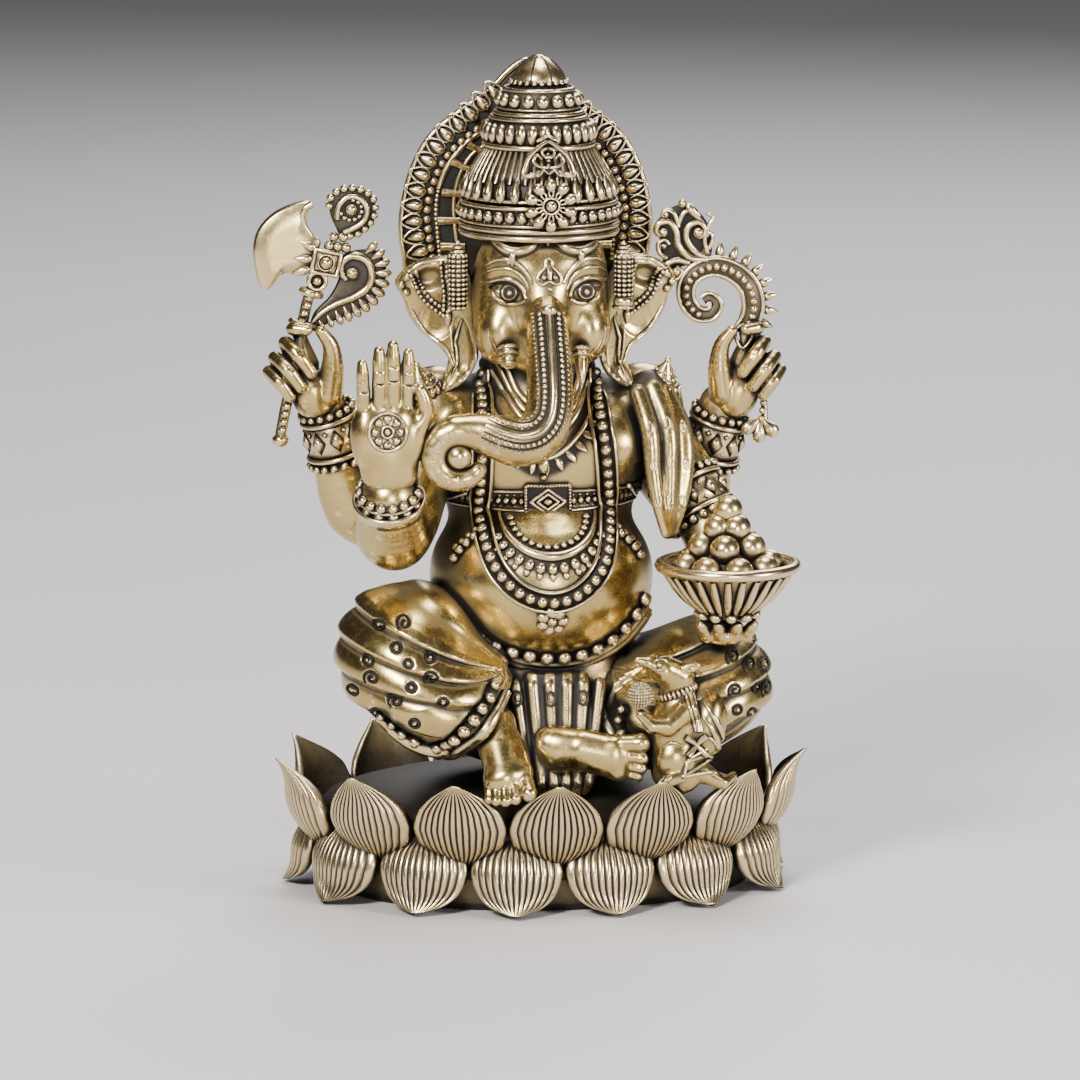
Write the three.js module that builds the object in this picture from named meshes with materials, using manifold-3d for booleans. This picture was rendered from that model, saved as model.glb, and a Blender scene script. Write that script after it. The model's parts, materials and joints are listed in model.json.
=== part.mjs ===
// A seated elephant-headed deity on a double lotus, cast in brass and finished as an antique.
// Millimetres, +Z up, the figure faces -Y, and its right hand is on the -X side.
// The origin is the middle of the flat underside.

import * as THREE from 'three';
import { mergeVertices } from 'three/addons/utils/BufferGeometryUtils.js';
import Module from 'manifold-3d';

const wasm = await Module();
wasm.setup();

// ---------------------------------------------------------------- driving dimensions

const GAP = 0.3;                      // clearance between neighbouring castings
const MERGE_TOLERANCE = 1e-4;         // corners closer than this are one corner

// Lotus base
const DRUM_HALF_WIDTH = 33;
const DRUM_HALF_DEPTH = 22.5;
const DRUM_HEIGHT = 16.7;             // from the underside to the seat
const DRUM_CROWN = 1.2;               // how far the seat falls away towards its edge
const DRUM_SHOULDER = 2;              // chamfer round the seat
const PETAL_COUNT = 13;
const COLLAR_THICKNESS = 1.6;         // ring that joins a row of petals
const UPPER_PETAL = { foot: 7.6, rise: 13.1, reach: 7.6, width: 13, thickness: 4.2 };
const LOWER_PETAL = { foot: 7.8, rise: -7, reach: 4.8, width: 12.4, thickness: 4.4 };

// Body
const HIP_RADII = [19, 15, 13];
const BELLY_RADII = [16.2, 16.5, 14.5];
const CHEST_RADII = [15.2, 11.5, 13];
const BELLY_RISE = 30;                // belly centre above the seat
const CHEST_RISE = 17;                // chest centre above the belly's
const SHOULDER_SPREAD = 15.2;
const SHOULDER_RADIUS = 6.2;
const KNEE_RADIUS = 10.3;

// Head
const HEAD_RADII = [10.5, 10, 10.8];
const HEAD_RISE = 24;                 // head centre above the chest's
const TRUNK_ROOT_RADIUS = 4.3;
const TRUNK_TIP_RADIUS = 1;
const EAR_WIDTH = 11.6;
const EAR_HEIGHT = 21;
const EAR_THICKNESS = 3.4;

// Crown and halo
const CROWN_RADIUS = 12;
const CROWN_TIERS = [
  // name, height, radius as a share of the crown's at its foot and at its top
  ['crown_band', 4.4, 1, 0.98],
  ['crown_petal_row', 5, 0.96, 0.9],
  ['crown_dome', 4, 0.9, 0.7],
  ['crown_bead_tier', 2.9, 0.7, 0.66],
  ['crown_top_tier', 4.2, 0.54, 0.48],
  ['crown_finial', 3.1, 0.3, 0.06],
];
const HALO_HALF_WIDTH = 18.6;
const HALO_HEIGHT = 30;
const HALO_THICKNESS = 2.2;

// Arms, hands and what they hold
const ARM_RADIUS = 5.2;
const WRIST_RADIUS = 3.6;
const BRACELET_RADIUS = 5.4;
const BRACELET_LENGTH = 6.4;
const FIST_RADII = [4.2, 4.4, 5.2];
const PALM_RADII = [5.1, 2.6, 6.6];
const FINGER_RADIUS = 1.25;
const FINGER_LENGTH = 7.4;
const STAFF_RADIUS = 1.15;            // handles of the axe and the goad
const BLADE_THICKNESS = 1.5;
const HOOK_RADIUS = 1.9;
const BOWL_RADIUS = 10.7;
const BOWL_HEIGHT = 8.3;
const BOWL_WALL = 1.2;
const SWEET_RADIUS = 2.1;

// Jewellery
const BEAD_BAND_RADIUS = 1.3;
const BUCKLE_SIZE = [6.4, 1.8, 5];

// Mouse
const MOUSE_BODY_RADII = [4.4, 4.6, 7];

// ---------------------------------------------------------------- solids from three.js shapes

/** A closed three.js geometry as a solid that can be joined and cut. */
function solid(geometry) {
  const shape = geometry.clone();
  shape.deleteAttribute('normal');
  shape.deleteAttribute('uv');
  const merged = mergeVertices(shape, MERGE_TOLERANCE);
  const corners = merged.attributes.position;
  const [a, b, c] = [new THREE.Vector3(), new THREE.Vector3(), new THREE.Vector3()];
  const triangles = [];
  let volume = 0;
  for (let i = 0; i < merged.index.count; i += 3) {
    const face = [0, 1, 2].map((k) => merged.index.getX(i + k));
    if (new Set(face).size < 3) continue;          // a lathe's sliver on its axis
    triangles.push(face);
    a.fromBufferAttribute(corners, face[0]);
    b.fromBufferAttribute(corners, face[1]);
    c.fromBufferAttribute(corners, face[2]);
    volume += a.dot(b.cross(c));
  }
  const outward = volume > 0 ? triangles : triangles.map((face) => face.reverse());
  return new wasm.Manifold(new wasm.Mesh({
    numProp: 3,
    vertProperties: Float32Array.from(corners.array),
    triVerts: Uint32Array.from(outward.flat()),
  }));
}

const point = ([x, y, z]) => new THREE.Vector3(x, y, z);
const shifted = (from, by) => from.map((value, axis) => value + by[axis]);
const mirrored = ([x, y, z], side) => [x * side, y, z];
const degrees = THREE.MathUtils.degToRad;

// Each maker below returns a function of `grow`, which moves the shape's skin outwards.
// With grow at 0 it is the shape itself, and with grow at GAP it is the room that it needs.

/** An ellipsoid, turned about X, Y and Z by the angles of `turn` in degrees. */
function ball(at, radii, turn = [0, 0, 0], sides = 12) {
  const [rx, ry, rz] = Array.isArray(radii) ? radii : [radii, radii, radii];
  return (grow) => {
    const shape = new THREE.SphereGeometry(1, sides, Math.ceil(sides / 2) + 1);
    shape.rotateX(Math.PI / 2);
    shape.scale(rx + grow, ry + grow, rz + grow);
    shape.rotateX(degrees(turn[0]));
    shape.rotateY(degrees(turn[1]));
    shape.rotateZ(degrees(turn[2]));
    shape.translate(...at);
    return solid(shape);
  };
}

/** Turns a shape drawn along +Y so that it runs from one point towards another. */
function alongLine(shape, from, to) {
  const direction = point(to).sub(point(from)).normalize();
  const turn = new THREE.Quaternion().setFromUnitVectors(new THREE.Vector3(0, 1, 0), direction);
  shape.applyQuaternion(turn);
  shape.translate(...from);
  return shape;
}

/** A rod between two points, as thick at each end as its radii, with `capSteps` rings on its ends. */
function rod(from, to, fromRadius, toRadius = fromRadius, sides = 8, capSteps = 1) {
  const length = point(to).distanceTo(point(from));
  return (grow) => {
    const [r0, r1] = [fromRadius + grow, toRadius + grow];
    const profile = [];
    for (let k = 0; k <= capSteps; k += 1) {
      const angle = (Math.PI / 2) * (k / capSteps);
      profile.push(new THREE.Vector2(r0 * Math.sin(angle), -r0 * Math.cos(angle)));
    }
    for (let k = capSteps; k >= 0; k -= 1) {
      const angle = (Math.PI / 2) * (k / capSteps);
      profile.push(new THREE.Vector2(r1 * Math.sin(angle), length + r1 * Math.cos(angle)));
    }
    profile[0].x = 0;
    profile[profile.length - 1].x = 0;
    return solid(alongLine(new THREE.LatheGeometry(profile, sides), from, to));
  };
}

/** Rods joined end to end through the points, one radius for each point. */
function chain(points, radii, sides = 8, capSteps = 1) {
  return points.slice(1).map((to, k) => rod(points[k], to, radii[k], radii[k + 1], sides, capSteps));
}

/** A flat-ended round between two points, with a radius at each end. */
function drumlet(from, to, fromRadius, toRadius = fromRadius, sides = 20) {
  const length = point(to).distanceTo(point(from));
  return (grow) => {
    const profile = [
      new THREE.Vector2(0, -grow),
      new THREE.Vector2(fromRadius + grow, -grow),
      new THREE.Vector2(toRadius + grow, length + grow),
      new THREE.Vector2(0, length + grow),
    ];
    return solid(alongLine(new THREE.LatheGeometry(profile, sides), from, to));
  };
}

/** A block of the given size, turned about Y by an angle in degrees. */
function block(at, size, turnY = 0) {
  return (grow) => {
    const shape = new THREE.BoxGeometry(...size.map((side) => side + 2 * grow));
    shape.rotateY(degrees(turnY));
    shape.translate(...at);
    return solid(shape);
  };
}

/** A tube of round section along a smooth curve through the points. */
function tube(points, radius, steps = 20, sides = 6) {
  const path = new THREE.CatmullRomCurve3(points.map(point));
  return (grow) => {
    const section = new THREE.Shape();
    for (let k = 0; k < sides; k += 1) {
      const angle = (2 * Math.PI * k) / sides;
      const x = (radius + grow) * Math.cos(angle);
      const y = (radius + grow) * Math.sin(angle);
      if (k === 0) section.moveTo(x, y);
      else section.lineTo(x, y);
    }
    return solid(new THREE.ExtrudeGeometry(section, { steps, extrudePath: path }));
  };
}

/** A flat plate whose outline is drawn in X and Z, with its middle at the given Y. */
function plate(outline, y, thickness) {
  return (grow) => {
    const shape = new THREE.ExtrudeGeometry(outline, {
      depth: thickness + 2 * grow, bevelEnabled: false, curveSegments: 6,
    });
    shape.translate(0, 0, -thickness / 2 - grow);
    shape.rotateX(Math.PI / 2);
    shape.translate(0, y, 0);
    return solid(shape);
  };
}

/** A round turned about the Z axis, then made oval by the two scales. */
function ovalTurned(profile, scaleX, scaleY, sides = 36) {
  const shape = new THREE.LatheGeometry(profile.map(([r, z]) => new THREE.Vector2(r, z)), sides);
  shape.rotateX(Math.PI / 2);
  shape.scale(scaleX, scaleY, 1);
  return solid(shape);
}

/** A pointed leaf from its foot to its tip: `width` across, `thickness` through the middle. */
function leaf(foot, tip, width, thickness, sides = 6) {
  const bulge = [0, 0.8, 1, 0.6, 0];
  return (grow) => {
    const along = point(tip).sub(point(foot));
    const length = along.length();
    const profile = bulge.map((share, k) => {
      const height = (length + 2 * grow) * (k / (bulge.length - 1)) - grow;
      return new THREE.Vector2(share, height);
    });
    const shape = new THREE.LatheGeometry(profile, sides);
    shape.scale(width / 2 + grow, 1, thickness / 2 + grow);
    const up = along.clone().normalize();
    const across = new THREE.Vector3(0, 0, 1).cross(up);
    if (across.length() < MERGE_TOLERANCE) across.set(1, 0, 0);      // an upright leaf faces the front
    across.normalize();
    const through = across.clone().cross(up);
    shape.applyMatrix4(new THREE.Matrix4().makeBasis(across, up, through));
    shape.translate(...foot);
    return solid(shape);
  };
}

// ---------------------------------------------------------------- pieces

const group = new THREE.Group();
const placed = [];                    // what each casting made so far keeps clear

const BRASS = { color: 0xc8a86a, roughness: 0.34, metalness: 1 };
const WORN_BRASS = { color: 0xd9bf85, roughness: 0.26, metalness: 1 };
const DARK_BRASS = { color: 0x8f7446, roughness: 0.46, metalness: 1 };

/** True where the boxes of two solids meet. */
function boxesMeet(first, second) {
  const [a, b] = [first.boundingBox(), second.boundingBox()];
  return [0, 1, 2].every((k) => a.min[k] <= b.max[k] && b.min[k] <= a.max[k]);
}

/** Adds a casting. It gives way, by GAP, to every casting that was added before it. */
function casting(name, makers, finish) {
  const shape = makers.flat().map((make) => make(0)).reduce((all, one) => all.add(one));
  let cut = shape;
  for (const neighbour of placed) {
    if (boxesMeet(cut, neighbour)) cut = cut.subtract(neighbour);
  }
  placed.push(...makers.flat().map((make) => make(GAP)));
  const { vertProperties, triVerts } = cut.getMesh();
  const geometry = new THREE.BufferGeometry();
  geometry.setAttribute('position', new THREE.BufferAttribute(vertProperties, 3));
  geometry.setIndex(new THREE.BufferAttribute(triVerts, 1));
  geometry.computeVertexNormals();
  const mesh = new THREE.Mesh(geometry, new THREE.MeshStandardMaterial(finish));
  mesh.name = name;
  group.add(mesh);
}

// ---------------------------------------------------------------- lotus base

const SEAT = DRUM_HEIGHT;

/** The oval drum: flat underneath, with a slightly crowned seat. */
function makeDrum() {
  const drum = (grow) => ovalTurned([
    [0, -grow], [DRUM_HALF_WIDTH + grow, -grow],
    [DRUM_HALF_WIDTH + grow, SEAT - DRUM_CROWN - DRUM_SHOULDER + grow],
    [DRUM_HALF_WIDTH - DRUM_SHOULDER + grow, SEAT - DRUM_CROWN + grow],
    [DRUM_HALF_WIDTH * 0.6, SEAT - DRUM_CROWN * 0.3 + grow], [0, SEAT + grow],
  ], 1, (DRUM_HALF_DEPTH + grow) / (DRUM_HALF_WIDTH + grow));
  casting('base_drum', [drum], BRASS);
}

/** One row of petals round the drum, joined by a collar. `turn` is in petals. */
function makePetalRow(name, petal, turn, finish) {
  const collarInner = DRUM_HALF_WIDTH + GAP;
  const collarOuter = collarInner + COLLAR_THICKNESS;
  const collarShare = (DRUM_HALF_DEPTH + GAP + COLLAR_THICKNESS) / collarOuter;
  const collarMiddle = petal.foot + petal.rise * 0.2;
  const collar = (grow) => ovalTurned([
    [collarInner - grow, collarMiddle - 1.5 - grow], [collarOuter + grow, collarMiddle - 1.5 - grow],
    [collarOuter + grow, collarMiddle + 1.5 + grow], [collarInner - grow, collarMiddle + 1.5 + grow],
    [collarInner - grow, collarMiddle - 1.5 - grow],
  ], 1, collarShare);
  const petals = [];
  for (let k = 0; k < PETAL_COUNT; k += 1) {
    const angle = -Math.PI / 2 + (2 * Math.PI * (k + turn)) / PETAL_COUNT;
    const [cos, sin] = [Math.cos(angle), Math.sin(angle)];
    const around = (spread, z) => [
      (DRUM_HALF_WIDTH + spread) * cos, (DRUM_HALF_DEPTH + spread) * sin, z,
    ];
    const foot = around(petal.thickness * 0.25, petal.foot);
    const tip = around(petal.thickness * 0.25 + petal.reach, petal.foot + petal.rise);
    petals.push(leaf(foot, tip, petal.width, petal.thickness));
  }
  casting(name, [collar, ...petals], finish);
}

makeDrum();
makePetalRow('lotus_upper_petals', UPPER_PETAL, 0, BRASS);
makePetalRow('lotus_lower_petals', LOWER_PETAL, 0.5, BRASS);

// ---------------------------------------------------------------- body

const hips = [0, 0, SEAT + HIP_RADII[2]];
const belly = [0, -3, SEAT + BELLY_RISE];
const chest = [0, -1, belly[2] + CHEST_RISE];
const shoulder = [SHOULDER_SPREAD, 0, chest[2] + 7];
const head = [-0.4, -4.5, chest[2] + HEAD_RISE];

/** A point on the belly and chest: `side` and `up` are shares of the belly's radii. */
function onBelly(side, up, lift = 0) {
  const front = Math.sqrt(Math.max(0, 1 - side * side - up * up));
  return [
    belly[0] + side * (BELLY_RADII[0] + lift),
    belly[1] - front * (BELLY_RADII[1] + lift),
    belly[2] + up * (BELLY_RADII[2] + lift),
  ];
}

/** A point on the front of the chest, from shares of the chest's radii. */
function onChest(side, up, lift = 0) {
  const front = Math.sqrt(Math.max(0, 1 - side * side - up * up));
  return [
    chest[0] + side * (CHEST_RADII[0] + lift),
    chest[1] - front * (CHEST_RADII[1] + lift),
    chest[2] + up * (CHEST_RADII[2] + lift),
  ];
}

function makeTorso() {
  const neck = rod(shifted(chest, [0, 0, 6]), shifted(head, [0, 1.5, -6]), 8, 7.5, 10);
  casting('torso', [
    ball(hips, HIP_RADII),
    ball(belly, BELLY_RADII, [0, 0, 0], 14),
    ball(chest, CHEST_RADII),
    ball(mirrored(shoulder, -1), SHOULDER_RADIUS, [0, 0, 0], 10),
    ball(shoulder, SHOULDER_RADIUS, [0, 0, 0], 10),
    neck,
  ], BRASS);
}

/** The legs in their wrapped cloth, the feet, and the pleats that fall between them. */
function makeLegs() {
  const thighRadius = KNEE_RADIUS;
  const rightKnee = shifted(hips, [-20.5, -11, 7.8]);
  const rightHem = shifted(hips, [-13.8, -18, 0]);
  casting('dhoti_right_leg', chain(
    [shifted(hips, [-9, -1, 1]), rightKnee, rightHem],
    [thighRadius, KNEE_RADIUS, KNEE_RADIUS * 0.72], 10, 2,
  ), BRASS);
  const leftKnee = shifted(hips, [24.2, -9, 3]);
  const leftHem = shifted(hips, [13.5, -16, -4.5]);
  casting('dhoti_left_leg', chain(
    [shifted(hips, [9, -1, -1]), leftKnee, leftHem],
    [thighRadius * 0.95, KNEE_RADIUS * 0.9, KNEE_RADIUS * 0.62], 10, 2,
  ), BRASS);
  casting('right_foot', footForm(
    [shifted(rightHem, [5.4, -1.5, -3.5]), [rightHem[0] + 6.2, -22.4, SEAT + 4.4],
      [rightHem[0] + 7.2, -25, SEAT + 2.6]], [1, -0.25],
  ), WORN_BRASS);
  casting('left_foot', footForm(
    [shifted(hips, [1.4, -20, -5.5]), shifted(hips, [6.8, -21, -7.2]),
      shifted(hips, [10.6, -21.6, -7.8])], [0.1, -1],
  ), WORN_BRASS);
  const pleats = [-2, -1, 0, 1, 2].map((k) => rod(
    shifted(hips, [k * 2.2 + 0.8, -15.5 + Math.abs(k) * 0.5, 1.2]),
    [k * 2.9 + 1.2, -19 + Math.abs(k) * 0.8, SEAT + 2.6], 1.8, 2.1, 6,
  ));
  casting('dhoti_front_pleats', pleats, DARK_BRASS);
}

/** A foot from heel to ball of the foot, with five toes fanned across `spread` in X and Z. */
function footForm([ankle, instep, ballOfFoot], [spreadX, spreadZ]) {
  const heading = point(ballOfFoot).sub(point(instep)).normalize();
  const toes = [-2, -1, 0, 1, 2].map((k) => {
    const across = [spreadX * k * 1.05, 0, spreadZ * k * 1.05];
    const root = shifted(ballOfFoot, across);
    const tip = shifted(root, heading.clone().multiplyScalar(2.2).toArray());
    return rod(root, tip, 0.95, 0.8, 6);
  });
  return [...chain([ankle, instep, ballOfFoot], [3, 2.7, 2.1]), ...toes];
}

makeTorso();
makeLegs();

// ---------------------------------------------------------------- head

function makeHead() {
  const cheek = (side) => ball(shifted(head, [side * 5, -4.4, -5.4]), [5, 4.6, 5.6], [0, 0, 0], 10);
  const brow = (side) => ball(shifted(head, [side * 4.6, -3.2, 4]), [5.4, 5.6, 5], [0, 0, 0], 10);
  casting('head', [
    ball(head, HEAD_RADII), cheek(-1), cheek(1), brow(-1), brow(1),
  ], WORN_BRASS);
}

/** The trunk hangs in front of the chest, bends to the right and curls round a sweet. */
function makeTrunk() {
  const fall = [
    [-0.2, -8.5, 1.6], [-0.5, -14, -3.7], [-0.4, -17, -9.3], [-0.5, -19, -14.4],
    [-2.2, -20, -17.8], [-6.3, -20, -18.6], [-10, -20, -16.9],
  ];
  const curlCentre = [-13.6, -20, -20.2];
  const curlRadius = 3.7;
  const curl = [];
  for (let k = 0; k <= 6; k += 1) {
    const angle = degrees(80 + k * 43);
    const radius = curlRadius * (1 - 0.035 * k);
    curl.push(shifted(curlCentre, [radius * Math.cos(angle), 0, radius * Math.sin(angle)]));
  }
  const route = [...fall, ...curl];
  const radii = route.map((_, k) => THREE.MathUtils.lerp(
    TRUNK_ROOT_RADIUS, TRUNK_TIP_RADIUS, Math.pow(k / (route.length - 1), 1.15),
  ));
  casting('trunk', chain(route.map((p) => shifted(head, p)), radii), WORN_BRASS);
  casting('trunk_sweet', [ball(shifted(head, shifted(curlCentre, [0, -0.5, 0])), 1.5, [0, 0, 0], 8)],
    WORN_BRASS);
}

function makeEars() {
  for (const [name, side] of [['right_ear', -1], ['left_ear', 1]]) {
    const middle = shifted(head, [side * (HEAD_RADII[0] + EAR_WIDTH * 0.36), 3, -2.6]);
    const lobe = shifted(head, [side * (HEAD_RADII[0] + 2.4), -1.4, -11]);
    casting(name, [
      ball(middle, [EAR_WIDTH / 2, EAR_THICKNESS / 2, EAR_HEIGHT * 0.42], [0, 0, side * 14]),
      leaf(shifted(middle, [0, 0, -2]), shifted(lobe, [-side * 0.4, 0, -2.6]), EAR_WIDTH * 0.6, EAR_THICKNESS),
      leaf(middle, shifted(middle, [side * 6.4, 0, 6]), EAR_WIDTH * 0.5, EAR_THICKNESS * 0.8),
    ], WORN_BRASS);
  }
}

/** The right tusk is a broken stub, and the left one is whole. */
function makeTusks() {
  const root = (side) => shifted(head, [side * 4.5, -7.5, -6]);
  casting('right_tusk', [rod(root(-1), shifted(root(-1), [-0.6, -5, -2.4]), 1.6, 1.35, 8)], WORN_BRASS);
  casting('left_tusk', [rod(root(1), shifted(root(1), [0.6, -6, -5]), 1.6, 0.9, 8)], WORN_BRASS);
}

/** Strings of beads that hang from the crown in front of each ear. */
function makeTassels() {
  for (const [name, side] of [['right_ear_tassel', -1], ['left_ear_tassel', 1]]) {
    const top = shifted(head, [side * (HEAD_RADII[0] + 1.3), -4, HEAD_RADII[2] - 2.2]);
    casting(name, [rod(top, shifted(top, [side * 0.5, -0.6, -11]), 1.1, 1.5, 8)], BRASS);
  }
}

makeHead();
makeTrunk();
makeEars();
makeTusks();

// ---------------------------------------------------------------- crown and halo

function makeCrown() {
  let foot = head[2] + HEAD_RADII[2] - 1.2;
  const axis = [head[0], head[1] + 1.5];
  for (const [name, height, footShare, topShare] of CROWN_TIERS) {
    const top = foot + height;
    casting(name, [drumlet([...axis, foot], [...axis, top],
      CROWN_RADIUS * footShare, CROWN_RADIUS * topShare)], BRASS);
    if (name === 'crown_petal_row') {
      const front = [axis[0], axis[1] - CROWN_RADIUS, foot];
      casting('crown_flower', [drumlet(front, shifted(front, [0, -2, 0]), 3.2, 2.8, 12)], WORN_BRASS);
      const crest = [axis[0], axis[1] - CROWN_RADIUS * 0.93, foot + height];
      casting('crown_crest', [ball(crest, [3.6, 1.8, 3.4], [12, 0, 0], 10)], BRASS);
    }
    foot = top + GAP;
  }
}

/** The pointed arch behind the head, held by a boss at the back of the skull. */
function makeHalo() {
  const middle = [head[0] - 0.6, head[2] + 12];
  const foot = middle[1] - HALO_HEIGHT * 0.36;
  const top = foot + HALO_HEIGHT;
  const halfFoot = HALO_HALF_WIDTH * 0.93;
  const outline = new THREE.Shape();
  const haunch = foot + HALO_HEIGHT * 0.72;
  outline.moveTo(middle[0] - halfFoot, foot);
  outline.quadraticCurveTo(middle[0] - HALO_HALF_WIDTH * 1.1, foot + HALO_HEIGHT * 0.42,
    middle[0] - HALO_HALF_WIDTH * 0.72, haunch);
  outline.quadraticCurveTo(middle[0] - HALO_HALF_WIDTH * 0.38, top - 2.6, middle[0], top);
  outline.quadraticCurveTo(middle[0] + HALO_HALF_WIDTH * 0.38, top - 2.6,
    middle[0] + HALO_HALF_WIDTH * 0.72, haunch);
  outline.quadraticCurveTo(middle[0] + HALO_HALF_WIDTH * 1.1, foot + HALO_HEIGHT * 0.42,
    middle[0] + halfFoot, foot);
  outline.closePath();
  const back = head[1] + 1.5 + CROWN_RADIUS + GAP + HALO_THICKNESS / 2;
  const boss = rod([head[0], head[1] + HEAD_RADII[1] - 2, head[2] + 4], [head[0], back - HALO_THICKNESS, head[2] + 4], 4, 2.4);
  casting('halo', [plate(outline, back, HALO_THICKNESS), boss], BRASS);
}

makeCrown();
makeTassels();
makeHalo();

// ---------------------------------------------------------------- arms and what they hold

/** A bracelet: a short drum round the wrist end of a forearm, which bores it through. */
function bracelet(elbow, wrist, radius) {
  const direction = point(wrist).sub(point(elbow)).normalize();
  const end = point(wrist).addScaledVector(direction, 1.4);
  const start = end.clone().addScaledVector(direction, -BRACELET_LENGTH);
  return drumlet(start.toArray(), end.toArray(), radius, radius, 12);
}

/** A closed fist with its fingers wrapped round a staff. */
function fistForm(at, side) {
  const fingers = [-1.5, -0.5, 0.5, 1.5].map((k) => rod(
    shifted(at, [side * 3.4, -2.6, k * 2.3]), shifted(at, [-side * 0.6, -4.4, k * 2.3 - 0.6]), 1.25, 1.1, 6,
  ));
  const thumb = rod(shifted(at, [-side * 3, -1, -2]), shifted(at, [-side * 1.8, -3.4, 5.4]), 1.7, 1.1, 6);
  return [ball(at, FIST_RADII, [0, 0, 0], 10), ...fingers, thumb];
}

/** The front right arm, raised with its open palm to the front. */
function makeBlessingArm() {
  const start = shifted(shoulder, [-2 * shoulder[0] + 0.4, -3, -3]);
  const elbow = shifted(mirrored(shoulder, -1), [-6.9, -14.5, -17.5]);
  const wrist = shifted(mirrored(shoulder, -1), [-8.5, -22.5, -9.6]);
  const palm = shifted(wrist, [0, -2.6, PALM_RADII[2] + 2.4]);
  casting('front_right_arm', chain([start, elbow, wrist], [ARM_RADIUS, ARM_RADIUS, WRIST_RADIUS], 10, 2),
    WORN_BRASS);
  const fingers = [-1.5, -0.5, 0.5, 1.5].map((k) => {
    const root = shifted(palm, [k * 2.45, -0.4, PALM_RADII[2] * 0.55]);
    const length = FINGER_LENGTH + 1.4 - Math.abs(k - 0.3) * 1.3;
    return rod(root, shifted(root, [k * 0.25, 0.6, length]), FINGER_RADIUS, FINGER_RADIUS * 0.85, 6);
  });
  const thumb = rod(shifted(palm, [3.6, -0.8, -2.4]), shifted(palm, [5.3, -1.6, 3.6]), 1.7, 1.2, 6);
  const rosette = drumlet(shifted(palm, [0, -PALM_RADII[1] + 0.5, 0]), shifted(palm, [0, -PALM_RADII[1] - 0.6, 0]), 3, 2.6, 12);
  casting('blessing_hand', [ball(palm, PALM_RADII, [-6, 0, 0]), ...fingers, thumb, rosette,
    rod(shifted(palm, [0, 1, -PALM_RADII[2] + 1]), shifted(wrist, [0, -0.4, 2.6]), 3.4, 3, 10)], WORN_BRASS);
  casting('front_right_bracelet', [bracelet(elbow, wrist, WRIST_RADIUS + 2)], BRASS);
}

/** The front left arm, under the bowl of sweets. */
function makeBowlArm() {
  const start = shifted(shoulder, [0.2, -3, -3]);
  const elbow = shifted(shoulder, [8.6, -8, -19]);
  const wrist = shifted(shoulder, [9.2, -14.6, -28.4]);
  const hand = shifted(wrist, [0.6, -4.5, -2.6]);
  casting('front_left_arm', chain([start, elbow, wrist], [ARM_RADIUS, ARM_RADIUS, WRIST_RADIUS], 10, 2),
    WORN_BRASS);
  casting('bowl_hand', [ball(hand, [5, 5.4, 2.6]),
    rod(shifted(hand, [0, 1.5, 0]), shifted(wrist, [0, -2, -1]), 2.4, 3, 8)], WORN_BRASS);
  makeBowl(shifted(hand, [0.2, -1, 2.6 + GAP]));
}

/** A fluted bowl on a small foot, heaped with round sweets. */
function makeBowl(foot) {
  const footRadius = BOWL_RADIUS * 0.4;
  const rim = foot[2] + BOWL_HEIGHT;
  const wallOf = (grow) => {
    const shape = new THREE.LatheGeometry([
      [0, -grow], [footRadius + grow, -grow], [BOWL_RADIUS * 0.86 + grow, BOWL_HEIGHT * 0.7],
      [BOWL_RADIUS + grow, BOWL_HEIGHT * 0.9], [BOWL_RADIUS + grow, BOWL_HEIGHT + grow],
      [BOWL_RADIUS - BOWL_WALL - grow, BOWL_HEIGHT + grow], [footRadius - grow, BOWL_WALL + grow],
      [0, BOWL_WALL + grow],
    ].map(([r, z]) => new THREE.Vector2(r, z)), 20);
    shape.rotateX(Math.PI / 2);
    shape.translate(...foot);
    return solid(shape);
  };
  casting('sweet_bowl', [wallOf], WORN_BRASS);
  const layer = SWEET_RADIUS * 1.5;                    // rise from one layer of sweets to the next
  const outerRow = BOWL_RADIUS - BOWL_WALL - SWEET_RADIUS * 1.45;
  const innerRow = outerRow * 0.55;
  const around = (radius) => Math.floor((2 * Math.PI * radius) / (2.6 * SWEET_RADIUS));
  const centre = (rise) => [foot[0], foot[1], rim - BOWL_HEIGHT * 0.35 + SWEET_RADIUS + rise];
  const rows = [[around(outerRow), outerRow, 0], [around(innerRow), innerRow, layer], [1, 0, 2 * layer]];
  const sweets = rows.flatMap(([count, radius, rise]) => Array.from({ length: count }, (_, k) => {
    const angle = (2 * Math.PI * (k + rise / (2 * layer))) / count;
    const offset = [radius * Math.cos(angle), radius * Math.sin(angle), 0];
    return ball(shifted(centre(rise), offset), SWEET_RADIUS, [0, 0, 0], 6);
  }));
  const heap = [
    drumlet(centre(-SWEET_RADIUS * 1.4), centre(-SWEET_RADIUS * 0.2), outerRow * 0.9, outerRow, 10),
    drumlet(centre(-SWEET_RADIUS * 0.2), centre(layer), outerRow, innerRow, 10),
    drumlet(centre(layer), centre(2 * layer), innerRow, 1, 10),
  ];
  casting('sweets', [...heap, ...sweets], WORN_BRASS);
}

/** The rear right arm, its fist round the handle of the axe. */
function makeAxeArm() {
  const start = mirrored(shifted(shoulder, [-0.4, 3, -3]), -1);
  const elbow = mirrored(shifted(shoulder, [10.4, 6, -17.6]), -1);
  const wrist = mirrored(shifted(shoulder, [15.8, 3.2, -2.2]), -1);
  const fist = shifted(wrist, [-2.4, -0.8, 6.2]);
  casting('rear_right_arm', chain([start, elbow, wrist], [ARM_RADIUS, ARM_RADIUS * 0.95, WRIST_RADIUS], 10, 2),
    WORN_BRASS);
  makeAxe(fist);
  casting('axe_hand', fistForm(fist, -1), WORN_BRASS);
  casting('rear_right_bracelet', [bracelet(elbow, wrist, BRACELET_RADIUS)], BRASS);
}

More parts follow.
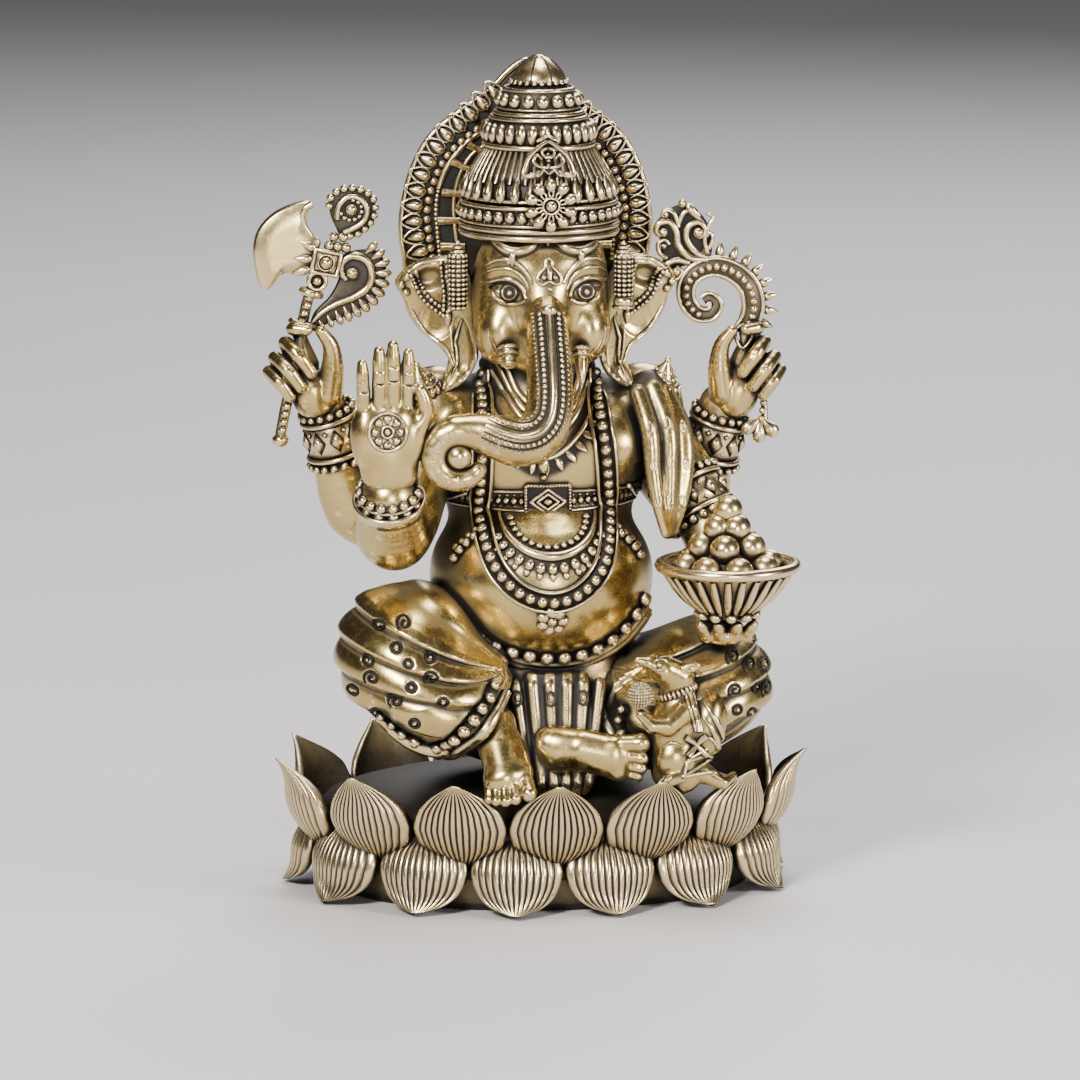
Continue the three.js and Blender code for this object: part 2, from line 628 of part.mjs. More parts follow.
/** The axe: a staff, a crescent blade on a square hub, and two scrolls on the other side. */
function makeAxe(grip) {
  const butt = shifted(grip, [-4, -2.2, -9.6]);
  const middle = shifted(grip, [-0.9, -1.2, 1]);
  const hub = shifted(grip, [1.9, -0.4, 16.8]);
  const top = shifted(hub, [0.9, 0, 3.6]);
  casting('axe_handle', chain([butt, middle, hub, top], Array(4).fill(STAFF_RADIUS), 6), WORN_BRASS);
  const blade = new THREE.Shape();
  blade.moveTo(hub[0] - 1, hub[2] + 1.6);
  blade.quadraticCurveTo(hub[0] - 2.4, hub[2] + 4.4, hub[0] - 2.2, hub[2] + 8.2);
  blade.quadraticCurveTo(hub[0] - 8.6, hub[2] + 7, hub[0] - 9.8, hub[2] + 1);
  blade.quadraticCurveTo(hub[0] - 10.2, hub[2] - 2.6, hub[0] - 8.2, hub[2] - 5);
  blade.quadraticCurveTo(hub[0] - 6.4, hub[2] - 2.4, hub[0] - 1, hub[2] - 2);
  blade.closePath();
  casting('axe_blade', [plate(blade, hub[1], BLADE_THICKNESS), block(hub, [4.6, 3.4, 4.4], -14)], WORN_BRASS);
  const upperScroll = [[1.6, 0, 5.2], [2.6, 0, 8], [4.8, 0, 9.4], [6.6, 0, 8], [6, 0, 5.6]];
  casting('axe_upper_scroll', chain(upperScroll.map((p) => shifted(hub, p)), [1.4, 1.5, 1.3, 1.2, 1], 6), BRASS);
  const lowerScroll = [[-0.6, 0, -9.4], [3.2, 0, -6.6], [6.6, 0, -4], [7.6, 0, -1], [5.4, 0, 0.6], [4.2, 0, -1.4]];
  casting('axe_lower_scroll', chain(lowerScroll.map((p) => shifted(hub, p)), [1.3, 1.6, 1.7, 1.6, 1.3, 1], 6), BRASS);
}

/** The rear left arm, its fist round the stem of the goad. */
function makeGoadArm() {
  const start = shifted(shoulder, [-0.4, 3, -3]);
  const elbow = shifted(shoulder, [8.2, 6.5, -17.6]);
  const wrist = shifted(shoulder, [11.2, 3.4, -3.4]);
  const fist = shifted(wrist, [3.4, -0.8, 6.4]);
  casting('rear_left_arm', chain([start, elbow, wrist], [ARM_RADIUS, ARM_RADIUS * 0.95, WRIST_RADIUS], 10, 2),
    WORN_BRASS);
  makeGoad(fist);
  casting('goad_hand', fistForm(fist, 1), WORN_BRASS);
  casting('rear_left_bracelet', [bracelet(elbow, wrist, BRACELET_RADIUS)], BRASS);
}

/** The goad: a stem through the fist, a hook that curls back on itself, scrolls and a tassel. */
function makeGoad(grip) {
  const stem = [[2, -2.2, -5.4], [1, -1.2, 0], [1.2, -0.4, 7.4]];
  const hook = [
    [2.4, 0, 10.9], [1.3, 0, 14.4], [-1.4, 0, 16.7], [-5, 0, 16.7],
    [-7.5, 0, 13.8], [-7.2, 0, 10.2], [-5, 0, 8.8], [-3.5, 0, 10.6],
  ];
  const route = [...stem, ...hook].map((p) => shifted(grip, p));
  const radii = [
    ...stem.map(() => STAFF_RADIUS),
    ...hook.map((_, k) => HOOK_RADIUS * (1 - 0.055 * k)),
  ];
  casting('goad_hook', chain(route, radii, 6), WORN_BRASS);
  const arcs = [
    [[-5.6, 0, 18.2], [-8.6, 0, 21], [-10, 0, 24.2], [-8.4, 0, 25.4]],
    [[-5, 0, 18.4], [-5.6, 0, 22.4], [-3.6, 0, 24], [-2.8, 0, 21.8]],
    [[-6.6, 0, 18.6], [-10, 0, 18.4], [-10.4, 0, 15.6]],
  ];
  casting('goad_scroll', arcs.flatMap((arc) => chain(arc.map((p) => shifted(grip, p)),
    arc.map(() => 1.15), 6)), BRASS);
  const knot = shifted(grip, [2.1, -2.4, -6.8]);
  casting('goad_tassel', [-1, 0, 1].map((k) => leaf(knot, shifted(knot, [k * 2.2, 0, -3.4]), 2.4, 1.6)),
    WORN_BRASS);
}

makeBlessingArm();
makeBowlArm();
makeAxeArm();
makeGoadArm();

// ---------------------------------------------------------------- cloth and jewellery

/** The folded sash over the left shoulder, and the pointed caps of both shoulders. */
function makeShoulders() {
  casting('shoulder_sash', chain(
    [shifted(shoulder, [1, -5.4, 1.4]), shifted(shoulder, [2.4, -9, -7.6]), shifted(shoulder, [1.4, -12, -15])],
    [3.6, 4.2, 3.6], 12,
  ), BRASS);
  for (const [name, side] of [['right_shoulder_cap', -1], ['left_shoulder_cap', 1]]) {
    const foot = mirrored(shifted(shoulder, [1.8, -3, 3.6]), side);
    casting(name, [drumlet(foot, shifted(foot, [side * 0.3, -0.4, 4]), 3.6, 0.5, 10)], BRASS);
  }
}

/** Bands that lie on the belly and chest. */
function makeJewellery() {
  const lift = BEAD_BAND_RADIUS * 0.4;
  casting('chest_buckle', [block(onBelly(0, 0.72, 1.2), BUCKLE_SIZE)], BRASS);
  const sidesOf = (u) => [-1, 1].map((side) => onChest(side * u[0], u[1], lift));
  const [rightTop, leftTop] = sidesOf([0.62, 0.55]);
  const [rightMiddle, leftMiddle] = sidesOf([0.62, -0.3]);
  casting('long_necklace', [tube([
    rightTop, rightMiddle, onBelly(-0.52, 0.3, lift), onBelly(-0.42, -0.02, lift), onBelly(-0.22, -0.25, lift),
    onBelly(0, -0.32, lift), onBelly(0.22, -0.25, lift), onBelly(0.42, -0.02, lift), onBelly(0.52, 0.3, lift),
    leftMiddle, leftTop,
  ], BEAD_BAND_RADIUS, 20)], BRASS);
  const pendant = onBelly(0, -0.45, 0.8);
  casting('necklace_pendant', [ball(pendant, [2.2, 1.1, 2.2], [0, 0, 0], 8)], BRASS);
  casting('collar_necklace', [tube([
    onChest(-0.5, 0.6, lift), onChest(-0.36, 0.2, lift), onChest(0, -0.06, lift),
    onChest(0.36, 0.2, lift), onChest(0.5, 0.6, lift),
  ], BEAD_BAND_RADIUS * 1.2, 10)], BRASS);
  casting('waist_beads', [tube([
    onBelly(-0.8, -0.36, 1.2), onBelly(-0.56, -0.56, 1.6), onBelly(-0.3, -0.67, 1.8), onBelly(0, -0.7, 1.8),
    onBelly(0.3, -0.67, 1.8), onBelly(0.56, -0.56, 1.6), onBelly(0.8, -0.36, 1.2),
  ], BEAD_BAND_RADIUS, 12)], BRASS);
}

/** The mouse that sits up beside the left foot with a sweet in its paws. */
function makeMouse() {
  const seatOf = [17.6, -20.5, SEAT];
  const body = shifted(seatOf, [0, 0, 11]);
  casting('mouse', [
    ball(body, MOUSE_BODY_RADII, [0, 12, 0]),
    ball(shifted(seatOf, [2.2, 0.4, 4]), [4.6, 4.4, 4.2], [0, 0, 0], 10),
    rod(shifted(body, [-0.6, -0.6, 6.4]), shifted(body, [-5.6, -2, 9.6]), 2.7, 1, 10),
    ball(shifted(body, [1.4, -0.6, 9]), [1.4, 0.9, 1.6], [0, 0, 0], 8),
    rod(shifted(body, [-2, -3.4, 2.4]), shifted(body, [-5, -4.4, 4]), 1.2, 0.9, 8),
    rod(shifted(seatOf, [4, 1, 2]), shifted(seatOf, [9.4, 2, 1.4]), 1, 0.7, 8),
  ], BRASS);
  casting('mouse_sweet', [ball(shifted(body, [-5.6, -4.2, 5]), 1.9, [0, 0, 0], 8)], WORN_BRASS);
}

makeShoulders();
makeJewellery();
makeMouse();

export default group;
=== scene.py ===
"""A seated elephant-headed deity in antique brass on a double lotus, dressed casting by casting.

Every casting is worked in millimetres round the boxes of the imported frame, and its mesh is laid
down in metres. Soft forms are modelled as clay (a signed distance grid that is then skinned);
beads, rails, petals and ribs are set out by geometry nodes along trails pressed onto those forms.
"""
import json
import logging
import math
from dataclasses import dataclass, field
from enum import Enum
from typing import Callable, Iterable, Sequence

import bmesh
import bpy
import numpy as np
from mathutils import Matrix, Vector
from mathutils.bvhtree import BVHTree

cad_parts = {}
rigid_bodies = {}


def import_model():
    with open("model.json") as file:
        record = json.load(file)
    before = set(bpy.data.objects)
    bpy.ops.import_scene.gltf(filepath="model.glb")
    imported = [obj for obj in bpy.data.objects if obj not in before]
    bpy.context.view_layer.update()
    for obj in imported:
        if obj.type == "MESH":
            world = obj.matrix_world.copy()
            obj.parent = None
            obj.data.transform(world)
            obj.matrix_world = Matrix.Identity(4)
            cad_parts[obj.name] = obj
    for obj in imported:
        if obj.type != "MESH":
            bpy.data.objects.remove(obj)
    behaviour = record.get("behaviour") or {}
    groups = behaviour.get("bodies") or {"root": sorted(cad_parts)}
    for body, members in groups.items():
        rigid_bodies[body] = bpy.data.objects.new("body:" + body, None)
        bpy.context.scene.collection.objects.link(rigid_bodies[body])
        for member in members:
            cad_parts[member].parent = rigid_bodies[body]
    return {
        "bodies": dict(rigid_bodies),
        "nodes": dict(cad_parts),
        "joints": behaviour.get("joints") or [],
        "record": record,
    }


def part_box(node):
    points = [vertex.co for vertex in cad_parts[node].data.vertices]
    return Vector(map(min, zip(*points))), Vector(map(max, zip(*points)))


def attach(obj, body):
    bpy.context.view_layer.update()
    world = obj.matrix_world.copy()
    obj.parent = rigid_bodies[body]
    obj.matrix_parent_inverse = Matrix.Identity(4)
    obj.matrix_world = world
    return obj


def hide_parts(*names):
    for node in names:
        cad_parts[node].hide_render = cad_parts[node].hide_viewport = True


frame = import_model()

LOG = logging.getLogger("brass_deity")
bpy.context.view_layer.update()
METRE = 0.001
BODY = "root"
Point = Sequence[float]
Wireable = object


def box_mm(node: str) -> tuple[np.ndarray, np.ndarray]:
    """Gives the two corners of a node's box.

    Args:
        node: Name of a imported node.

    Returns:
        The lowest and the highest corner in millimetres.
    """
    low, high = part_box(node)
    return np.array(low) / METRE, np.array(high) / METRE


def unit(rows: np.ndarray) -> np.ndarray:
    """Scales each row to length one."""
    rows = np.asarray(rows, float)
    return rows / np.maximum(np.linalg.norm(rows, axis=-1, keepdims=True), 1e-9)


# ---------------------------------------------------------------- node writing

class Wire:
    """A node's output that can be used in sums."""

    def __init__(self, graph: "Graph", socket: bpy.types.NodeSocket) -> None:
        """Keeps the graph and the socket."""
        self.graph = graph
        self.socket = socket

    def _sum(self, work: str, first: Wireable, second: Wireable) -> "Wire":
        """Adds one Math node and gives its result."""
        return self.graph.node("ShaderNodeMath", {"operation": work}, {0: first, 1: second})

    def __add__(self, other: Wireable) -> "Wire":
        """Gives self + other."""
        return self._sum("ADD", self, other)

    __radd__ = __add__

    def __sub__(self, other: Wireable) -> "Wire":
        """Gives self - other."""
        return self._sum("SUBTRACT", self, other)

    def __rsub__(self, other: Wireable) -> "Wire":
        """Gives other - self."""
        return self._sum("SUBTRACT", other, self)

    def __mul__(self, other: Wireable) -> "Wire":
        """Gives self x other."""
        return self._sum("MULTIPLY", self, other)

    __rmul__ = __mul__

    def clamped(self) -> "Wire":
        """Gives the value kept between 0 and 1."""
        return self.graph.node("ShaderNodeClamp", {}, {0: self, 1: 0.0, 2: 1.0})

    def spread(self, low: float, high: float) -> "Wire":
        """Maps low..high smoothly onto 0..1."""
        return self.graph.node("ShaderNodeMapRange", {"interpolation_type": "SMOOTHSTEP"}, {0: self, 1: low,
            2: high, 3: 0.0, 4: 1.0})


class Graph:
    """Writes the nodes of a material or of a geometry tree."""

    def __init__(self, tree: bpy.types.NodeTree) -> None:
        """Keeps the tree that the nodes go into."""
        self.tree = tree

    def node(self, kind: str, settings: dict | None = None, inputs: dict | None = None,
            output: int | str = 0) -> Wire:
        """Adds one node.

        Args:
            kind: Blender's type name of the node.
            settings: Properties that are set before the sockets; "stops" fills a colour ramp.
            inputs: Values or wires by socket number or name.
            output: Number or name of the output wanted.

        Returns:
            The wanted output.
        """
        made = self.tree.nodes.new(kind)
        for name, value in (settings or {}).items():
            if name == "stops":
                ramp = made.color_ramp
                while len(ramp.elements) < len(value):
                    ramp.elements.new(0.5)
                for element, (place, colour) in zip(ramp.elements, value):
                    element.position = place
                    element.color = colour
            else:
                setattr(made, name, value)
        for key, value in (inputs or {}).items():
            if isinstance(value, Wire):
                self.tree.links.new(value.socket, made.inputs[key])
            else:
                made.inputs[key].default_value = value
        return Wire(self, made.outputs[output])

    def mix(self, share: Wireable, first: Wireable, second: Wireable) -> Wire:
        """Mixes two colours.

        Args:
            share: 0 gives the first colour and 1 the second.
            first: Colour or wire.
            second: Colour or wire.

        Returns:
            The mixed colour.
        """
        return self.node("ShaderNodeMix", {"data_type": "RGBA"}, {0: share, 6: first, 7: second}, 2)


# ---------------------------------------------------------------- finishes

RUBBED_EDGE = (0.86, 0.70, 0.43, 1)
# Dark brass colour that patina and painted shade both pass through.
TARNISH_AND_SHADE = (0.17, 0.135, 0.082, 1)
# Reach of the painted-shade occlusion, as a multiple of the patina reach.
PAINTED_SHADE_REACH = 5
NOISE_PER_MM = (0.10, 0.55, 2.6)


@dataclass(frozen=True)
class AgedBrass:
    """Cast brass with dark patina in its hollows and rubbed high places, and painted shade in its broad
    recesses.
    """

    name: str
    bright: tuple[float, float, float]
    warm: tuple[float, float, float]
    # The darkest colour, reached by patina and by painted shade alike.
    soot: tuple[float, float, float]
    reach: float = 1.5
    closed_at: float = 0.42
    open_at: float = 0.90
    gloss: float = 0.25
    pitting: float = 0.3
    haze: float = 0.3
    # Strength of the painted shade in broad recesses.
    shade: float = 0.62

    def make(self) -> bpy.types.Material:
        """Writes the material's nodes.

        Returns:
            The finished material.
        """
        material = bpy.data.materials.new(self.name)
        material.use_nodes = True
        g = Graph(material.node_tree)
        shader = material.node_tree.nodes["Principled BSDF"]
        place = g.node("ShaderNodeTexCoord", output="Object")

        def mottle(per_mm: float, detail: float, rough: float) -> Wire:
            """Gives a noise of so many patches per millimetre."""
            return g.node("ShaderNodeTexNoise", {}, {"Vector": place, "Scale": per_mm / METRE,
                "Detail": detail, "Roughness": rough})

        broad, cloudy, fine = (mottle(per_mm, detail, rough) for per_mm, detail, rough in zip(NOISE_PER_MM,
            (3.0, 4.0, 5.0), (0.55, 0.55, 0.7)))
        # Fine occlusion gives the patina in small hollows; the wide occlusion, at five times the reach, gives
        # painted shade in broad recesses such as the neck and under the arms.
        hollow, wide_shade_ao = (g.node("ShaderNodeAmbientOcclusion", {"samples": 8}, {"Distance": reach * METRE},
            "AO") for reach in (self.reach, self.reach * PAINTED_SHADE_REACH))
        laid = g.node("ShaderNodeAttribute", {"attribute_name": "soot"}, output="Fac")
        edge = g.node("ShaderNodeNewGeometry", output="Pointiness").spread(0.49, 0.57)
        opened = (hollow + (cloudy - 0.5) * 0.20 + (fine - 0.5) * 0.10).spread(self.closed_at, self.open_at)
        stain = cloudy.spread(0.50, 0.74) * self.haze * (1 - edge)
        # Painted shade: broad recesses darkened from the wide occlusion.
        shade = (1 - wide_shade_ao.spread(0.16, 0.80)) * self.shade
        specks = fine.spread(0.60, 0.72) * 0.45 * (1 - edge)
        # The dark share adds painted shade to patina, stain, pitting and the patina and painted shade laid on
        # the points.
        soot = ((1 - opened) + stain + shade + specks + laid * (1.25 - cloudy * 0.5)).clamped()
        metal = g.mix(broad.spread(0.40, 0.62), (*self.bright, 1), (*self.warm, 1))
        rubbed = g.mix(edge * 0.7, metal, RUBBED_EDGE)
        tarnished_and_shaded = g.mix((soot * 1.6).clamped(), rubbed, TARNISH_AND_SHADE)
        colour = g.mix(soot.spread(0.35, 1.0), tarnished_and_shaded, (*self.soot, 1))
        rough = (self.gloss + soot * 0.30 + (fine - 0.5) * 0.18 + (cloudy - 0.5) * 0.16).clamped()
        bump = g.node("ShaderNodeBump", {}, {"Strength": self.pitting, "Distance": 0.05 * METRE,
            "Height": fine * 0.6 + cloudy * 0.8})
        links = {"Base Color": colour, "Metallic": 1 - soot * 0.55, "Roughness": rough, "Normal": bump}
        for name, wire in links.items():
            material.node_tree.links.new(wire.socket, shader.inputs[name])
        return material


class Brass(Enum):
    """The four finishes, by the record's slot names."""

    FIGURE = AgedBrass("brass_antique", (0.55, 0.42, 0.155), (0.48, 0.345, 0.12), (0.014, 0.011, 0.008),
        haze=0.08, shade=0.8)
    PATINA = AgedBrass("brass_patinated", (0.55, 0.42, 0.18), (0.47, 0.34, 0.14), (0.012, 0.009, 0.008),
        closed_at=0.46, open_at=0.92, haze=0.2, shade=0.62)
    WORN = AgedBrass("brass_worn", (0.60, 0.455, 0.175), (0.53, 0.385, 0.14), (0.014, 0.011, 0.008),
        closed_at=0.42, open_at=0.90, gloss=0.25, haze=0.14, shade=0.75)
    JEWEL = AgedBrass("brass_beadwork", (0.64, 0.49, 0.21), (0.56, 0.41, 0.17), (0.008, 0.007, 0.006),
        reach=1.2, closed_at=0.52, open_at=0.93, gloss=0.24, haze=0.15, shade=0.7)


MATERIALS: dict[Brass, bpy.types.Material] = {}


def dressed_in(finish: Brass) -> bpy.types.Material:
    """Gives a finish's material, made once.

    Args:
        finish: The finish.

    Returns:
        Its material.
    """
    if finish not in MATERIALS:
        MATERIALS[finish] = finish.value.make()
    return MATERIALS[finish]


# ---------------------------------------------------------------- skins

@dataclass
class Skin:
    """Corner points in millimetres and the faces between them."""

    points: np.ndarray
    quads: np.ndarray = field(default_factory=lambda: np.zeros((0, 4), int))
    tris: np.ndarray = field(default_factory=lambda: np.zeros((0, 3), int))

    def joined(self, *others: "Skin") -> "Skin":
        """Joins other skins to this one.

        Args:
            others: Skins that are added.

        Returns:
            One skin with all the faces.
        """
        points, quads, tris, count = [], [], [], 0
        for skin in (self, *others):
            points.append(skin.points)
            quads.append(skin.quads + count)
            tris.append(skin.tris + count)
            count += len(skin.points)
        return Skin(np.vstack(points), np.vstack(quads), np.vstack(tris))

    def outward(self) -> "Skin":
        """Turns the faces round if the volume they hold is negative.

        Returns:
            A skin whose faces point outward.
        """
        rows = np.vstack([self.tris, self.quads[:, (0, 1, 2)], self.quads[:, (0, 2, 3)]])
        a, b, c = (self.points[rows[:, k]] for k in range(3))
        if np.einsum("ij,ij->", a, np.cross(b, c)) < 0:
            return Skin(self.points, self.quads[:, ::-1].copy(), self.tris[:, ::-1].copy())
        return self

    def mesh(self, name: str) -> bpy.types.Mesh:
        """Lays the skin down as a mesh in metres.

        Args:
            name: Name of the mesh.

        Returns:
            The smooth-shaded mesh.
        """
        mesh = bpy.data.meshes.new(name)
        loops = np.concatenate([self.quads.ravel(), self.tris.ravel()]).astype(np.int32)
        sizes = np.concatenate([np.full(len(self.quads), 4), np.full(len(self.tris), 3)])
        mesh.vertices.add(len(self.points))
        mesh.vertices.foreach_set("co", (self.points * METRE).astype(np.float32).ravel())
        mesh.loops.add(len(loops))
        mesh.loops.foreach_set("vertex_index", loops)
        mesh.polygons.add(len(sizes))
        mesh.polygons.foreach_set("loop_start", np.concatenate([[0], np.cumsum(sizes)[:-1]]).astype(np.int32))
        mesh.polygons.foreach_set("use_smooth", np.ones(len(sizes), bool))
        mesh.update(calc_edges=True)
        mesh.validate()
        return mesh

    def tree(self) -> BVHTree:
        """Gives a search tree of the faces, in millimetres."""
        faces = [tuple(f) for f in self.quads.tolist()] + [tuple(f) for f in self.tris.tolist()]
        return BVHTree.FromPolygons([tuple(p) for p in self.points.tolist()], faces)


def lathe(profile: Iterable[Point], around: int = 48, squash: float = 1.0, centre: Point = (0, 0, 0)) -> Skin:
    """Turns a profile round the upright axis and closes its ends.

    Args:
        profile: Radius and height pairs, from the bottom end to the top end.
        around: Number of steps round the axis.
        squash: Depth as a share of width, for an oval.
        centre: Foot of the axis.

    Returns:
        A closed skin.
    """
    rows = np.array([(r, z) for r, z in profile], float)
    turn = np.linspace(0, 2 * math.pi, around, endpoint=False)
    ring = np.stack([np.cos(turn), np.sin(turn) * squash], 1)
    points = np.concatenate([np.column_stack([ring * r, np.full(around, z)]) for r, z in rows])
    k = np.arange(around)
    n = (k + 1) % around
    quads = np.concatenate([np.column_stack([i * around + k, i * around + n, (i + 1) * around + n,
        (i + 1) * around + k]) for i in range(len(rows) - 1)])
    ends = np.array([(0, 0, rows[0, 1]), (0, 0, rows[-1, 1])], float)
    foot, top = len(points), len(points) + 1
    last = (len(rows) - 1) * around
    tris = np.concatenate([np.column_stack([np.full(around, foot), n, k]), np.column_stack([np.full(around,
        top), last + k, last + n])])
    return Skin(np.vstack([points, ends]) + np.asarray(centre, float), quads, tris)


def grid_shell(outer: np.ndarray, inner: np.ndarray) -> Skin:
    """Closes two facing grids of points into one shell.

    Args:
        outer: Outer grid, rows x columns x 3.
        inner: Inner grid of the same size.

    Returns:
        A closed skin with a rim on all four sides.
    """
    rows, columns = outer.shape[:2]
    number = np.arange(rows * columns).reshape(rows, columns)
    front = np.stack([number[:-1, :-1], number[:-1, 1:], number[1:, 1:], number[1:, :-1]], -1).reshape(-1, 4)
    back = front[:, ::-1] + rows * columns
    edge = np.concatenate([number[0, :-1], number[:-1, -1], number[-1, :0:-1], number[:0:-1, 0]])
    nxt = np.roll(edge, -1)
    rim = np.column_stack([nxt, edge, edge + rows * columns, nxt + rows * columns])
    points = np.vstack([outer.reshape(-1, 3), inner.reshape(-1, 3)])
    return Skin(points, np.vstack([front, back, rim])).outward()


# ---------------------------------------------------------------- clay

class Clay:
    """Soft form on a grid of signed distances, worked by adding and cutting."""

    def __init__(self, low: Point, high: Point, cell: float) -> None:
        """Lays out an empty block of clay.

        Args:
            low: Lowest corner of the work, in millimetres.
            high: Highest corner.
            cell: Grid spacing.
        """
        self.cell = cell
        self.low = np.asarray(low, float) - 3 * cell
        count = np.ceil((np.asarray(high, float) + 3 * cell - self.low) / cell).astype(int) + 1
        self.axes = [self.low[k] + cell * np.arange(count[k]) for k in range(3)]
        self.field = np.full(tuple(count), 50.0, np.float32)

    def _window(self, low: Point, high: Point) -> tuple[tuple[slice, ...], list[np.ndarray]]:
        """Gives the part of the grid inside a box, with its coordinates for broadcasting.

        Args:
            low: Lowest corner of the box.
            high: Highest corner.

        Returns:
            Slices of the grid, and the x, y and z of its cells.
        """
        cuts, spans = [], []
        for k in range(3):
            first = max(0, int((low[k] - self.low[k]) / self.cell))
            last = min(len(self.axes[k]), int((high[k] - self.low[k]) / self.cell) + 2)
            cuts.append(slice(first, max(first, last)))
            shape = [1, 1, 1]
            shape[k] = -1
            spans.append(self.axes[k][cuts[k]].reshape(shape).astype(np.float32))
        return tuple(cuts), spans

    def work(self, low: Point, high: Point, shape: Callable[..., np.ndarray], blend: float = 0.0,
            cut: bool = False) -> "Clay":
        """Adds or cuts a form given by its distance.

        Args:
            low: Lowest corner that the form reaches.
            high: Highest corner.
            shape: Function of x, y and z grids that gives signed distances.
            blend: Width over which the two forms run together.
            cut: True takes the form away.

        Returns:
            The clay itself.
        """
        reach = blend + 3 * self.cell
        window, spans = self._window(np.asarray(low) - reach, np.asarray(high) + reach)
        old = self.field[window]
        new = shape(*spans).astype(np.float32)
        if cut:
            old, new = -old, new
        joined = np.minimum(old, new)
        if blend > 0:
            joined = joined - np.maximum(blend - np.abs(old - new), 0) ** 2 / (4 * blend)
        self.field[window] = -joined if cut else joined
        return self

    def ball(self, centre: Point, radii: float | Point, blend: float = 0.0, cut: bool = False,
            turn: tuple[float, float, float] = (0, 0, 0)) -> "Clay":
        """Adds or cuts an ellipsoid.

        Args:
            centre: Its middle.
            radii: One radius or three.
            blend: Width of the fillet.
            cut: True takes it away.
            turn: Turns about x, y and z in degrees.

        Returns:
            The clay itself.
        """
        centre = np.asarray(centre, float)
        radii = np.ones(3) * radii
        frame_of = turned(turn)
        reach = radii.max()

        def shape(x: np.ndarray, y: np.ndarray, z: np.ndarray) -> np.ndarray:
            """Gives the distance to the ellipsoid.

            Args:
                x: Places across.
                y: Depths.
                z: Heights.

            Returns:
                Signed distances.
            """
            near = (x - centre[0], y - centre[1], z - centre[2])
            local = [sum(frame_of[k, a] * near[k] for k in range(3)) for a in range(3)]
            inner = np.sqrt(sum((local[a] / radii[a]) ** 2 for a in range(3)))
            outer = np.sqrt(sum((local[a] / radii[a] ** 2) ** 2 for a in range(3)))
            return inner * (inner - 1) / np.maximum(outer, 1e-6)

        return self.work(centre - reach, centre + reach, shape, blend, cut)

    def rod(self, path: Sequence[Point], radii: float | Sequence[float], blend: float = 0.0,
            cut: bool = False, flat: Point | None = None, share: float = 1.0) -> "Clay":
        """Adds or cuts a rounded rod of changing thickness along a path.

        Args:
            path: Points of its middle line.
            radii: One radius, or one for each point.
            blend: Width of the fillet with the rest.
            cut: True takes it away.
            flat: Direction in which the rod is flattened.
            share: Thickness along that direction as a share of the width.

        Returns:
            The clay itself.
        """
        path = np.asarray(path, float)
        radii = np.broadcast_to(np.asarray(radii, float), (len(path),))
        press = unit(flat) if flat is not None else None
        reach = radii.max()

        def shape(x: np.ndarray, y: np.ndarray, z: np.ndarray) -> np.ndarray:
            """Gives the distance to the nearest stretch of the rod.

            Args:
                x: Places across.
                y: Depths.
                z: Heights.

            Returns:
                Signed distances.
            """
            best = None
            for a, b, ra, rb in zip(path[:-1], path[1:], radii[:-1], radii[1:]):
                along = b - a
                length = max(float(along @ along), 1e-9)
                gap = (x - a[0], y - a[1], z - a[2])
                t = np.clip(sum(gap[k] * along[k] for k in range(3)) / length, 0, 1)
                off = [gap[k] - t * along[k] for k in range(3)]
                square = sum(o ** 2 for o in off)
                if press is not None:
                    through = sum(off[k] * press[k] for k in range(3))
                    square = square + through ** 2 * (1 / share ** 2 - 1)
                away = np.sqrt(square) - (ra + (rb - ra) * t)
                best = away if best is None else np.minimum(best, away)
            return best

        return self.work(path.min(0) - reach, path.max(0) + reach, shape, blend, cut)

    def front(self, x: float, z: float) -> float:
        """Finds where the clay starts, coming from the front.

        Args:
            x: Place across.
            z: Height.

        Returns:
            The depth, or not-a-number where there is no clay.
        """
        i = int(round((x - self.low[0]) / self.cell))
        k = int(round((z - self.low[2]) / self.cell))
        column = self.field[np.clip(i, 0, len(self.axes[0]) - 1), :, np.clip(k, 0, len(self.axes[2]) - 1)]
        solid = np.flatnonzero(column < 0)
        if not len(solid) or solid[0] == 0:
            return float("nan")
        j = solid[0]
        share = column[j - 1] / (column[j - 1] - column[j])
        return float(self.low[1] + self.cell * (j - 1 + share))

    def skin(self) -> Skin:
        """Skins the clay with quads, one corner in each cell that the surface crosses.

        Returns:
            A closed skin with its faces outward.
        """
        f = self.field.copy()
        for k in range(3):
            for end in (0, -1):
                side = [slice(None)] * 3
                side[k] = end
                f[tuple(side)] = np.maximum(f[tuple(side)], self.cell)
        inside = f < 0
        cells = tuple(n - 1 for n in f.shape)
        total = np.zeros((*cells, 3), np.float32)
        count = np.zeros(cells, np.int16)
        for k in range(3):
            near = [slice(None)] * 3
            far = [slice(None)] * 3
            near[k], far[k] = slice(None, -1), slice(1, None)
            a, b = f[tuple(near)], f[tuple(far)]
            crossed = inside[tuple(near)] != inside[tuple(far)]
            share = np.where(crossed, a / np.where(crossed, a - b, 1), 0).astype(np.float32)
            others = [axis for axis in range(3) if axis != k]
            for first in (0, 1):
                for second in (0, 1):
                    pick = [slice(None)] * 3
                    pick[others[0]] = slice(first, first + cells[others[0]])
                    pick[others[1]] = slice(second, second + cells[others[1]])
                    hit = crossed[tuple(pick)]
                    total[..., k] += np.where(hit, share[tuple(pick)], 0)
                    total[..., others[0]] += np.where(hit, first, 0)
                    total[..., others[1]] += np.where(hit, second, 0)
                    count += hit
        live = count > 0
        number = np.full(cells, -1, int)
        number[live] = np.arange(live.sum())
        where = np.argwhere(live)
        points = self.low + self.cell * (where + total[live] / count[live][:, None])
        quads = []
        for k in range(3):
            u, v = (k + 1) % 3, (k + 2) % 3
            near = [slice(1, -1)] * 3
            far = [slice(1, -1)] * 3
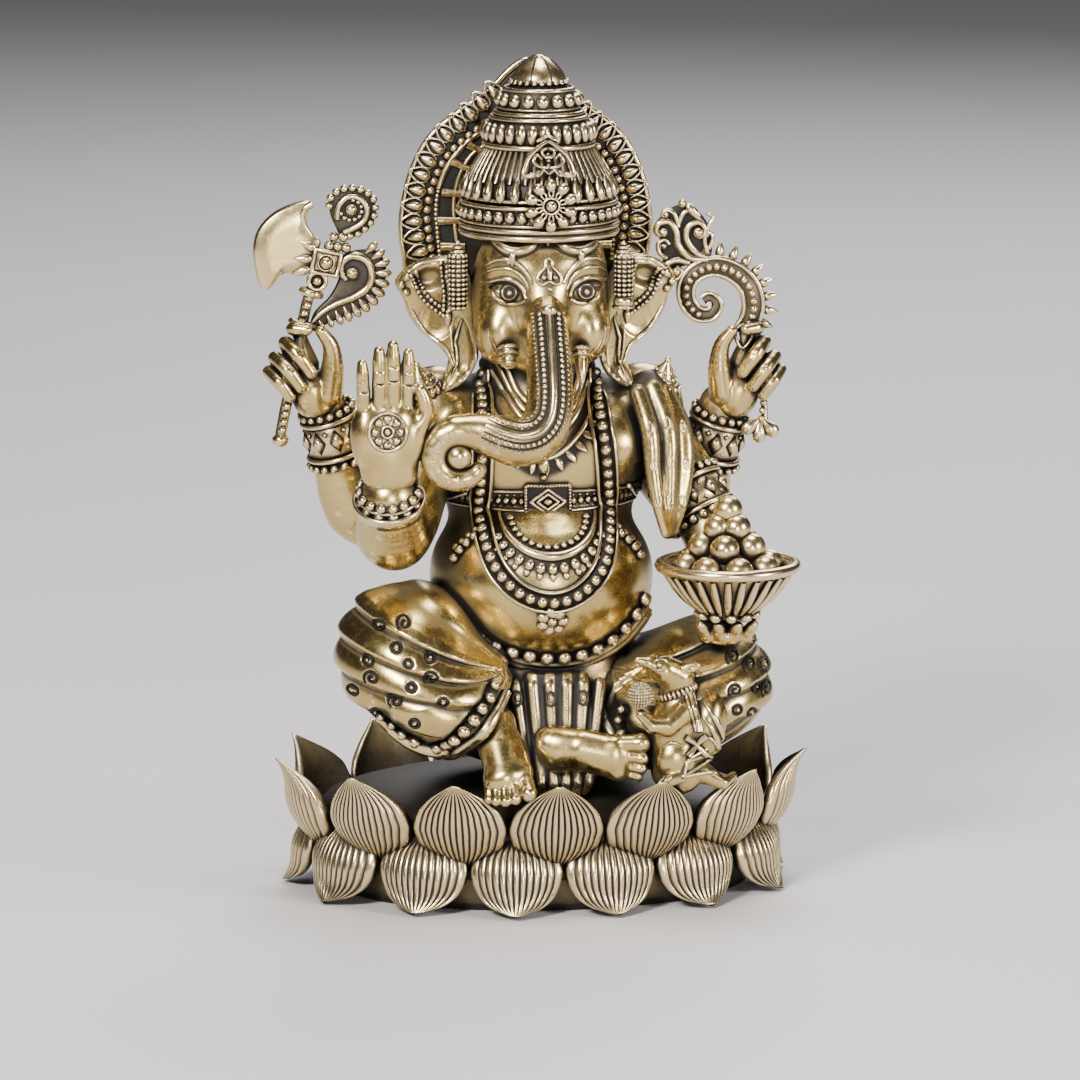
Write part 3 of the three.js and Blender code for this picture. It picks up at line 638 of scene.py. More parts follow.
            near[k], far[k] = slice(None, -1), slice(1, None)
            first, second = inside[tuple(near)], inside[tuple(far)]
            spots = np.argwhere(first != second)
            if not len(spots):
                continue
            base = spots.copy()
            base[:, u] += 1
            base[:, v] += 1
            step_u, step_v = np.zeros(3, int), np.zeros(3, int)
            step_u[u], step_v[v] = 1, 1
            ring = [number[tuple((base - du * step_u - dv * step_v).T)] for du, dv in ((1, 1), (0, 1), (0, 0),
                (1, 0))]
            quad = np.stack(ring, 1)
            solid = first[tuple(spots.T)]
            quad[~solid] = quad[~solid][:, ::-1]
            quads.append(quad)
        return Skin(points, np.vstack(quads)).outward()


def turned(degrees: tuple[float, float, float]) -> np.ndarray:
    """Gives the matrix of turns about x, then y, then z.

    Args:
        degrees: The three turns.

    Returns:
        A 3 x 3 matrix whose columns are the turned axes.
    """
    a, b, c = (math.radians(d) for d in degrees)
    about_x = np.array([[1, 0, 0], [0, math.cos(a), -math.sin(a)], [0, math.sin(a), math.cos(a)]])
    about_y = np.array([[math.cos(b), 0, math.sin(b)], [0, 1, 0], [-math.sin(b), 0, math.cos(b)]])
    about_z = np.array([[math.cos(c), -math.sin(c), 0], [math.sin(c), math.cos(c), 0], [0, 0, 1]])
    return about_z @ about_y @ about_x


# ---------------------------------------------------------------- trails

@dataclass
class Trail:
    """A line of points with the way each faces, for beads and rails to follow."""

    points: np.ndarray
    facing: np.ndarray
    closed: bool = False

    @staticmethod
    def through(controls: Sequence[Point], facing: Point | np.ndarray = (0, -1, 0), count: int = 60,
            closed: bool = False) -> "Trail":
        """Runs a smooth line through control points.

        Args:
            controls: Points that the line passes through.
            facing: One direction, or one for each control point.
            count: Number of points wanted.
            closed: True joins the end to the start.

        Returns:
            The trail, evenly spaced.
        """
        knots = np.asarray(controls, float)
        looks = np.broadcast_to(np.asarray(facing, float), knots.shape)
        both = np.hstack([knots, looks])
        if closed:
            padded = np.vstack([both[-1:], both, both[:2]])
        elif len(both) == 2:
            padded = np.vstack([2 * both[0] - both[1], both, 2 * both[1] - both[0]])
        else:
            padded = np.vstack([2 * both[0] - both[1], both, 2 * both[-1] - both[-2]])
        t = np.linspace(0, 1, 14, endpoint=False)[:, None]
        pieces = []
        for p0, p1, p2, p3 in zip(padded[:-3], padded[1:-2], padded[2:-1], padded[3:]):
            pieces.append(0.5 * (2 * p1 + (p2 - p0) * t + (2 * p0 - 5 * p1 + 4 * p2 - p3) * t ** 2 + (3 * p1
                - p0 - 3 * p2 + p3) * t ** 3))
        line = np.vstack(pieces + ([] if closed else [both[-1:]]))
        return Trail(line[:, :3], unit(line[:, 3:]), closed).spaced(count)

    @staticmethod
    def ring(centre: Point, radii: Point, count: int = 48, axis: Point = (0, 0, 1), start: float = -90.0,
            sweep: float = 360.0, outward: bool = True) -> "Trail":
        """Runs round an oval.

        Args:
            centre: Its middle.
            radii: Half width across and half depth.
            count: Number of points.
            axis: Direction that the oval lies square to.
            start: Angle of the first point, in degrees.
            sweep: Angle covered; 360 closes the ring.
            outward: True faces away from the middle, False along the axis.

        Returns:
            The trail.
        """
        up = unit(axis)
        side = unit(np.cross((0, 1, 0) if abs(up[1]) < 0.9 else (0, 0, 1), up))
        ahead = np.cross(up, side)
        closed = abs(sweep) >= 359.9
        turn = np.radians(start + np.linspace(0, sweep, count, endpoint=not closed))
        cos, sin = np.cos(turn)[:, None], np.sin(turn)[:, None]
        points = np.asarray(centre, float) + cos * side * radii[0] + sin * ahead * radii[1]
        look = unit(cos * side / radii[0] + sin * ahead / radii[1])
        return Trail(points, look if outward else np.tile(up, (count, 1)), closed)

    def spaced(self, count: int) -> "Trail":
        """Gives the same line with evenly spaced points.

        Args:
            count: Number of points wanted.

        Returns:
            The new trail.
        """
        both = np.hstack([self.points, self.facing])
        if self.closed:
            both = np.vstack([both, both[:1]])
        run = np.concatenate([[0], np.cumsum(np.linalg.norm(np.diff(both[:, :3], axis=0), axis=1))])
        at = np.linspace(0, run[-1], count, endpoint=not self.closed)
        new = np.column_stack([np.interp(at, run, both[:, k]) for k in range(6)])
        return Trail(new[:, :3], unit(new[:, 3:]), self.closed)

    def along(self) -> np.ndarray:
        """Gives the direction of travel at each point.

        Returns:
            One unit row for each point.
        """
        if self.closed:
            return unit(np.roll(self.points, -1, 0) - np.roll(self.points, 1, 0))
        return unit(np.gradient(self.points, axis=0))

    def length(self) -> float:
        """Gives the length of the line."""
        rows = np.vstack([self.points, self.points[:1]]) if self.closed else self.points
        return float(np.linalg.norm(np.diff(rows, axis=0), axis=1).sum())

    def shifted(self, sideways: float = 0.0, lift: float = 0.0) -> "Trail":
        """Moves the line across itself.

        Args:
            sideways: Distance to the left of travel, seen from the side that it faces.
            lift: Distance along the way it faces.

        Returns:
            The moved trail.
        """
        across = unit(np.cross(self.facing, self.along()))
        return Trail(self.points + across * sideways + self.facing * lift, self.facing, self.closed)

    def pressed(self, onto: BVHTree, push: Point | None = None, lift: float = 0.0,
            smooth: int = 2) -> "Trail":
        """Presses the line onto a form.

        Args:
            onto: Search tree of the form.
            push: Direction of the press; left out, each point goes to the nearest place.
            lift: Height kept above the form.
            smooth: Rounds of smoothing of the ways faced.

        Returns:
            The pressed trail.
        """
        points, looks = [], []
        for point in self.points:
            hit = normal = None
            if push is not None:
                way = Vector(unit(push))
                hit, normal, _, _ = onto.ray_cast(Vector(point) - way * 60, way)
            if hit is None:
                hit, normal, _, _ = onto.find_nearest(Vector(point))
            points.append(tuple(hit))
            looks.append(tuple(normal))
        points, looks = np.array(points), unit(np.array(looks))
        for _ in range(smooth):
            if self.closed:
                looks = unit(np.roll(looks, 1, 0) + 2 * looks + np.roll(looks, -1, 0))
                points = (np.roll(points, 1, 0) + 4 * points + np.roll(points, -1, 0)) / 6
            else:
                looks[1:-1] = unit(looks[:-2] + 2 * looks[1:-1] + looks[2:])
                points[1:-1] = (points[:-2] + 4 * points[1:-1] + points[2:]) / 6
        return Trail(points + looks * lift, looks, self.closed)

    def mesh(self, girth: Sequence[float] | None = None) -> bpy.types.Mesh:
        """Lays the trail down as joined edges with its facing and girth.

        Args:
            girth: Thickness at each point as a share of the full one.

        Returns:
            The mesh of edges, in metres.
        """
        count = len(self.points)
        edges = [(k, k + 1) for k in range(count - 1)] + ([(count - 1, 0)] if self.closed else [])
        mesh = bpy.data.meshes.new("trail")
        mesh.from_pydata((self.points * METRE).tolist(), edges, [])
        mesh.attributes.new("facing", "FLOAT_VECTOR", "POINT").data.foreach_set("vector",
            self.facing.astype(np.float32).ravel())
        sizes = np.interp(np.linspace(0, 1, count), np.linspace(0, 1, len(girth)), girth) \
            if girth is not None else np.ones(count)
        mesh.attributes.new("girth", "FLOAT", "POINT").data.foreach_set("value", np.asarray(sizes,
            np.float32))
        return mesh


# ---------------------------------------------------------------- geometry trees

def new_tree(name: str, inputs: Sequence[tuple[str, str]]) -> tuple[bpy.types.NodeTree, Graph, Callable]:
    """Starts a geometry tree.

    Args:
        name: Name of the tree.
        inputs: Names and socket types of its inputs after the geometry.

    Returns:
        The tree, its node writer and a function that gives an input by name.
    """
    tree = bpy.data.node_groups.new(name, "GeometryNodeTree")
    tree.interface.new_socket("Geometry", in_out="INPUT", socket_type="NodeSocketGeometry")
    for title, kind in inputs:
        tree.interface.new_socket(title, in_out="INPUT", socket_type=kind)
    tree.interface.new_socket("Geometry", in_out="OUTPUT", socket_type="NodeSocketGeometry")
    g = Graph(tree)
    entry = tree.nodes.new("NodeGroupInput")
    return tree, g, lambda title: Wire(g, entry.outputs[title])


def end_tree(tree: bpy.types.NodeTree, g: Graph, made: Wire, material: Wire) -> bpy.types.NodeTree:
    """Ends a geometry tree in Realize Instances and Set Material.

    Args:
        tree: The tree.
        g: Its node writer.
        made: The geometry so far.
        material: The material input.

    Returns:
        The finished tree.
    """
    real = g.node("GeometryNodeRealizeInstances", {}, {"Geometry": made})
    dressed = g.node("GeometryNodeSetMaterial", {}, {"Geometry": real, "Material": material})
    out = tree.nodes.new("NodeGroupOutput")
    tree.links.new(dressed.socket, out.inputs[0])
    return tree


def row_tree() -> bpy.types.NodeTree:
    """Writes the tree that sets a motif out evenly along trails.

    Returns:
        The tree, with inputs Motif, Count, Size and Material.
    """
    tree, g, entry = new_tree("row of motifs", [("Motif", "NodeSocketObject"), ("Count", "NodeSocketInt"),
        ("Size", "NodeSocketVector"), ("Material", "NodeSocketMaterial")])
    line = g.node("GeometryNodeMeshToCurve", {}, {"Mesh": entry("Geometry")})
    line = g.node("GeometryNodeResampleCurve", {"mode": "COUNT"}, {"Curve": line, "Count": entry("Count")})
    facing = g.node("GeometryNodeInputNamedAttribute", {"data_type": "FLOAT_VECTOR"}, {"Name": "facing"})
    girth = g.node("GeometryNodeInputNamedAttribute", {"data_type": "FLOAT"}, {"Name": "girth"})
    out_turn = g.node("FunctionNodeAlignRotationToVector", {"axis": "Z"}, {"Vector": facing})
    turn = g.node("FunctionNodeAlignRotationToVector", {"axis": "X", "pivot_axis": "Z"},
        {"Rotation": out_turn, "Vector": g.node("GeometryNodeInputTangent")})
    motif = g.node("GeometryNodeObjectInfo", {}, {"Object": entry("Motif")}, "Geometry")
    size = g.node("ShaderNodeVectorMath", {"operation": "SCALE"}, {0: entry("Size"), "Scale": girth})
    made = g.node("GeometryNodeInstanceOnPoints", {}, {"Points": line, "Instance": motif, "Rotation": turn,
        "Scale": size})
    return end_tree(tree, g, made, entry("Material"))


def rail_tree() -> bpy.types.NodeTree:
    """Writes the tree that runs a round rail along trails, as thick as their girth.

    Returns:
        The tree, with inputs Sides, Radius and Material.
    """
    tree, g, entry = new_tree("rails", [("Sides", "NodeSocketInt"), ("Radius", "NodeSocketFloat"),
        ("Material", "NodeSocketMaterial")])
    line = g.node("GeometryNodeMeshToCurve", {}, {"Mesh": entry("Geometry")})
    girth = g.node("GeometryNodeInputNamedAttribute", {"data_type": "FLOAT"}, {"Name": "girth"})
    ring = g.node("GeometryNodeCurvePrimitiveCircle", {}, {"Resolution": entry("Sides"),
        "Radius": entry("Radius")})
    made = g.node("GeometryNodeCurveToMesh", {}, {"Curve": line, "Profile Curve": ring, "Scale": girth,
        "Fill Caps": True})
    return end_tree(tree, g, made, entry("Material"))


class Trees:
    """The geometry trees, written once."""

    made: dict[str, bpy.types.NodeTree] = {}

    @classmethod
    def get(cls, name: str, write: Callable[[], bpy.types.NodeTree]) -> bpy.types.NodeTree:
        """Gives a tree, writing it the first time.

        Args:
            name: Name of the tree.
            write: Function that writes it.

        Returns:
            The tree.
        """
        if name not in cls.made:
            cls.made[name] = write()
        return cls.made[name]


def run_tree(mesh: bpy.types.Mesh, tree: bpy.types.NodeTree, values: dict) -> bpy.types.Mesh:
    """Runs a geometry tree on a mesh.

    Args:
        mesh: The mesh that the tree starts from.
        tree: The tree.
        values: Values of its inputs by name.

    Returns:
        The plain mesh that it makes.
    """
    carrier = bpy.data.objects.new("carrier", mesh)
    bpy.context.scene.collection.objects.link(carrier)
    step = carrier.modifiers.new("tree", "NODES")
    step.node_group = tree
    for item in tree.interface.items_tree:
        if item.item_type == "SOCKET" and item.in_out == "INPUT" and item.name in values:
            step[item.identifier] = values[item.name]
    graph = bpy.context.evaluated_depsgraph_get()
    made = bpy.data.meshes.new_from_object(carrier.evaluated_get(graph))
    carrier.modifiers.remove(step)
    bpy.data.objects.remove(carrier)
    return made


class Motif:
    """A small shape that rows repeat: x along the row, z the way the trail faces."""

    kept: dict[str, bpy.types.Object] = {}

    @classmethod
    def get(cls, name: str, make: Callable[[], Skin]) -> bpy.types.Object:
        """Gives the motif's object, made the first time.

        Args:
            name: Name of the motif.
            make: Function that makes its skin at full size.

        Returns:
            The object, outside the scene.
        """
        if name not in cls.kept:
            cls.kept[name] = bpy.data.objects.new("motif_" + name, make().mesh(name))
        return cls.kept[name]


def bead_skin(around: int = 9, rings: int = 5) -> Skin:
    """Makes a ball of radius one with few faces.

    Args:
        around: Steps round the ball.
        rings: Rings between its poles.

    Returns:
        The ball.
    """
    turn = np.linspace(-math.pi / 2, math.pi / 2, rings + 2)[1:-1]
    skin = lathe([(math.cos(t), math.sin(t)) for t in turn], around)
    skin.points[-2:] = [(0, 0, -1), (0, 0, 1)]
    return skin


def stud_skin() -> Skin:
    """Makes a faceted lozenge stud with its point up, two long and two wide.

    Returns:
        The stud.
    """
    points = np.array([(1, 0, 0), (0, 1, 0), (-1, 0, 0), (0, -1, 0), (0, 0, 0.8), (0, 0, -0.5)], float)
    tris = np.array([(k, (k + 1) % 4, 4) for k in range(4)] + [((k + 1) % 4, k, 5) for k in range(4)])
    return Skin(points, tris=tris)


def drop_skin(around: int = 8) -> Skin:
    """Makes a teardrop that lies along y with its point at +y, two long and half as much again wide.

    Args:
        around: Steps round the drop.

    Returns:
        The drop.
    """
    rows = [(0.34, -0.92), (0.64, -0.7), (0.78, -0.38), (0.70, 0.0), (0.46, 0.42), (0.2, 0.78)]
    skin = lathe(rows, around)
    skin.points[-2:, 2] = (-1.0, 1.0)
    return Skin(skin.points[:, (0, 2, 1)] * (1, 1, -1), skin.quads, skin.tris).outward()


class Shape(Enum):
    """Motifs that rows use."""

    BEAD = "bead"
    STUD = "stud"
    DROP = "drop"


MAKERS: dict[Shape, Callable[[], Skin]] = {Shape.BEAD: bead_skin, Shape.STUD: stud_skin,
    Shape.DROP: drop_skin}


# ---------------------------------------------------------------- castings

def lay_patina_and_shade(mesh: bpy.types.Mesh, soot: np.ndarray | float) -> None:
    """Lays patina and painted shade on a mesh's points, as shares from 0 to 1."""
    values = np.broadcast_to(np.asarray(soot, np.float32), (len(mesh.vertices),))
    mesh.attributes.new("soot", "FLOAT", "POINT").data.foreach_set("value", np.ascontiguousarray(values))


def read_patina_and_shade(mesh: bpy.types.Mesh) -> np.ndarray:
    """Reads the patina and painted shade back from a mesh; bare meshes have none.

    Args:
        mesh: The mesh.

    Returns:
        One share for each point.
    """
    values = np.zeros(len(mesh.vertices), np.float32)
    if "soot" in mesh.attributes and mesh.attributes["soot"].domain == "POINT":
        mesh.attributes["soot"].data.foreach_get("value", values)
    return values


class Casting:
    """One casting: gathers its forms, rails and rows, then stands in for its CAD nodes."""

    def __init__(self, name: str, finish: Brass, *nodes: str) -> None:
        """Starts an empty casting.

        Args:
            name: Name of the piece.
            finish: Its finish.
            nodes: CAD nodes that it stands for; left out, the node of the same name.
        """
        self.name = name
        self.finish = finish
        self.nodes = nodes or (name,)
        self.meshes: list[bpy.types.Mesh] = []
        self.rails: list[tuple[Trail, np.ndarray, float]] = []

    def form(self, *skins: Skin, soot: np.ndarray | float = 0.0) -> "Casting":
        """Adds skins, each with patina and painted shade laid over its points where that is given.

        Args:
            soot: One share for all points, or one for each.
            skins: The skins.

        Returns:
            The casting itself.
        """
        for skin in skins:
            mesh = skin.mesh(self.name)
            lay_patina_and_shade(mesh, soot)
            self.meshes.append(mesh)
        return self

    def ground(self, skin: Skin, share: float) -> "Casting":
        """Adds a plate whose front half is painted dark: painted shade behind the ornaments on it, with
        patina.
        """
        depth = skin.points[:, 1]
        return self.form(skin, soot=(depth < (depth.min() + depth.max()) / 2) * share)

    def rail(self, trail: Trail, radius: float, girth: Sequence[float] = (1, 1),
            soot: float = 0.0) -> "Casting":
        """Adds a round rail along a trail.

        Args:
            trail: Its middle line.
            radius: Its radius in millimetres.
            girth: Shares of the radius from start to end.
            soot: Share of patina and painted shade laid on it.

        Returns:
            The casting itself.
        """
        count = len(trail.points)
        sizes = np.interp(np.linspace(0, 1, count), np.linspace(0, 1, len(girth)), girth)
        self.rails.append((trail, sizes * radius, soot))
        return self

    def row(self, trail: Trail, shape: Shape | bpy.types.Object, count: int, size: float | Point = 1.0,
            girth: Sequence[float] = (1, 1)) -> "Casting":
        """Adds a row of motifs along a trail.

        Args:
            trail: The line that they stand on.
            shape: A motif, or an object used as one.
            count: How many there are.
            size: Scale of the motif, one number or along, across and up.
            girth: Shares of that size from start to end.

        Returns:
            The casting itself.
        """
        motif = Motif.get(shape.value, MAKERS[shape]) if isinstance(shape, Shape) else shape
        scale = tuple(float(s) for s in np.broadcast_to(np.asarray(size, float), (3,)))
        self.meshes.append(run_tree(trail.mesh(girth), Trees.get("row", row_tree), {"Motif": motif,
            "Count": int(count), "Size": scale, "Material": dressed_in(self.finish)}))
        return self

    def one(self, shape: Shape, spot: Point, size: float | Point, up: Point = (0, 0, 1), facing: Point = (0,
            -1, 0)) -> "Casting":
        """Adds a single motif.

        Args:
            shape: The motif.
            spot: Where its middle goes.
            size: Scale across, up and out.
            up: Direction of its tip.
            facing: Direction that it faces.

        Returns:
            The casting itself.
        """
        up, out = unit(up), unit(facing)
        skin = MAKERS[shape]()
        basis = np.stack([np.cross(up, out), up, out])
        scaled = skin.points * np.broadcast_to(np.asarray(size, float), (3,))
        return self.form(Skin(scaled @ basis + np.asarray(spot, float), skin.quads, skin.tris).outward())

    def beads(self, trail: Trail, radius: float, pitch: float = 2.1, girth: Sequence[float] = (1,
            1)) -> "Casting":
        """Adds beads that nearly touch along a trail.

        Args:
            trail: The line through their middles.
            radius: Their radius in millimetres.
            pitch: Spacing as a multiple of the radius.
            girth: Shares of the radius from start to end.

        Returns:
            The casting itself.
        """
        count = max(2, round(trail.length() / (pitch * radius)) + (0 if trail.closed else 1))
        return self.row(trail, Shape.BEAD, count, radius, girth)

    def _run_rails(self) -> None:
        """Makes all the rails in one go."""
        points, edges, sizes, patina_and_shades, start = [], [], [], [], 0
        for trail, girth, soot in self.rails:
            count = len(trail.points)
            points.append(trail.points * METRE)
            edges += [(start + k, start + k + 1) for k in range(count - 1)]
            edges += [(start + count - 1, start)] if trail.closed else []
            sizes.append(girth)
            patina_and_shades.append(np.full(count, soot))
            start += count
        mesh = bpy.data.meshes.new("rails")
        mesh.from_pydata(np.vstack(points).tolist(), edges, [])
        mesh.attributes.new("girth", "FLOAT", "POINT").data.foreach_set("value",
            np.concatenate(sizes).astype(np.float32))
        lay_patina_and_shade(mesh, np.concatenate(patina_and_shades))
        self.meshes.append(run_tree(mesh, Trees.get("rail", rail_tree), {"Sides": 8, "Radius": METRE,
            "Material": dressed_in(self.finish)}))

    def place(self) -> bpy.types.Object:
        """Joins everything into one object that replaces the CAD nodes.

        Returns:
            The finished piece.
        """
        if self.rails:
            self._run_rails()
        parts = [bpy.data.objects.new(self.name, mesh) for mesh in self.meshes]
        patina_and_shades = [read_patina_and_shade(mesh) for mesh in self.meshes]
        joined = bmesh.new()
        for part in parts:
            joined.from_mesh(part.data)
            bpy.data.objects.remove(part)
        mesh = bpy.data.meshes.new(self.name)
        joined.to_mesh(mesh)
        joined.free()
        mesh.materials.clear()
        mesh.materials.append(dressed_in(self.finish))
        mesh.polygons.foreach_set("material_index", np.zeros(len(mesh.polygons), np.int32))
        mesh.polygons.foreach_set("use_smooth", np.ones(len(mesh.polygons), bool))
        for spare in ("facing", "girth", "soot"):
            if spare in mesh.attributes:
                mesh.attributes.remove(mesh.attributes[spare])
        lay_patina_and_shade(mesh, np.concatenate(patina_and_shades))
        piece = bpy.data.objects.new(self.name, mesh)
        bpy.context.scene.collection.objects.link(piece)
        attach(piece, BODY)
        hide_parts(*self.nodes)
        LOG.info("%s: %d faces", self.name, len(mesh.polygons))
        return piece


# ---------------------------------------------------------------- stage

@dataclass
class Stage:
    """Pale floor, soft lights and the camera."""

    azimuth: float = -6.0
    elevation: float = 10.0
    distance: float = 1100.0
    aim: tuple[float, float, float] = (1.06, 8.65, 49.3)
    lens: float = 249.0
    floor_half: float = 4.0

    def camera(self) -> None:
        """Sets the camera on its sphere round the aim."""
        a, e = math.radians(self.azimuth), math.radians(self.elevation)
        back = np.array([math.sin(a) * math.cos(e), -math.cos(a) * math.cos(e), math.sin(e)])
        spot = (np.array(self.aim) + self.distance * back) * METRE
        data = bpy.data.cameras.new("camera")
        data.lens = self.lens
        data.sensor_width = 36.0
        data.clip_end = 50.0
        made = bpy.data.objects.new("camera", data)
        made.location = spot
        made.rotation_euler = Vector(back).to_track_quat("Z", "Y").to_euler()
        bpy.context.scene.collection.objects.link(made)
        bpy.context.scene.camera = made

    def floor(self) -> None:
        """Lays a pale floor that runs far behind the piece."""
        h = self.floor_half
        mesh = bpy.data.meshes.new("floor")
        mesh.from_pydata([(-h, -h, 0), (h, -h, 0), (h, h, 0), (-h, h, 0)], [], [(0, 1, 2, 3)])
        material = bpy.data.materials.new("pale_floor")
        material.use_nodes = True
        g = Graph(material.node_tree)
        shader = material.node_tree.nodes["Principled BSDF"]
        place = g.node("ShaderNodeTexCoord", output="Object")
        grain = g.node("ShaderNodeTexNoise", {}, {"Vector": place, "Scale": 6.0, "Detail": 3.0})
        colour = g.mix(grain, (0.50, 0.485, 0.49, 1), (0.54, 0.525, 0.53, 1))
        material.node_tree.links.new(colour.socket, shader.inputs["Base Color"])
        shader.inputs["Roughness"].default_value = 0.75
        mesh.materials.append(material)
        made = bpy.data.objects.new("floor", mesh)
        bpy.context.scene.collection.objects.link(made)

    def lamp(self, name: str, spot: Point, size: float, watts: float, colour: tuple[float, float, float] = (1,
            1, 1), toward: Point = (0, 0, 0.06)) -> None:
        """Hangs one soft square light.

        Args:
            name: Name of the light.
            spot: Its place in metres.
            size: Side of the square in metres.
            watts: Its power.
            colour: Its colour.
            toward: Point that it faces.
        """
        data = bpy.data.lights.new(name, "AREA")
        data.shape = "SQUARE"
        data.size = size
        data.energy = watts
        data.color = colour
        made = bpy.data.objects.new(name, data)
        made.location = spot
        made.rotation_euler = (Vector(spot) - Vector(toward)).to_track_quat("Z", "Y").to_euler()
        bpy.context.scene.collection.objects.link(made)

    def lights(self) -> None:
        """Hangs the soft lights and sets a dim surround."""
        self.lamp("key", (-0.40, -0.62, 0.52), 0.20, 13.0, (1.0, 0.96, 0.90))
        self.lamp("fill", (0.62, -0.46, 0.26), 0.18, 6.0, (1.0, 0.94, 0.88))
        self.lamp("top", (0.05, 0.05, 0.80), 0.34, 6.0)
        self.lamp("low front", (0.08, -0.9, 0.16), 0.16, 3.0)
        self.lamp("back", (0.25, 0.7, 0.6), 0.5, 6.0)
        world = bpy.data.worlds.new("surround")
        world.use_nodes = True
        world.node_tree.nodes["Background"].inputs["Color"].default_value = (0.36, 0.34, 0.37, 1)
        world.node_tree.nodes["Background"].inputs["Strength"].default_value = 0.16
        bpy.context.scene.world = world

    def build(self) -> None:
        """Builds the whole stage."""
        self.camera()
        self.floor()
        self.lights()


# ---------------------------------------------------------------- lotus

@dataclass
class Petal:
    """One grooved petal: x across, y up from its foot, z outward."""

    width: float
    rise: float
    bulge: float
    lean: float
    curl: float
    wall: float
    grooves: int = 13
    groove_depth: float = 0.42
    pod: float = 0.0
    rows: int = 26

    def skin(self) -> tuple[Skin, np.ndarray]:
        """Makes the closed, grooved petal.

        Returns:
            Its skin, and the share laid on each point: patina in the outer grooves, painted shade on the
            inner face.
        """
        stops = [0.0, 0.08, 0.22, 0.45, 0.65, 0.8, 0.9, 0.96, 1.0]
        spans = ([0.30, 0.66, 0.92, 1.0, 0.94, 0.80, 0.60, 0.38, 0.05] if self.pod else [0.30, 0.55, 0.86,
            1.0, 0.87, 0.60, 0.33, 0.15, 0.03])
        v = np.linspace(0, 1, self.rows) ** 0.9
        half = np.interp(v, stops, spans) * self.width / 2
        half = np.convolve(np.pad(half, 1, mode="edge"), (0.25, 0.5, 0.25), "valid")
        half[-1] = 0.06 * self.width / 2
        u = [-1.0, -0.965]
        for k in range(self.grooves):
            middle = -0.9 + 1.8 * (k + 0.5) / self.grooves
            step = 1.8 / self.grooves
            u += [middle - 0.30 * step, middle - 0.13 * step, middle, middle + 0.13 * step,
                middle + 0.30 * step]
        u = np.array(u + [0.965, 1.0])
        phase = np.abs(((u + 0.9) / 1.8 * self.grooves) % 1 - 0.5)
        groove = np.clip(1 - phase / 0.2, 0, 1) * (np.abs(u) < 0.92)
        rim = np.clip((np.abs(u) - 0.90) / 0.07, 0, 1)
        uu, vv = np.meshgrid(u, v)
        wide = half[:, None] * np.ones_like(uu)
        fade = np.clip((0.97 - vv) / 0.12, 0, 1) * np.clip(wide / (0.3 * self.width), 0.35, 1)
        out = (self.bulge * np.sin(math.pi * vv ** 0.8) + self.lean * vv + self.curl * np.clip((vv
            - 0.62) / 0.38, 0, 1) ** 2)
        cup = 0.46 * self.width * (1 - np.sqrt(np.clip(1 - (uu * 0.86) ** 2, 0, 1))) \
            * np.clip(wide / (0.5 * self.width), 0, 1)
        outer = np.stack([uu * wide, vv * self.rise, out - cup - self.groove_depth * groove * fade + 0.22
            * rim * fade], -1)
        body = np.sin(math.pi * np.clip(vv, 0, 1)) * (1 - uu ** 2)
        under = self.groove_depth * groove * fade if self.pod else 0
        inner = np.stack([uu * wide * 0.985, vv * self.rise - self.wall * 0.25 * (vv > 0.5) * vv,
            out - cup - self.wall * (0.55 + 0.45 * np.sin(math.pi * vv)) - self.pod * body + under], -1)
        # The outer grooves carry patina; the inner face is painted shade, as it faces the drum.
        laid = np.concatenate([(groove * np.clip(fade * 1.6, 0, 1)).ravel(),
            np.full(inner.shape[0] * inner.shape[1], 0.15 if self.pod else 0.5)])
        return grid_shell(outer, inner), laid


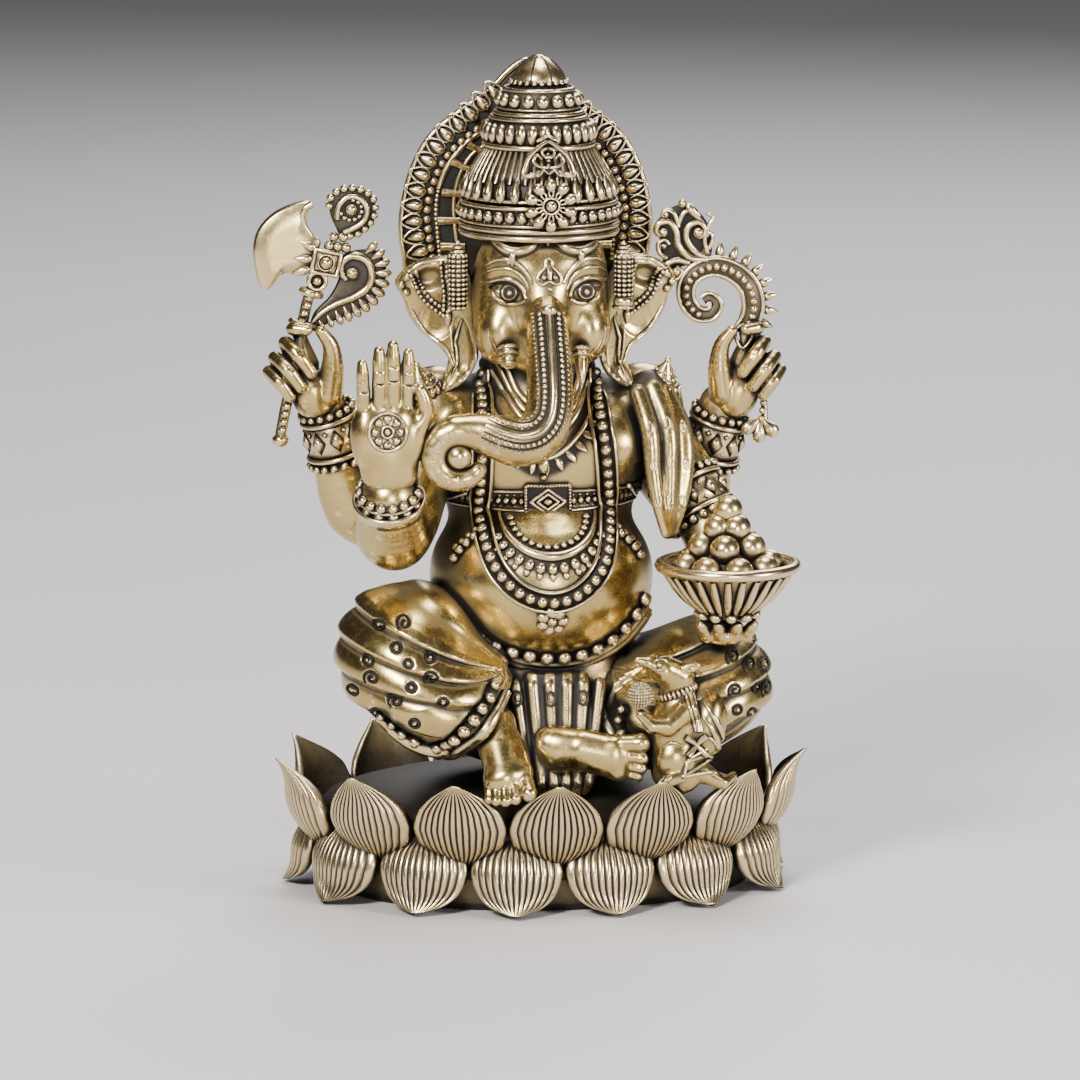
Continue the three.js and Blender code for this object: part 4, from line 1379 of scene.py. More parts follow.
@dataclass
class Lotus:
    """The domed drum with its two rows of petals."""

    count: int = 13
    upper: Petal = field(default_factory=lambda: Petal(13.9, 13.4, 2.8, 4.6, 2.4, 1.1))
    lower: Petal = field(default_factory=lambda: Petal(13.4, 10.6, 2.2, 3.4, 1.8, 0.9, pod=0.9, grooves=12))

    def drum(self) -> None:
        """Turns the drum: straight foot, rounded shoulder and a shallow dome."""
        low, high = box_mm("base_drum")
        half = (high - low) / 2
        squash = half[1] / half[0]
        rim, top = half[0], high[2]
        profile = [(rim * 0.9, 0.0), (rim * 0.93, 0.4), (rim * 0.93, 1.6), (rim * 0.955, 2.4), (rim * 0.955,
            7.0), (rim * 0.99, 8.0), (rim, 10.0), (rim * 0.985, 12.2), (rim * 0.94, 13.6), (rim * 0.86, 14.6),
            (rim * 0.74, 15.5), (rim * 0.6, 16.2), (rim * 0.4, top - 0.1), (rim * 0.1, top)]
        drum = Casting("base_drum", Brass.FIGURE)
        skin = lathe(profile, 96, squash)
        # The dome top, from 9 mm up, is painted dark as the shade under the figure.
        drum.form(skin, soot=np.clip((skin.points[:, 2] - 9) / 3, 0, 1) * 0.95)
        drum.place()

    def row(self, node: str, petal: Petal, turn: float, down: bool) -> None:
        """Sets one row of petals round the drum.

        Args:
            node: CAD node that the row stands for.
            petal: The petal.
            turn: Start of the row, in petals from the front.
            down: True hangs the petals with their tips down.
        """
        low = box_mm(node)[0]
        drum_high = box_mm("base_drum")[1]
        across, deep = drum_high[0] - 1.2, drum_high[1] - 1.2
        foot = low[2] + petal.rise - 0.3 if down else low[2] - 0.9
        path = Trail.ring((0, 0, foot), (across + 0.9, deep + 0.9), 520)
        share = round(turn * len(path.points) / self.count)
        path = Trail(np.roll(path.points, -share, 0), np.roll(path.facing, -share, 0), True)
        skin, soot = petal.skin()
        if down:
            skin = Skin(skin.points * (-1, -1, 1), skin.quads, skin.tris)
        mesh = skin.mesh("petal")
        lay_patina_and_shade(mesh, soot)
        motif = bpy.data.objects.new("petal", mesh)
        row = Casting(node, Brass.PATINA)
        row.row(path, motif, self.count)
        collar = foot + (-5.4 if down else 3.4)
        row.form(lathe([(across - 0.6, collar - 0.9), (across + 0.5, collar - 0.9), (across + 0.5,
            collar + 0.9), (across - 0.6, collar + 0.9)], 96, (deep + 0.6) / (across + 0.6)), soot=0.9)
        row.place()

    def build(self) -> None:
        """Builds the drum and both rows."""
        self.drum()
        self.row("lotus_upper_petals", self.upper, 0.0, False)
        self.row("lotus_lower_petals", self.lower, 0.5, True)


# ---------------------------------------------------------------- body

FRONT = (0.0, 1.0, 0.0)


def flat_line(rows: Sequence[tuple[float, float]], y: float, count: int = 60, closed: bool = False) -> Trail:
    """Runs a smooth line through width and height pairs at one depth.

    Args:
        rows: Pairs of x and z.
        y: The depth.
        count: Number of points.
        closed: True closes the line.

    Returns:
        The trail, facing the front.
    """
    return Trail.through([(x, y, z) for x, z in rows], (0, -1, 0), count, closed)


def oval(x: float, z: float, wide: float, tall: float, count: int = 8) -> list[tuple[float, float]]:
    """Gives x and z pairs evenly round an oval.

    Args:
        x: Its middle across.
        z: Its middle height.
        wide: Half its width.
        tall: Half its height.
        count: Number of pairs.

    Returns:
        The pairs, counter-clockwise from the right.
    """
    return [(x + wide * math.cos(t), z + tall * math.sin(t)) for t in np.linspace(0, 2 * math.pi, count,
        endpoint=False)]


def touch(tree: BVHTree, x: float, z: float, lift: float = 0.0, y: float = -30.0) -> np.ndarray:
    """Finds the place where something pushed back from the front meets a form.

    Args:
        tree: Search tree of the form.
        x: Place across.
        z: Height.
        lift: Distance that it stands off the form.
        y: Depth that the push starts from.

    Returns:
        The place.
    """
    return flat_line([(x, z), (x + 0.1, z)], y, 2).pressed(tree, FRONT, lift, 0).points[0]



@dataclass
class Torso:
    """The bare belly and chest, and the jewellery pressed onto them."""

    seat: float = 16.7
    cell: float = 0.42
    necklace: tuple[tuple[float, float], ...] = ((-8.0, 76.0), (-9.3, 70.0), (-9.5, 63.0), (-9.3, 57.0),
        (-8.8, 52.6), (-7.2, 49.0), (-4.0, 46.2), (0.0, 45.2), (3.8, 46.3), (6.9, 49.2), (8.3, 53.0), (8.8,
        58.0), (8.5, 64.0), (7.8, 70.0), (7.2, 76.0))
    skin: Skin | None = None
    tree: BVHTree | None = None

    def model(self) -> None:
        """Models the clay of hips, belly, chest, shoulders and neck."""
        low, high = box_mm("torso")
        clay = Clay(low - 1, high + 1, self.cell)
        clay.ball((0, 0.5, self.seat + 12.5), (19.0, 14.0, 12.2))
        clay.ball((0, -3, 46.4), (16.3, 16.3, 13.2), 3)
        clay.ball((0, -0.6, 63.2), (15.6, 11.4, 13.2), 3.5)
        for side in (-1, 1):
            clay.ball((side * 15.0, 0, 70.2), (6.2, 6.4, 6.6), 4)
            clay.ball((side * 8.6, -7.2, 65.6), (6.2, 5.2, 6.0), 3)
            clay.ball((side * 11.8, -12.1, 60.6), 0.55, 0.5)
        clay.rod([(0, 0, 69), (-0.3, 0.5, 77), (-0.4, -1, 86)], [9.4, 8.4, 7.6], 2.5)
        for k in range(4):
            ring = Trail.ring((-0.2, -0.6, 74.0 + k * 2.0), (9.0 - k * 0.2, 8.6 - k * 0.2), 40)
            clay.rod(np.vstack([ring.points, ring.points[:1]]), 0.38, 0.5, cut=True)
        clay.ball((0.4, -19.3, 42.0), (1.0, 1.4, 0.7), 0.5, cut=True)
        crease = Trail.ring((0, -2.4, 56.2), (15.6, 13.6), 60)
        clay.rod(np.vstack([crease.points, crease.points[:1]]), 0.5, 1.4, cut=True)
        clay.rod([(-4.5, -18.0, 38.6), (0.6, -18.9, 37.7), (5.4, -18.0, 38.8)], 0.4, 0.8, cut=True)
        self.skin = clay.skin()
        self.tree = self.skin.tree()
        body = Casting("torso", Brass.FIGURE)
        lines = [self.necklace, [(-14.4, 59.2), (14.4, 59.2)], [(-0.4 + 7.2 * math.cos(t),
            57.0 - 6.4 * math.sin(t)) for t in np.linspace(0, math.pi, 9)], [(-7.6, 71.0), (-3.4, 64.6),
            (-0.6, 63.6), (2.2, 64.8), (7.2, 71.6)], [(-11.4, 39.6), (-5.2, 36.0), (0.6, 35.0), (5.6, 35.6),
            (12.0, 40.0)]]
        drawn = np.vstack([flat_line(line, 0, 60).points[:, ::2] for line in lines])[None]
        near = np.concatenate([np.linalg.norm(part[:, None, ::2] - drawn,
            axis=2).min(1) for part in np.array_split(self.skin.points, 40)])
        x, y, z = self.skin.points.T
        # Painted shade: the neck under the head and the belly's sides under the arms; along the jewellery
        # lines the dark is patina and painted shade where the jewellery meets the body.
        neck = np.clip((z - 73.0) / 3.0, 0, 1) * (np.abs(x) < 12) * (y < 2)
        flank = np.clip((np.abs(x) - 11.5) / 4.0, 0, 1) * np.clip((z - 48) / 3, 0, 1) * (z < 64) * (y < 4)
        body.form(self.skin, soot=np.maximum.reduce([np.clip(1.9 - near, 0, 1) * (y < 0) * 0.9, neck * 0.85,
            flank * 0.8]))
        for side in (-1, 1):
            for k in range(2):
                line = flat_line([(side * (9.9 + k * 0.6), 56.2 - 2.6 * k), (side * (12.6 + k * 0.4),
                    54.2 - 2.0 * k), (side * (15.2 - k * 0.6), 53.2 - 2.2 * k)], -12)
                body.beads(line.pressed(self.tree, lift=0.35), 0.62 + 0.12 * k, 2.25)
            rail = flat_line([(side * 9.8, 54.9), (side * 12.6, 53.1), (side * 15.3, 52.2)], -12)
            body.rail(rail.pressed(self.tree, lift=0.1), 0.26)
        for k in range(3):
            drape = flat_line([(-5.6 - k * 0.8, 79 - k * 1.2), (-3.6, 73.6 - k * 1.5), (0.4, 71.4 - k * 1.6),
                (4.0, 73.4 - k * 1.5), (5.6 + k * 0.8, 79 - k)], -9)
            body.rail(drape.pressed(self.tree, FRONT, 0.12), 0.5)
        body.place()

    def long_necklace(self) -> None:
        """Lays the long necklace: two rails with a bead row on a sunk ground between."""
        line = flat_line(self.necklace, -14, 150).pressed(self.tree, FRONT, 0.35, 4)
        piece = Casting("long_necklace", Brass.JEWEL)
        piece.beads(line.shifted(lift=0.42), 0.8, 2.2)
        for side in (-1.42, 1.42):
            piece.rail(line.shifted(side, 0.2), 0.27)
        piece.rail(line.shifted(0, -0.35), 1.0, soot=1.0)
        piece.place()
        pendant = Casting("necklace_pendant", Brass.JEWEL)
        low, high = box_mm("necklace_pendant")
        middle = (low + high) / 2
        heart = flat_line([(middle[0], 43.4), (middle[0], 43.0)], -14, 3).pressed(self.tree, FRONT, 0.4)
        petals = flat_line(oval(middle[0], 42.3, 1.5, 1.5), -14, 24, True).pressed(self.tree, FRONT, 0.3)
        pendant.row(petals, Shape.BEAD, 7, (0.85, 1.0, 0.65))
        pendant.rail(flat_line(oval(middle[0], 42.3, 0.7, 0.7), -14, 20, True).pressed(self.tree, FRONT,
            0.75), 0.16)
        pendant.one(Shape.BEAD, petals.points.mean(0) - (0, 0.5, 0), 0.6)
        pendant.one(Shape.BEAD, heart.points[0], (0.8, 0.55, 0.5))
        for side in (-1, 1):
            leaf = flat_line([(middle[0] + side * 0.9, 43.2), (middle[0] + side * 2.0, 43.6)], -14, 4)
            pendant.rail(leaf.pressed(self.tree, FRONT, 0.3), 0.34, (1, 0.3))
        pendant.place()

    def buckle(self) -> None:
        """Lays the chest belt with its roped square buckle and the crescent below it."""
        low, high = box_mm("chest_buckle")
        x, z = (low[0] + high[0]) / 2, (low[2] + high[2]) / 2 + 0.6
        half_x, half_z = 3.3, 2.45
        piece = Casting("chest_buckle", Brass.JEWEL)
        plate = Clay((x - 4, low[1] - 3, z - 4), (x + 4, high[1] + 4, z + 4), 0.16)
        front = self.tree.ray_cast(Vector((x, -60, z)), Vector((0, 1, 0)))[0][1]

        def slab(px: np.ndarray, py: np.ndarray, pz: np.ndarray) -> np.ndarray:
            """Gives the distance to the buckle's plate."""
            return np.maximum(np.maximum(np.abs(px - x) - half_x, np.abs(pz - z) - half_z),
                np.abs(py - front - 0.3 - 0.035 * (px - x) ** 2) - 0.75)

        plate.work((x - half_x, front - 1, z - half_z), (x + half_x, front + 2, z + half_z), slab)
        piece.form(plate.skin(), soot=0.9)

        def corner_line(corners: Sequence[tuple[float, float]], steps: int, lift: float,
                bend: float = 0.0) -> Trail:
            """Gives a closed line through corners on the plate.

            Args:
                corners: Places across and up from the buckle's middle.
                steps: Points along each side.
                lift: Distance that it stands off the plate.
                bend: How fast the line falls back toward the plate's sides.

            Returns:
                The line.
            """
            rows = []
            for (ax, az), (bx, bz) in zip(corners, corners[1:] + corners[:1]):
                for s in np.linspace(0, 1, steps, endpoint=False):
                    px, pz = ax + (bx - ax) * s, az + (bz - az) * s
                    rows.append((x + px, front - 0.45 + bend * px ** 2 - lift, z + pz))
            return Trail(np.array(rows), np.tile((0.0, -1.0, 0.0), (len(rows), 1)), True)

        hx, hz = half_x - 0.1, half_z - 0.1
        piece.beads(corner_line([(-hx, -hz), (hx, -hz), (hx, hz), (-hx, hz)], 8, 0.1, 0.035), 0.27, 1.7)
        for size, lift, thick in ((2.5, 0.02, 0.26), (1.55, 0.1, 0.24)):
            lozenge = [(size, 0), (0, size * 0.74), (-size, 0), (0, -size * 0.74)]
            piece.rail(corner_line(lozenge, 6, lift), thick)
        piece.one(Shape.STUD, (x, front - 0.5, z), (1.1, 0.85, 0.8))
        for side in (-1, 1):
            for height in (1.4, -1.35):
                rail = flat_line([(x + side * (half_x + 0.1), z + height), (x + side * 8, z + height + 0.1),
                    (x + side * 14.6, z + height + 0.3)], -12, 40).pressed(self.tree, FRONT, 0.1)
                piece.rail(rail, 0.24)
            middle = flat_line([(x + side * (half_x + 0.4), z), (x + side * 8, z + 0.05), (x + side * 14.2,
                z + 0.3)], -12, 60).pressed(self.tree, FRONT, 0.02)
            piece.row(middle, Shape.STUD, 13, (0.75, 1.15, 0.7))
            for edge in (-0.85, 0.85):
                piece.row(middle.shifted(edge, 0.0), Shape.STUD, 14, (0.4, 0.4, 0.45))
        arc = [(x + 6.9 * math.cos(t), z - 1.6 - 5.5 * math.sin(t)) for t in np.linspace(0.02, math.pi - 0.02,
            15)]
        band = flat_line(arc, -14, 60).pressed(self.tree, FRONT, 0.1)
        piece.rail(band, 0.72, (0.4, 0.8, 1, 1.15, 1, 0.8, 0.4))
        inner = flat_line([(x + 5.4 * math.cos(t), z - 2.2 - 3.7 * math.sin(t)) for t in np.linspace(0.05,
            math.pi - 0.05, 13)], -14, 60)
        inner = inner.pressed(self.tree, FRONT, 0.25)
        piece.beads(inner, 0.55, 2.1)
        for reach, size in ((1.35, 0.72), (2.5, 0.48)):
            fringe = flat_line([(x + (6.9 + reach) * math.cos(t),
                z - 1.9 - (5.5 + reach) * math.sin(t)) for t in np.linspace(0.45, math.pi - 0.45, 13)], -14,
                60)
            fringe = fringe.pressed(self.tree, FRONT, 0.2)
            piece.row(fringe, Shape.BEAD, 13, (size, size * 1.25, size * 0.8))
        piece.place()

    def collar(self) -> None:
        """Lays the collar of leaf drops with its oval jewel."""
        piece = Casting("collar_necklace", Brass.JEWEL)
        top = [(-7.6, 71.6), (-6.2, 68.2), (-3.4, 65.6), (-0.6, 64.8), (2.2, 65.8), (5.0, 68.6), (7.2, 72.2)]
        line = flat_line(top, -13, 80).pressed(self.tree, FRONT, 0.25)
        piece.rail(line, 0.34)
        piece.row(line.shifted(-1.35, 0.05), Motif.get("leaf_drop", leaf_drop_skin), 15, (1.0, 1.2, 0.85))
        jewel = flat_line([(-0.62, 64.0), (-0.6, 64.0)], -14, 2).pressed(self.tree, FRONT, 0.5)
        piece.one(Shape.BEAD, jewel.points[0], (0.85, 1.35, 0.8))
        drop = flat_line([(-0.62, 62.2), (-0.6, 62.2)], -14, 2).pressed(self.tree, FRONT, 0.3)
        piece.one(Shape.BEAD, drop.points[0], 0.5)
        piece.place()

    def waist(self) -> None:
        """Lays the waist chain above its rolled sash."""
        piece = Casting("waist_beads", Brass.JEWEL)
        line = [(-11.4, 41.0), (-9.0, 38.9), (-5.2, 37.3), (0.6, 36.3), (5.6, 36.9), (9.4, 38.9), (12.0,
            41.4), (13.8, 44.0)]
        chain = flat_line(line, -16, 90).pressed(self.tree, FRONT, 0.55)
        piece.beads(chain, 1.05, 2.5)
        for drop, size in ((-1.75, 0.72), (-3.0, 0.95), (-4.3, 0.6)):
            piece.rail(chain.shifted(drop, -0.1), size, (0.7, 1, 1, 1, 0.8))
        piece.place()

    def build(self) -> None:
        """Builds the body and its jewellery."""
        self.model()
        self.long_necklace()
        self.buckle()
        self.collar()
        self.waist()


def leaf_drop_skin() -> Skin:
    """Makes a pointed leaf that hangs along -y, two long, with a sunk middle.

    Returns:
        The leaf.
    """
    v = np.linspace(0, 1, 6)
    half = np.array([0.16, 0.42, 0.5, 0.42, 0.24, 0.03])
    u = np.array([-1.0, -0.55, 0.0, 0.55, 1.0])
    uu, vv = np.meshgrid(u, v)
    rise = 0.42 * np.sin(math.pi * np.clip(vv * 0.86 + 0.1, 0, 1)) * (1 - uu ** 2 * 0.8)
    sunk = 0.3 * (np.abs(uu) < 0.1) * np.sin(math.pi * vv)
    outer = np.stack([uu * half[:, None], 1 - 2 * vv, rise - sunk], -1)
    inner = np.stack([uu * half[:, None], 1 - 2 * vv, np.full_like(uu, -0.25)], -1)
    return grid_shell(outer, inner)


@dataclass
class Leg:
    """A folded leg in its wrapped cloth, with engraved marks and a beaded hem."""

    node: str
    side: int
    gather: tuple[float, float]
    forms: tuple[tuple[tuple[float, float, float], tuple[float, float, float], float], ...]
    hem_at: float = 127.0
    hem: tuple[tuple[float, float], ...] = ()
    fold: float = 37.0
    depth: float = 1.0
    cell: float = 0.24
    marks: tuple[tuple[float, float, int], ...] = ()
    hem_reach: tuple[float, float] = (5.0, 24.0)

    def phase(self, x: np.ndarray, z: np.ndarray) -> tuple[np.ndarray, np.ndarray]:
        """Gives how far round the folds a place is.

        Args:
            x: Places across.
            z: Heights.

        Returns:
            The phase in degrees, growing toward the hem, and the distance from the gather.
        """
        out = (x - self.gather[0]) * self.side
        up = z - self.gather[1]
        reach = np.sqrt(out ** 2 + up ** 2)
        angle = np.degrees(np.arctan2(up, out))
        angle = np.where(angle > 130, angle - 360, angle)
        return 4.6 * reach * np.clip((30 - angle) / 50, 0, 1) - angle, reach

    def at(self, phase: float, reach: float) -> tuple[float, float]:
        """Finds the place with a given phase at a distance from the gather.

        Args:
            phase: Phase in degrees.
            reach: Distance from the gather.

        Returns:
            The x and z of the place.
        """
        angles = np.linspace(-125, 85, 240)
        found = 4.6 * reach * np.clip((30 - angles) / 50, 0, 1) - angles
        angle = math.radians(float(np.interp(phase, found[::-1], angles[::-1])))
        return (self.gather[0] + self.side * reach * math.cos(angle),
            self.gather[1] + reach * math.sin(angle))

    def folds(self, x: np.ndarray, z: np.ndarray) -> np.ndarray:
        """Gives the height of the folds at a place.

        Args:
            x: Places across.
            z: Heights.

        Returns:
            Heights in millimetres.
        """
        phase, reach = self.phase(x, z)
        t = (phase / self.fold) % 1
        rise = np.clip(t / 0.74, 0, 1)
        high = np.where(t < 0.74, rise * (1.7 - 0.7 * rise), 0.5 + 0.5 * np.cos(math.pi * (t - 0.74) / 0.26))
        trough = np.clip((phase - (self.hem_at - 21)) / 3.5, 0, 1)
        strength = np.clip(reach / 9, 0.25, 1) * np.clip((phase + 62) / 40, 0.15, 1)
        return self.depth * strength * (high * (1 - trough) + 0.05 * trough)

    def valley(self, x: np.ndarray, z: np.ndarray) -> np.ndarray:
        """Gives the patina that lies in the valleys of the folds.

        Args:
            x: Places across.
            z: Heights.

        Returns:
            Shares from 0 to 1.
        """
        phase, reach = self.phase(x, z)
        t = (phase / self.fold) % 1
        deep = np.clip(1 - np.minimum(t, np.abs(1 - t)) / 0.14, 0, 1) ** 1.3
        return deep * np.clip(reach / 8, 0, 1) * np.clip((phase + 50) / 40, 0, 1) * 0.9

    def build(self) -> None:
        """Models the cloth, engraves it and lays the hem."""
        low, high = box_mm(self.node)
        clay = Clay(low - 1, high + 1, self.cell)
        for centre, radii, blend in self.forms:
            clay.ball(centre, radii, blend)
        x = clay.axes[0][:, None, None]
        z = clay.axes[2][None, None, :]
        clay.field -= self.folds(x, z).astype(np.float32) - np.float32(self.depth * 0.62)
        phase, reach = self.phase(x, z)
        edge = (phase - self.hem_at - 2) * np.maximum(reach, 3) / (57.3 * 1.6)
        clay.field = np.maximum(clay.field, edge.astype(np.float32))
        floor_gap = (low[2] + 0.2 - z).astype(np.float32)
        clay.field = np.maximum(clay.field, floor_gap)
        rows = self.hem or [self.at(self.hem_at, reach) for reach in np.linspace(*self.hem_reach, 12)]
        line = flat_line(rows, -20, 90)
        if self.hem:
            order = np.argsort(line.points[:, 0])
            height = np.interp(x.ravel(), line.points[order, 0], line.points[order, 2])[:, None, None]
            clay.field = np.maximum(clay.field, (height - 0.3 - z).astype(np.float32))
        tree = clay.skin().tree()
        inward = line.shifted(2.0 if self.side < 0 else -2.0)
        groove = inward.pressed(tree, FRONT, 0.1, 3)
        clay.rod(groove.points[::3], 1.05, 0.3, cut=True)
        rings = self.engrave(clay)
        skin = clay.skin()
        piece = Casting(self.node, Brass.FIGURE)
        near = np.min(np.linalg.norm(skin.points[:, None, ::2] - groove.points[None, ::6, ::2], axis=2),
            axis=1)
        soot = np.maximum(self.valley(skin.points[:, 0], skin.points[:, 2]), np.clip(1.9 - near, 0, 1))
        piece.form(skin, soot=soot * (skin.points[:, 1] < 0))
        for ring in rings:
            piece.rail(ring, 0.16, soot=1.0)
        worked = skin.tree()
        for x0, z0 in (self.at(at_phase, reach) for at_phase, reach, kind in self.marks if kind == 0):
            piece.one(Shape.BEAD, touch(worked, x0, z0), 0.3)
        piece.beads(groove.shifted(0, 0.2), 0.95, 2.3, (0.6, 0.9, 1, 1, 1, 1, 0.8))
        piece.rail(line.pressed(tree, FRONT, 0.5, 3), 1.0, (0.6, 0.9, 1, 1.05, 1, 0.9, 0.7))
        piece.place()

    def engrave(self, clay: Clay) -> list[Trail]:
        """Cuts rings and spirals between the folds.

        Args:
            clay: The cloth that is being worked.

        Returns:
            The lines of patina that fill the cuts.
        """
        filled = []
        for at_phase, reach, kind in self.marks:
            x, z = self.at(at_phase, reach)
            turns = 1.0 if kind == 0 else 1.45
            sweep = np.linspace(0, 2 * math.pi * turns, int(16 * turns) + 1)
            radius = np.full(len(sweep), 0.66) if kind == 0 else np.linspace(0.24, 1.1, len(sweep))
            path = []
            for t, r in zip(sweep, radius):
                px, pz = x + r * math.cos(t + 1.2), z + r * math.sin(t + 1.2)
                path.append((px, clay.front(px, pz), pz))
            path = np.array(path)
            if np.isnan(path).any():
                continue
            filled.append(Trail.through(path[:-1] if kind == 0 else path, (0, -1, 0), 44, kind == 0))
        for ring in filled:
            clay.rod(ring.points[::2], 0.24, 0.0, cut=True)
        return filled


@dataclass
class Lap:
    """The pleats that fall between the legs, and the feet below them."""

    pleat_ridges: int = 6

    def pleats(self) -> None:
        """Models the fan of pleats with their oval marks."""
        low, high = box_mm("dhoti_front_pleats")
        clay = Clay(low - 0.5, high + 0.5, 0.22)
        clay.rod([(1.0, -13.6, high[2] - 1.4), (1.2, -16.6, low[2] + 3)], [5.2, 5.6], 0, flat=(0, 1, 0),
            share=0.42)
        rows = []
        for k in range(self.pleat_ridges):
            s = k / (self.pleat_ridges - 1) * 2 - 1
            top = (1.2 + s * 6.2, -15.4 + 1.2 * abs(s), high[2] - 0.6)
            foot = (1.0 + s * 4.4, -19.2 + 1.4 * abs(s), low[2] + 1.3)
            clay.rod([top, foot], [1.05, 0.85], 0.35)
            rows.append((np.array(top), np.array(foot)))
        skin = clay.skin()
        tree = skin.tree()
        piece = Casting("dhoti_front_pleats", Brass.PATINA)
        tops, feet = (np.array(side)[None] for side in zip(*rows))
        way = (skin.points[:, None, 2] - feet[..., 2]) / (tops - feet)[..., 2]
        away = np.abs(skin.points[:, None, 0] - feet[..., 0] - way * (tops - feet)[..., 0]).min(1)
        piece.form(skin, soot=np.clip((away - 0.42) / 0.4, 0, 1))
        for k, (top, foot) in enumerate(rows):
            share = (0.12, 0.55)[k % 2]
            x, _, z = top + (foot - top) * share
            mark = flat_line(oval(x, z, 0.62, 1.05, 10), -20, 20, True)
            piece.rail(mark.pressed(tree, FRONT, 0.06), 0.2, soot=0.8)
            piece.one(Shape.BEAD, touch(tree, x, z, 0.05, -20), (0.3, 0.6, 0.28))
        piece.place()

    def right_foot(self) -> None:
        """Models the foot that points down to the front."""
        low, high = box_mm("right_foot")
        clay = Clay(low - 0.6, high + 0.6, 0.2)
        clay.rod([(-8.3, -17.4, 27.0), (-7.9, -20.4, 24.0), (-7.3, -23.4, 20.4)], [3.1, 3.0, 2.6], 0.8)
        clay.rod([(-5.6, -23.2, 20.6), (-8.6, -23.6, 19.9)], [2.0, 1.9], 1.2)
        clay.rod([(-5.4, -19.6, 24.6), (-4.8, -23.2, 21.2)], [1.2, 1.3], 1.2)
        toes = (((-4.6, -24.2, 20.6), (-4.2, -26.2, 18.6), 1.15), ((-6.3, -25.0, 20.0), (-6.2, -26.6, 17.9),
            0.8), ((-7.6, -25.2, 19.6), (-7.6, -26.5, 17.6), 0.76), ((-8.8, -24.9, 19.3), (-8.9, -26.0, 17.6),
            0.7), ((-9.8, -24.3, 19.2), (-9.9, -25.2, 17.6), 0.62))
        for root, tip, size in toes:
            clay.rod([root, tip], [size, size * 0.95], 0.25)
            clay.ball(tip, size * 1.06, 0.2)
        self.finish_foot("right_foot", clay)

    def left_foot(self) -> None:
        """Models the foot that lies along the seat with its toes outward."""
        low, high = box_mm("left_foot")
        clay = Clay(low - 0.6, high + 0.6, 0.2)
        clay.ball((1.2, -19.4, 23.4), (3.3, 2.6, 3.3))
        clay.rod([(-0.2, -19.4, 24.4), (4.0, -20.2, 23.6), (8.6, -20.8, 22.6)], [2.6, 3.1, 3.1], 0.8, flat=(0,
            1, 0), share=0.8)
        clay.rod([(8.9, -21.2, 24.2), (9.4, -21.4, 20.6)], [1.5, 1.5], 1.0)
        toes = (((9.8, -21.6, 24.7), (12.4, -22.0, 24.7), 1.4), ((10.2, -21.8, 22.8), (12.7, -22.3, 22.5),
            0.85), ((10.2, -21.8, 21.4), (12.5, -22.2, 21.0), 0.76), ((10.0, -21.7, 20.3), (12.1, -22.0,
            19.8), 0.66))
        for root, tip, size in toes:
            clay.rod([root, tip], [size * 0.92, size], 0.2)
            clay.ball(tip, size * 1.05, 0.2)
        self.finish_foot("left_foot", clay)

    def finish_foot(self, name: str, clay: Clay) -> None:
        """Skins a foot and places it.

        Args:
            name: CAD node of the foot.
            clay: Its clay.
        """
        foot = Casting(name, Brass.WORN)
        foot.form(clay.skin())
        foot.place()

    def build(self) -> None:
        """Builds pleats, feet and legs."""
        self.pleats()
        self.right_foot()
        self.left_foot()
        Leg("dhoti_right_leg", -1, (-6.4, 35.2), hem=((-27.3, 25.2), (-24.9, 23.0), (-20.6, 21.8), (-16.2,
            22.4), (-11.4, 26.6), (-8.6, 29.8), (-7.0, 32.2)), forms=(((-9.5, -3, 32.5), (9, 10, 9.5), 0),
            ((-19.8, -10.5, 36.6), (10.9, 12.6, 10.8), 6), ((-15.2, -14.6, 30.4), (9.0, 9.6, 8.0), 5), ((-8.8,
            -14.8, 34.2), (3.6, 4.2, 3.2), 4)), marks=((-22, 17, 1), (-4, 20, 0), (4, 12, 0), (9, 17, 0), (22,
            15, 0), (30, 11.5, 1), (40, 20.5, 0), (52, 14.5, 0), (58, 20, 1), (66, 10.5, 0), (78, 17, 1), (86,
            22.5, 0), (92, 9.5, 1), (97, 15.5, 0), (103, 20, 0))).build()
        Leg("dhoti_left_leg", 1, (9.5, 33.8), (((12, -3, 29.5), (8, 10, 8), 0), ((23.2, -8.6, 31.2), (9.9,
            12.0, 9.6), 6), ((16.4, -12.6, 26.8), (8.6, 8.6, 7.2), 5)), hem_at=131.0, marks=((-6, 18, 0), (6,
            21, 1), (24, 17, 1), (30, 21.5, 0), (44, 19.5, 1), (56, 22, 0), (64, 17, 1), (74, 20.5, 0), (84,
            22.5, 1), (92, 18, 0), (104, 20.5, 0)), hem_reach=(4.5, 20.0)).build()


@dataclass
class Limb:
    """An arm of soft clay from shoulder to wrist."""

    node: str
    path: tuple[tuple[float, float, float], ...]
    radii: tuple[float, ...]
    band: "Bracelet | None" = None
    cell: float = 0.32

    def build(self) -> None:
        """Models and places the arm, with its armlet if it has one."""
        low, high = box_mm(self.node)
        clay = Clay(low - 1, high + 1, self.cell)
        steps = Trail.through(self.path, count=22)
        run = np.linspace(0, 1, len(self.path))
        radii = np.interp(np.linspace(0, 1, 22), run, self.radii)
        clay.rod(steps.points, radii, 0.6)
        arm = Casting(self.node, Brass.WORN)
        arm.form(clay.skin())
        if self.band:
            self.band.put_on(arm)
        arm.place()


# ---------------------------------------------------------------- arms and hands

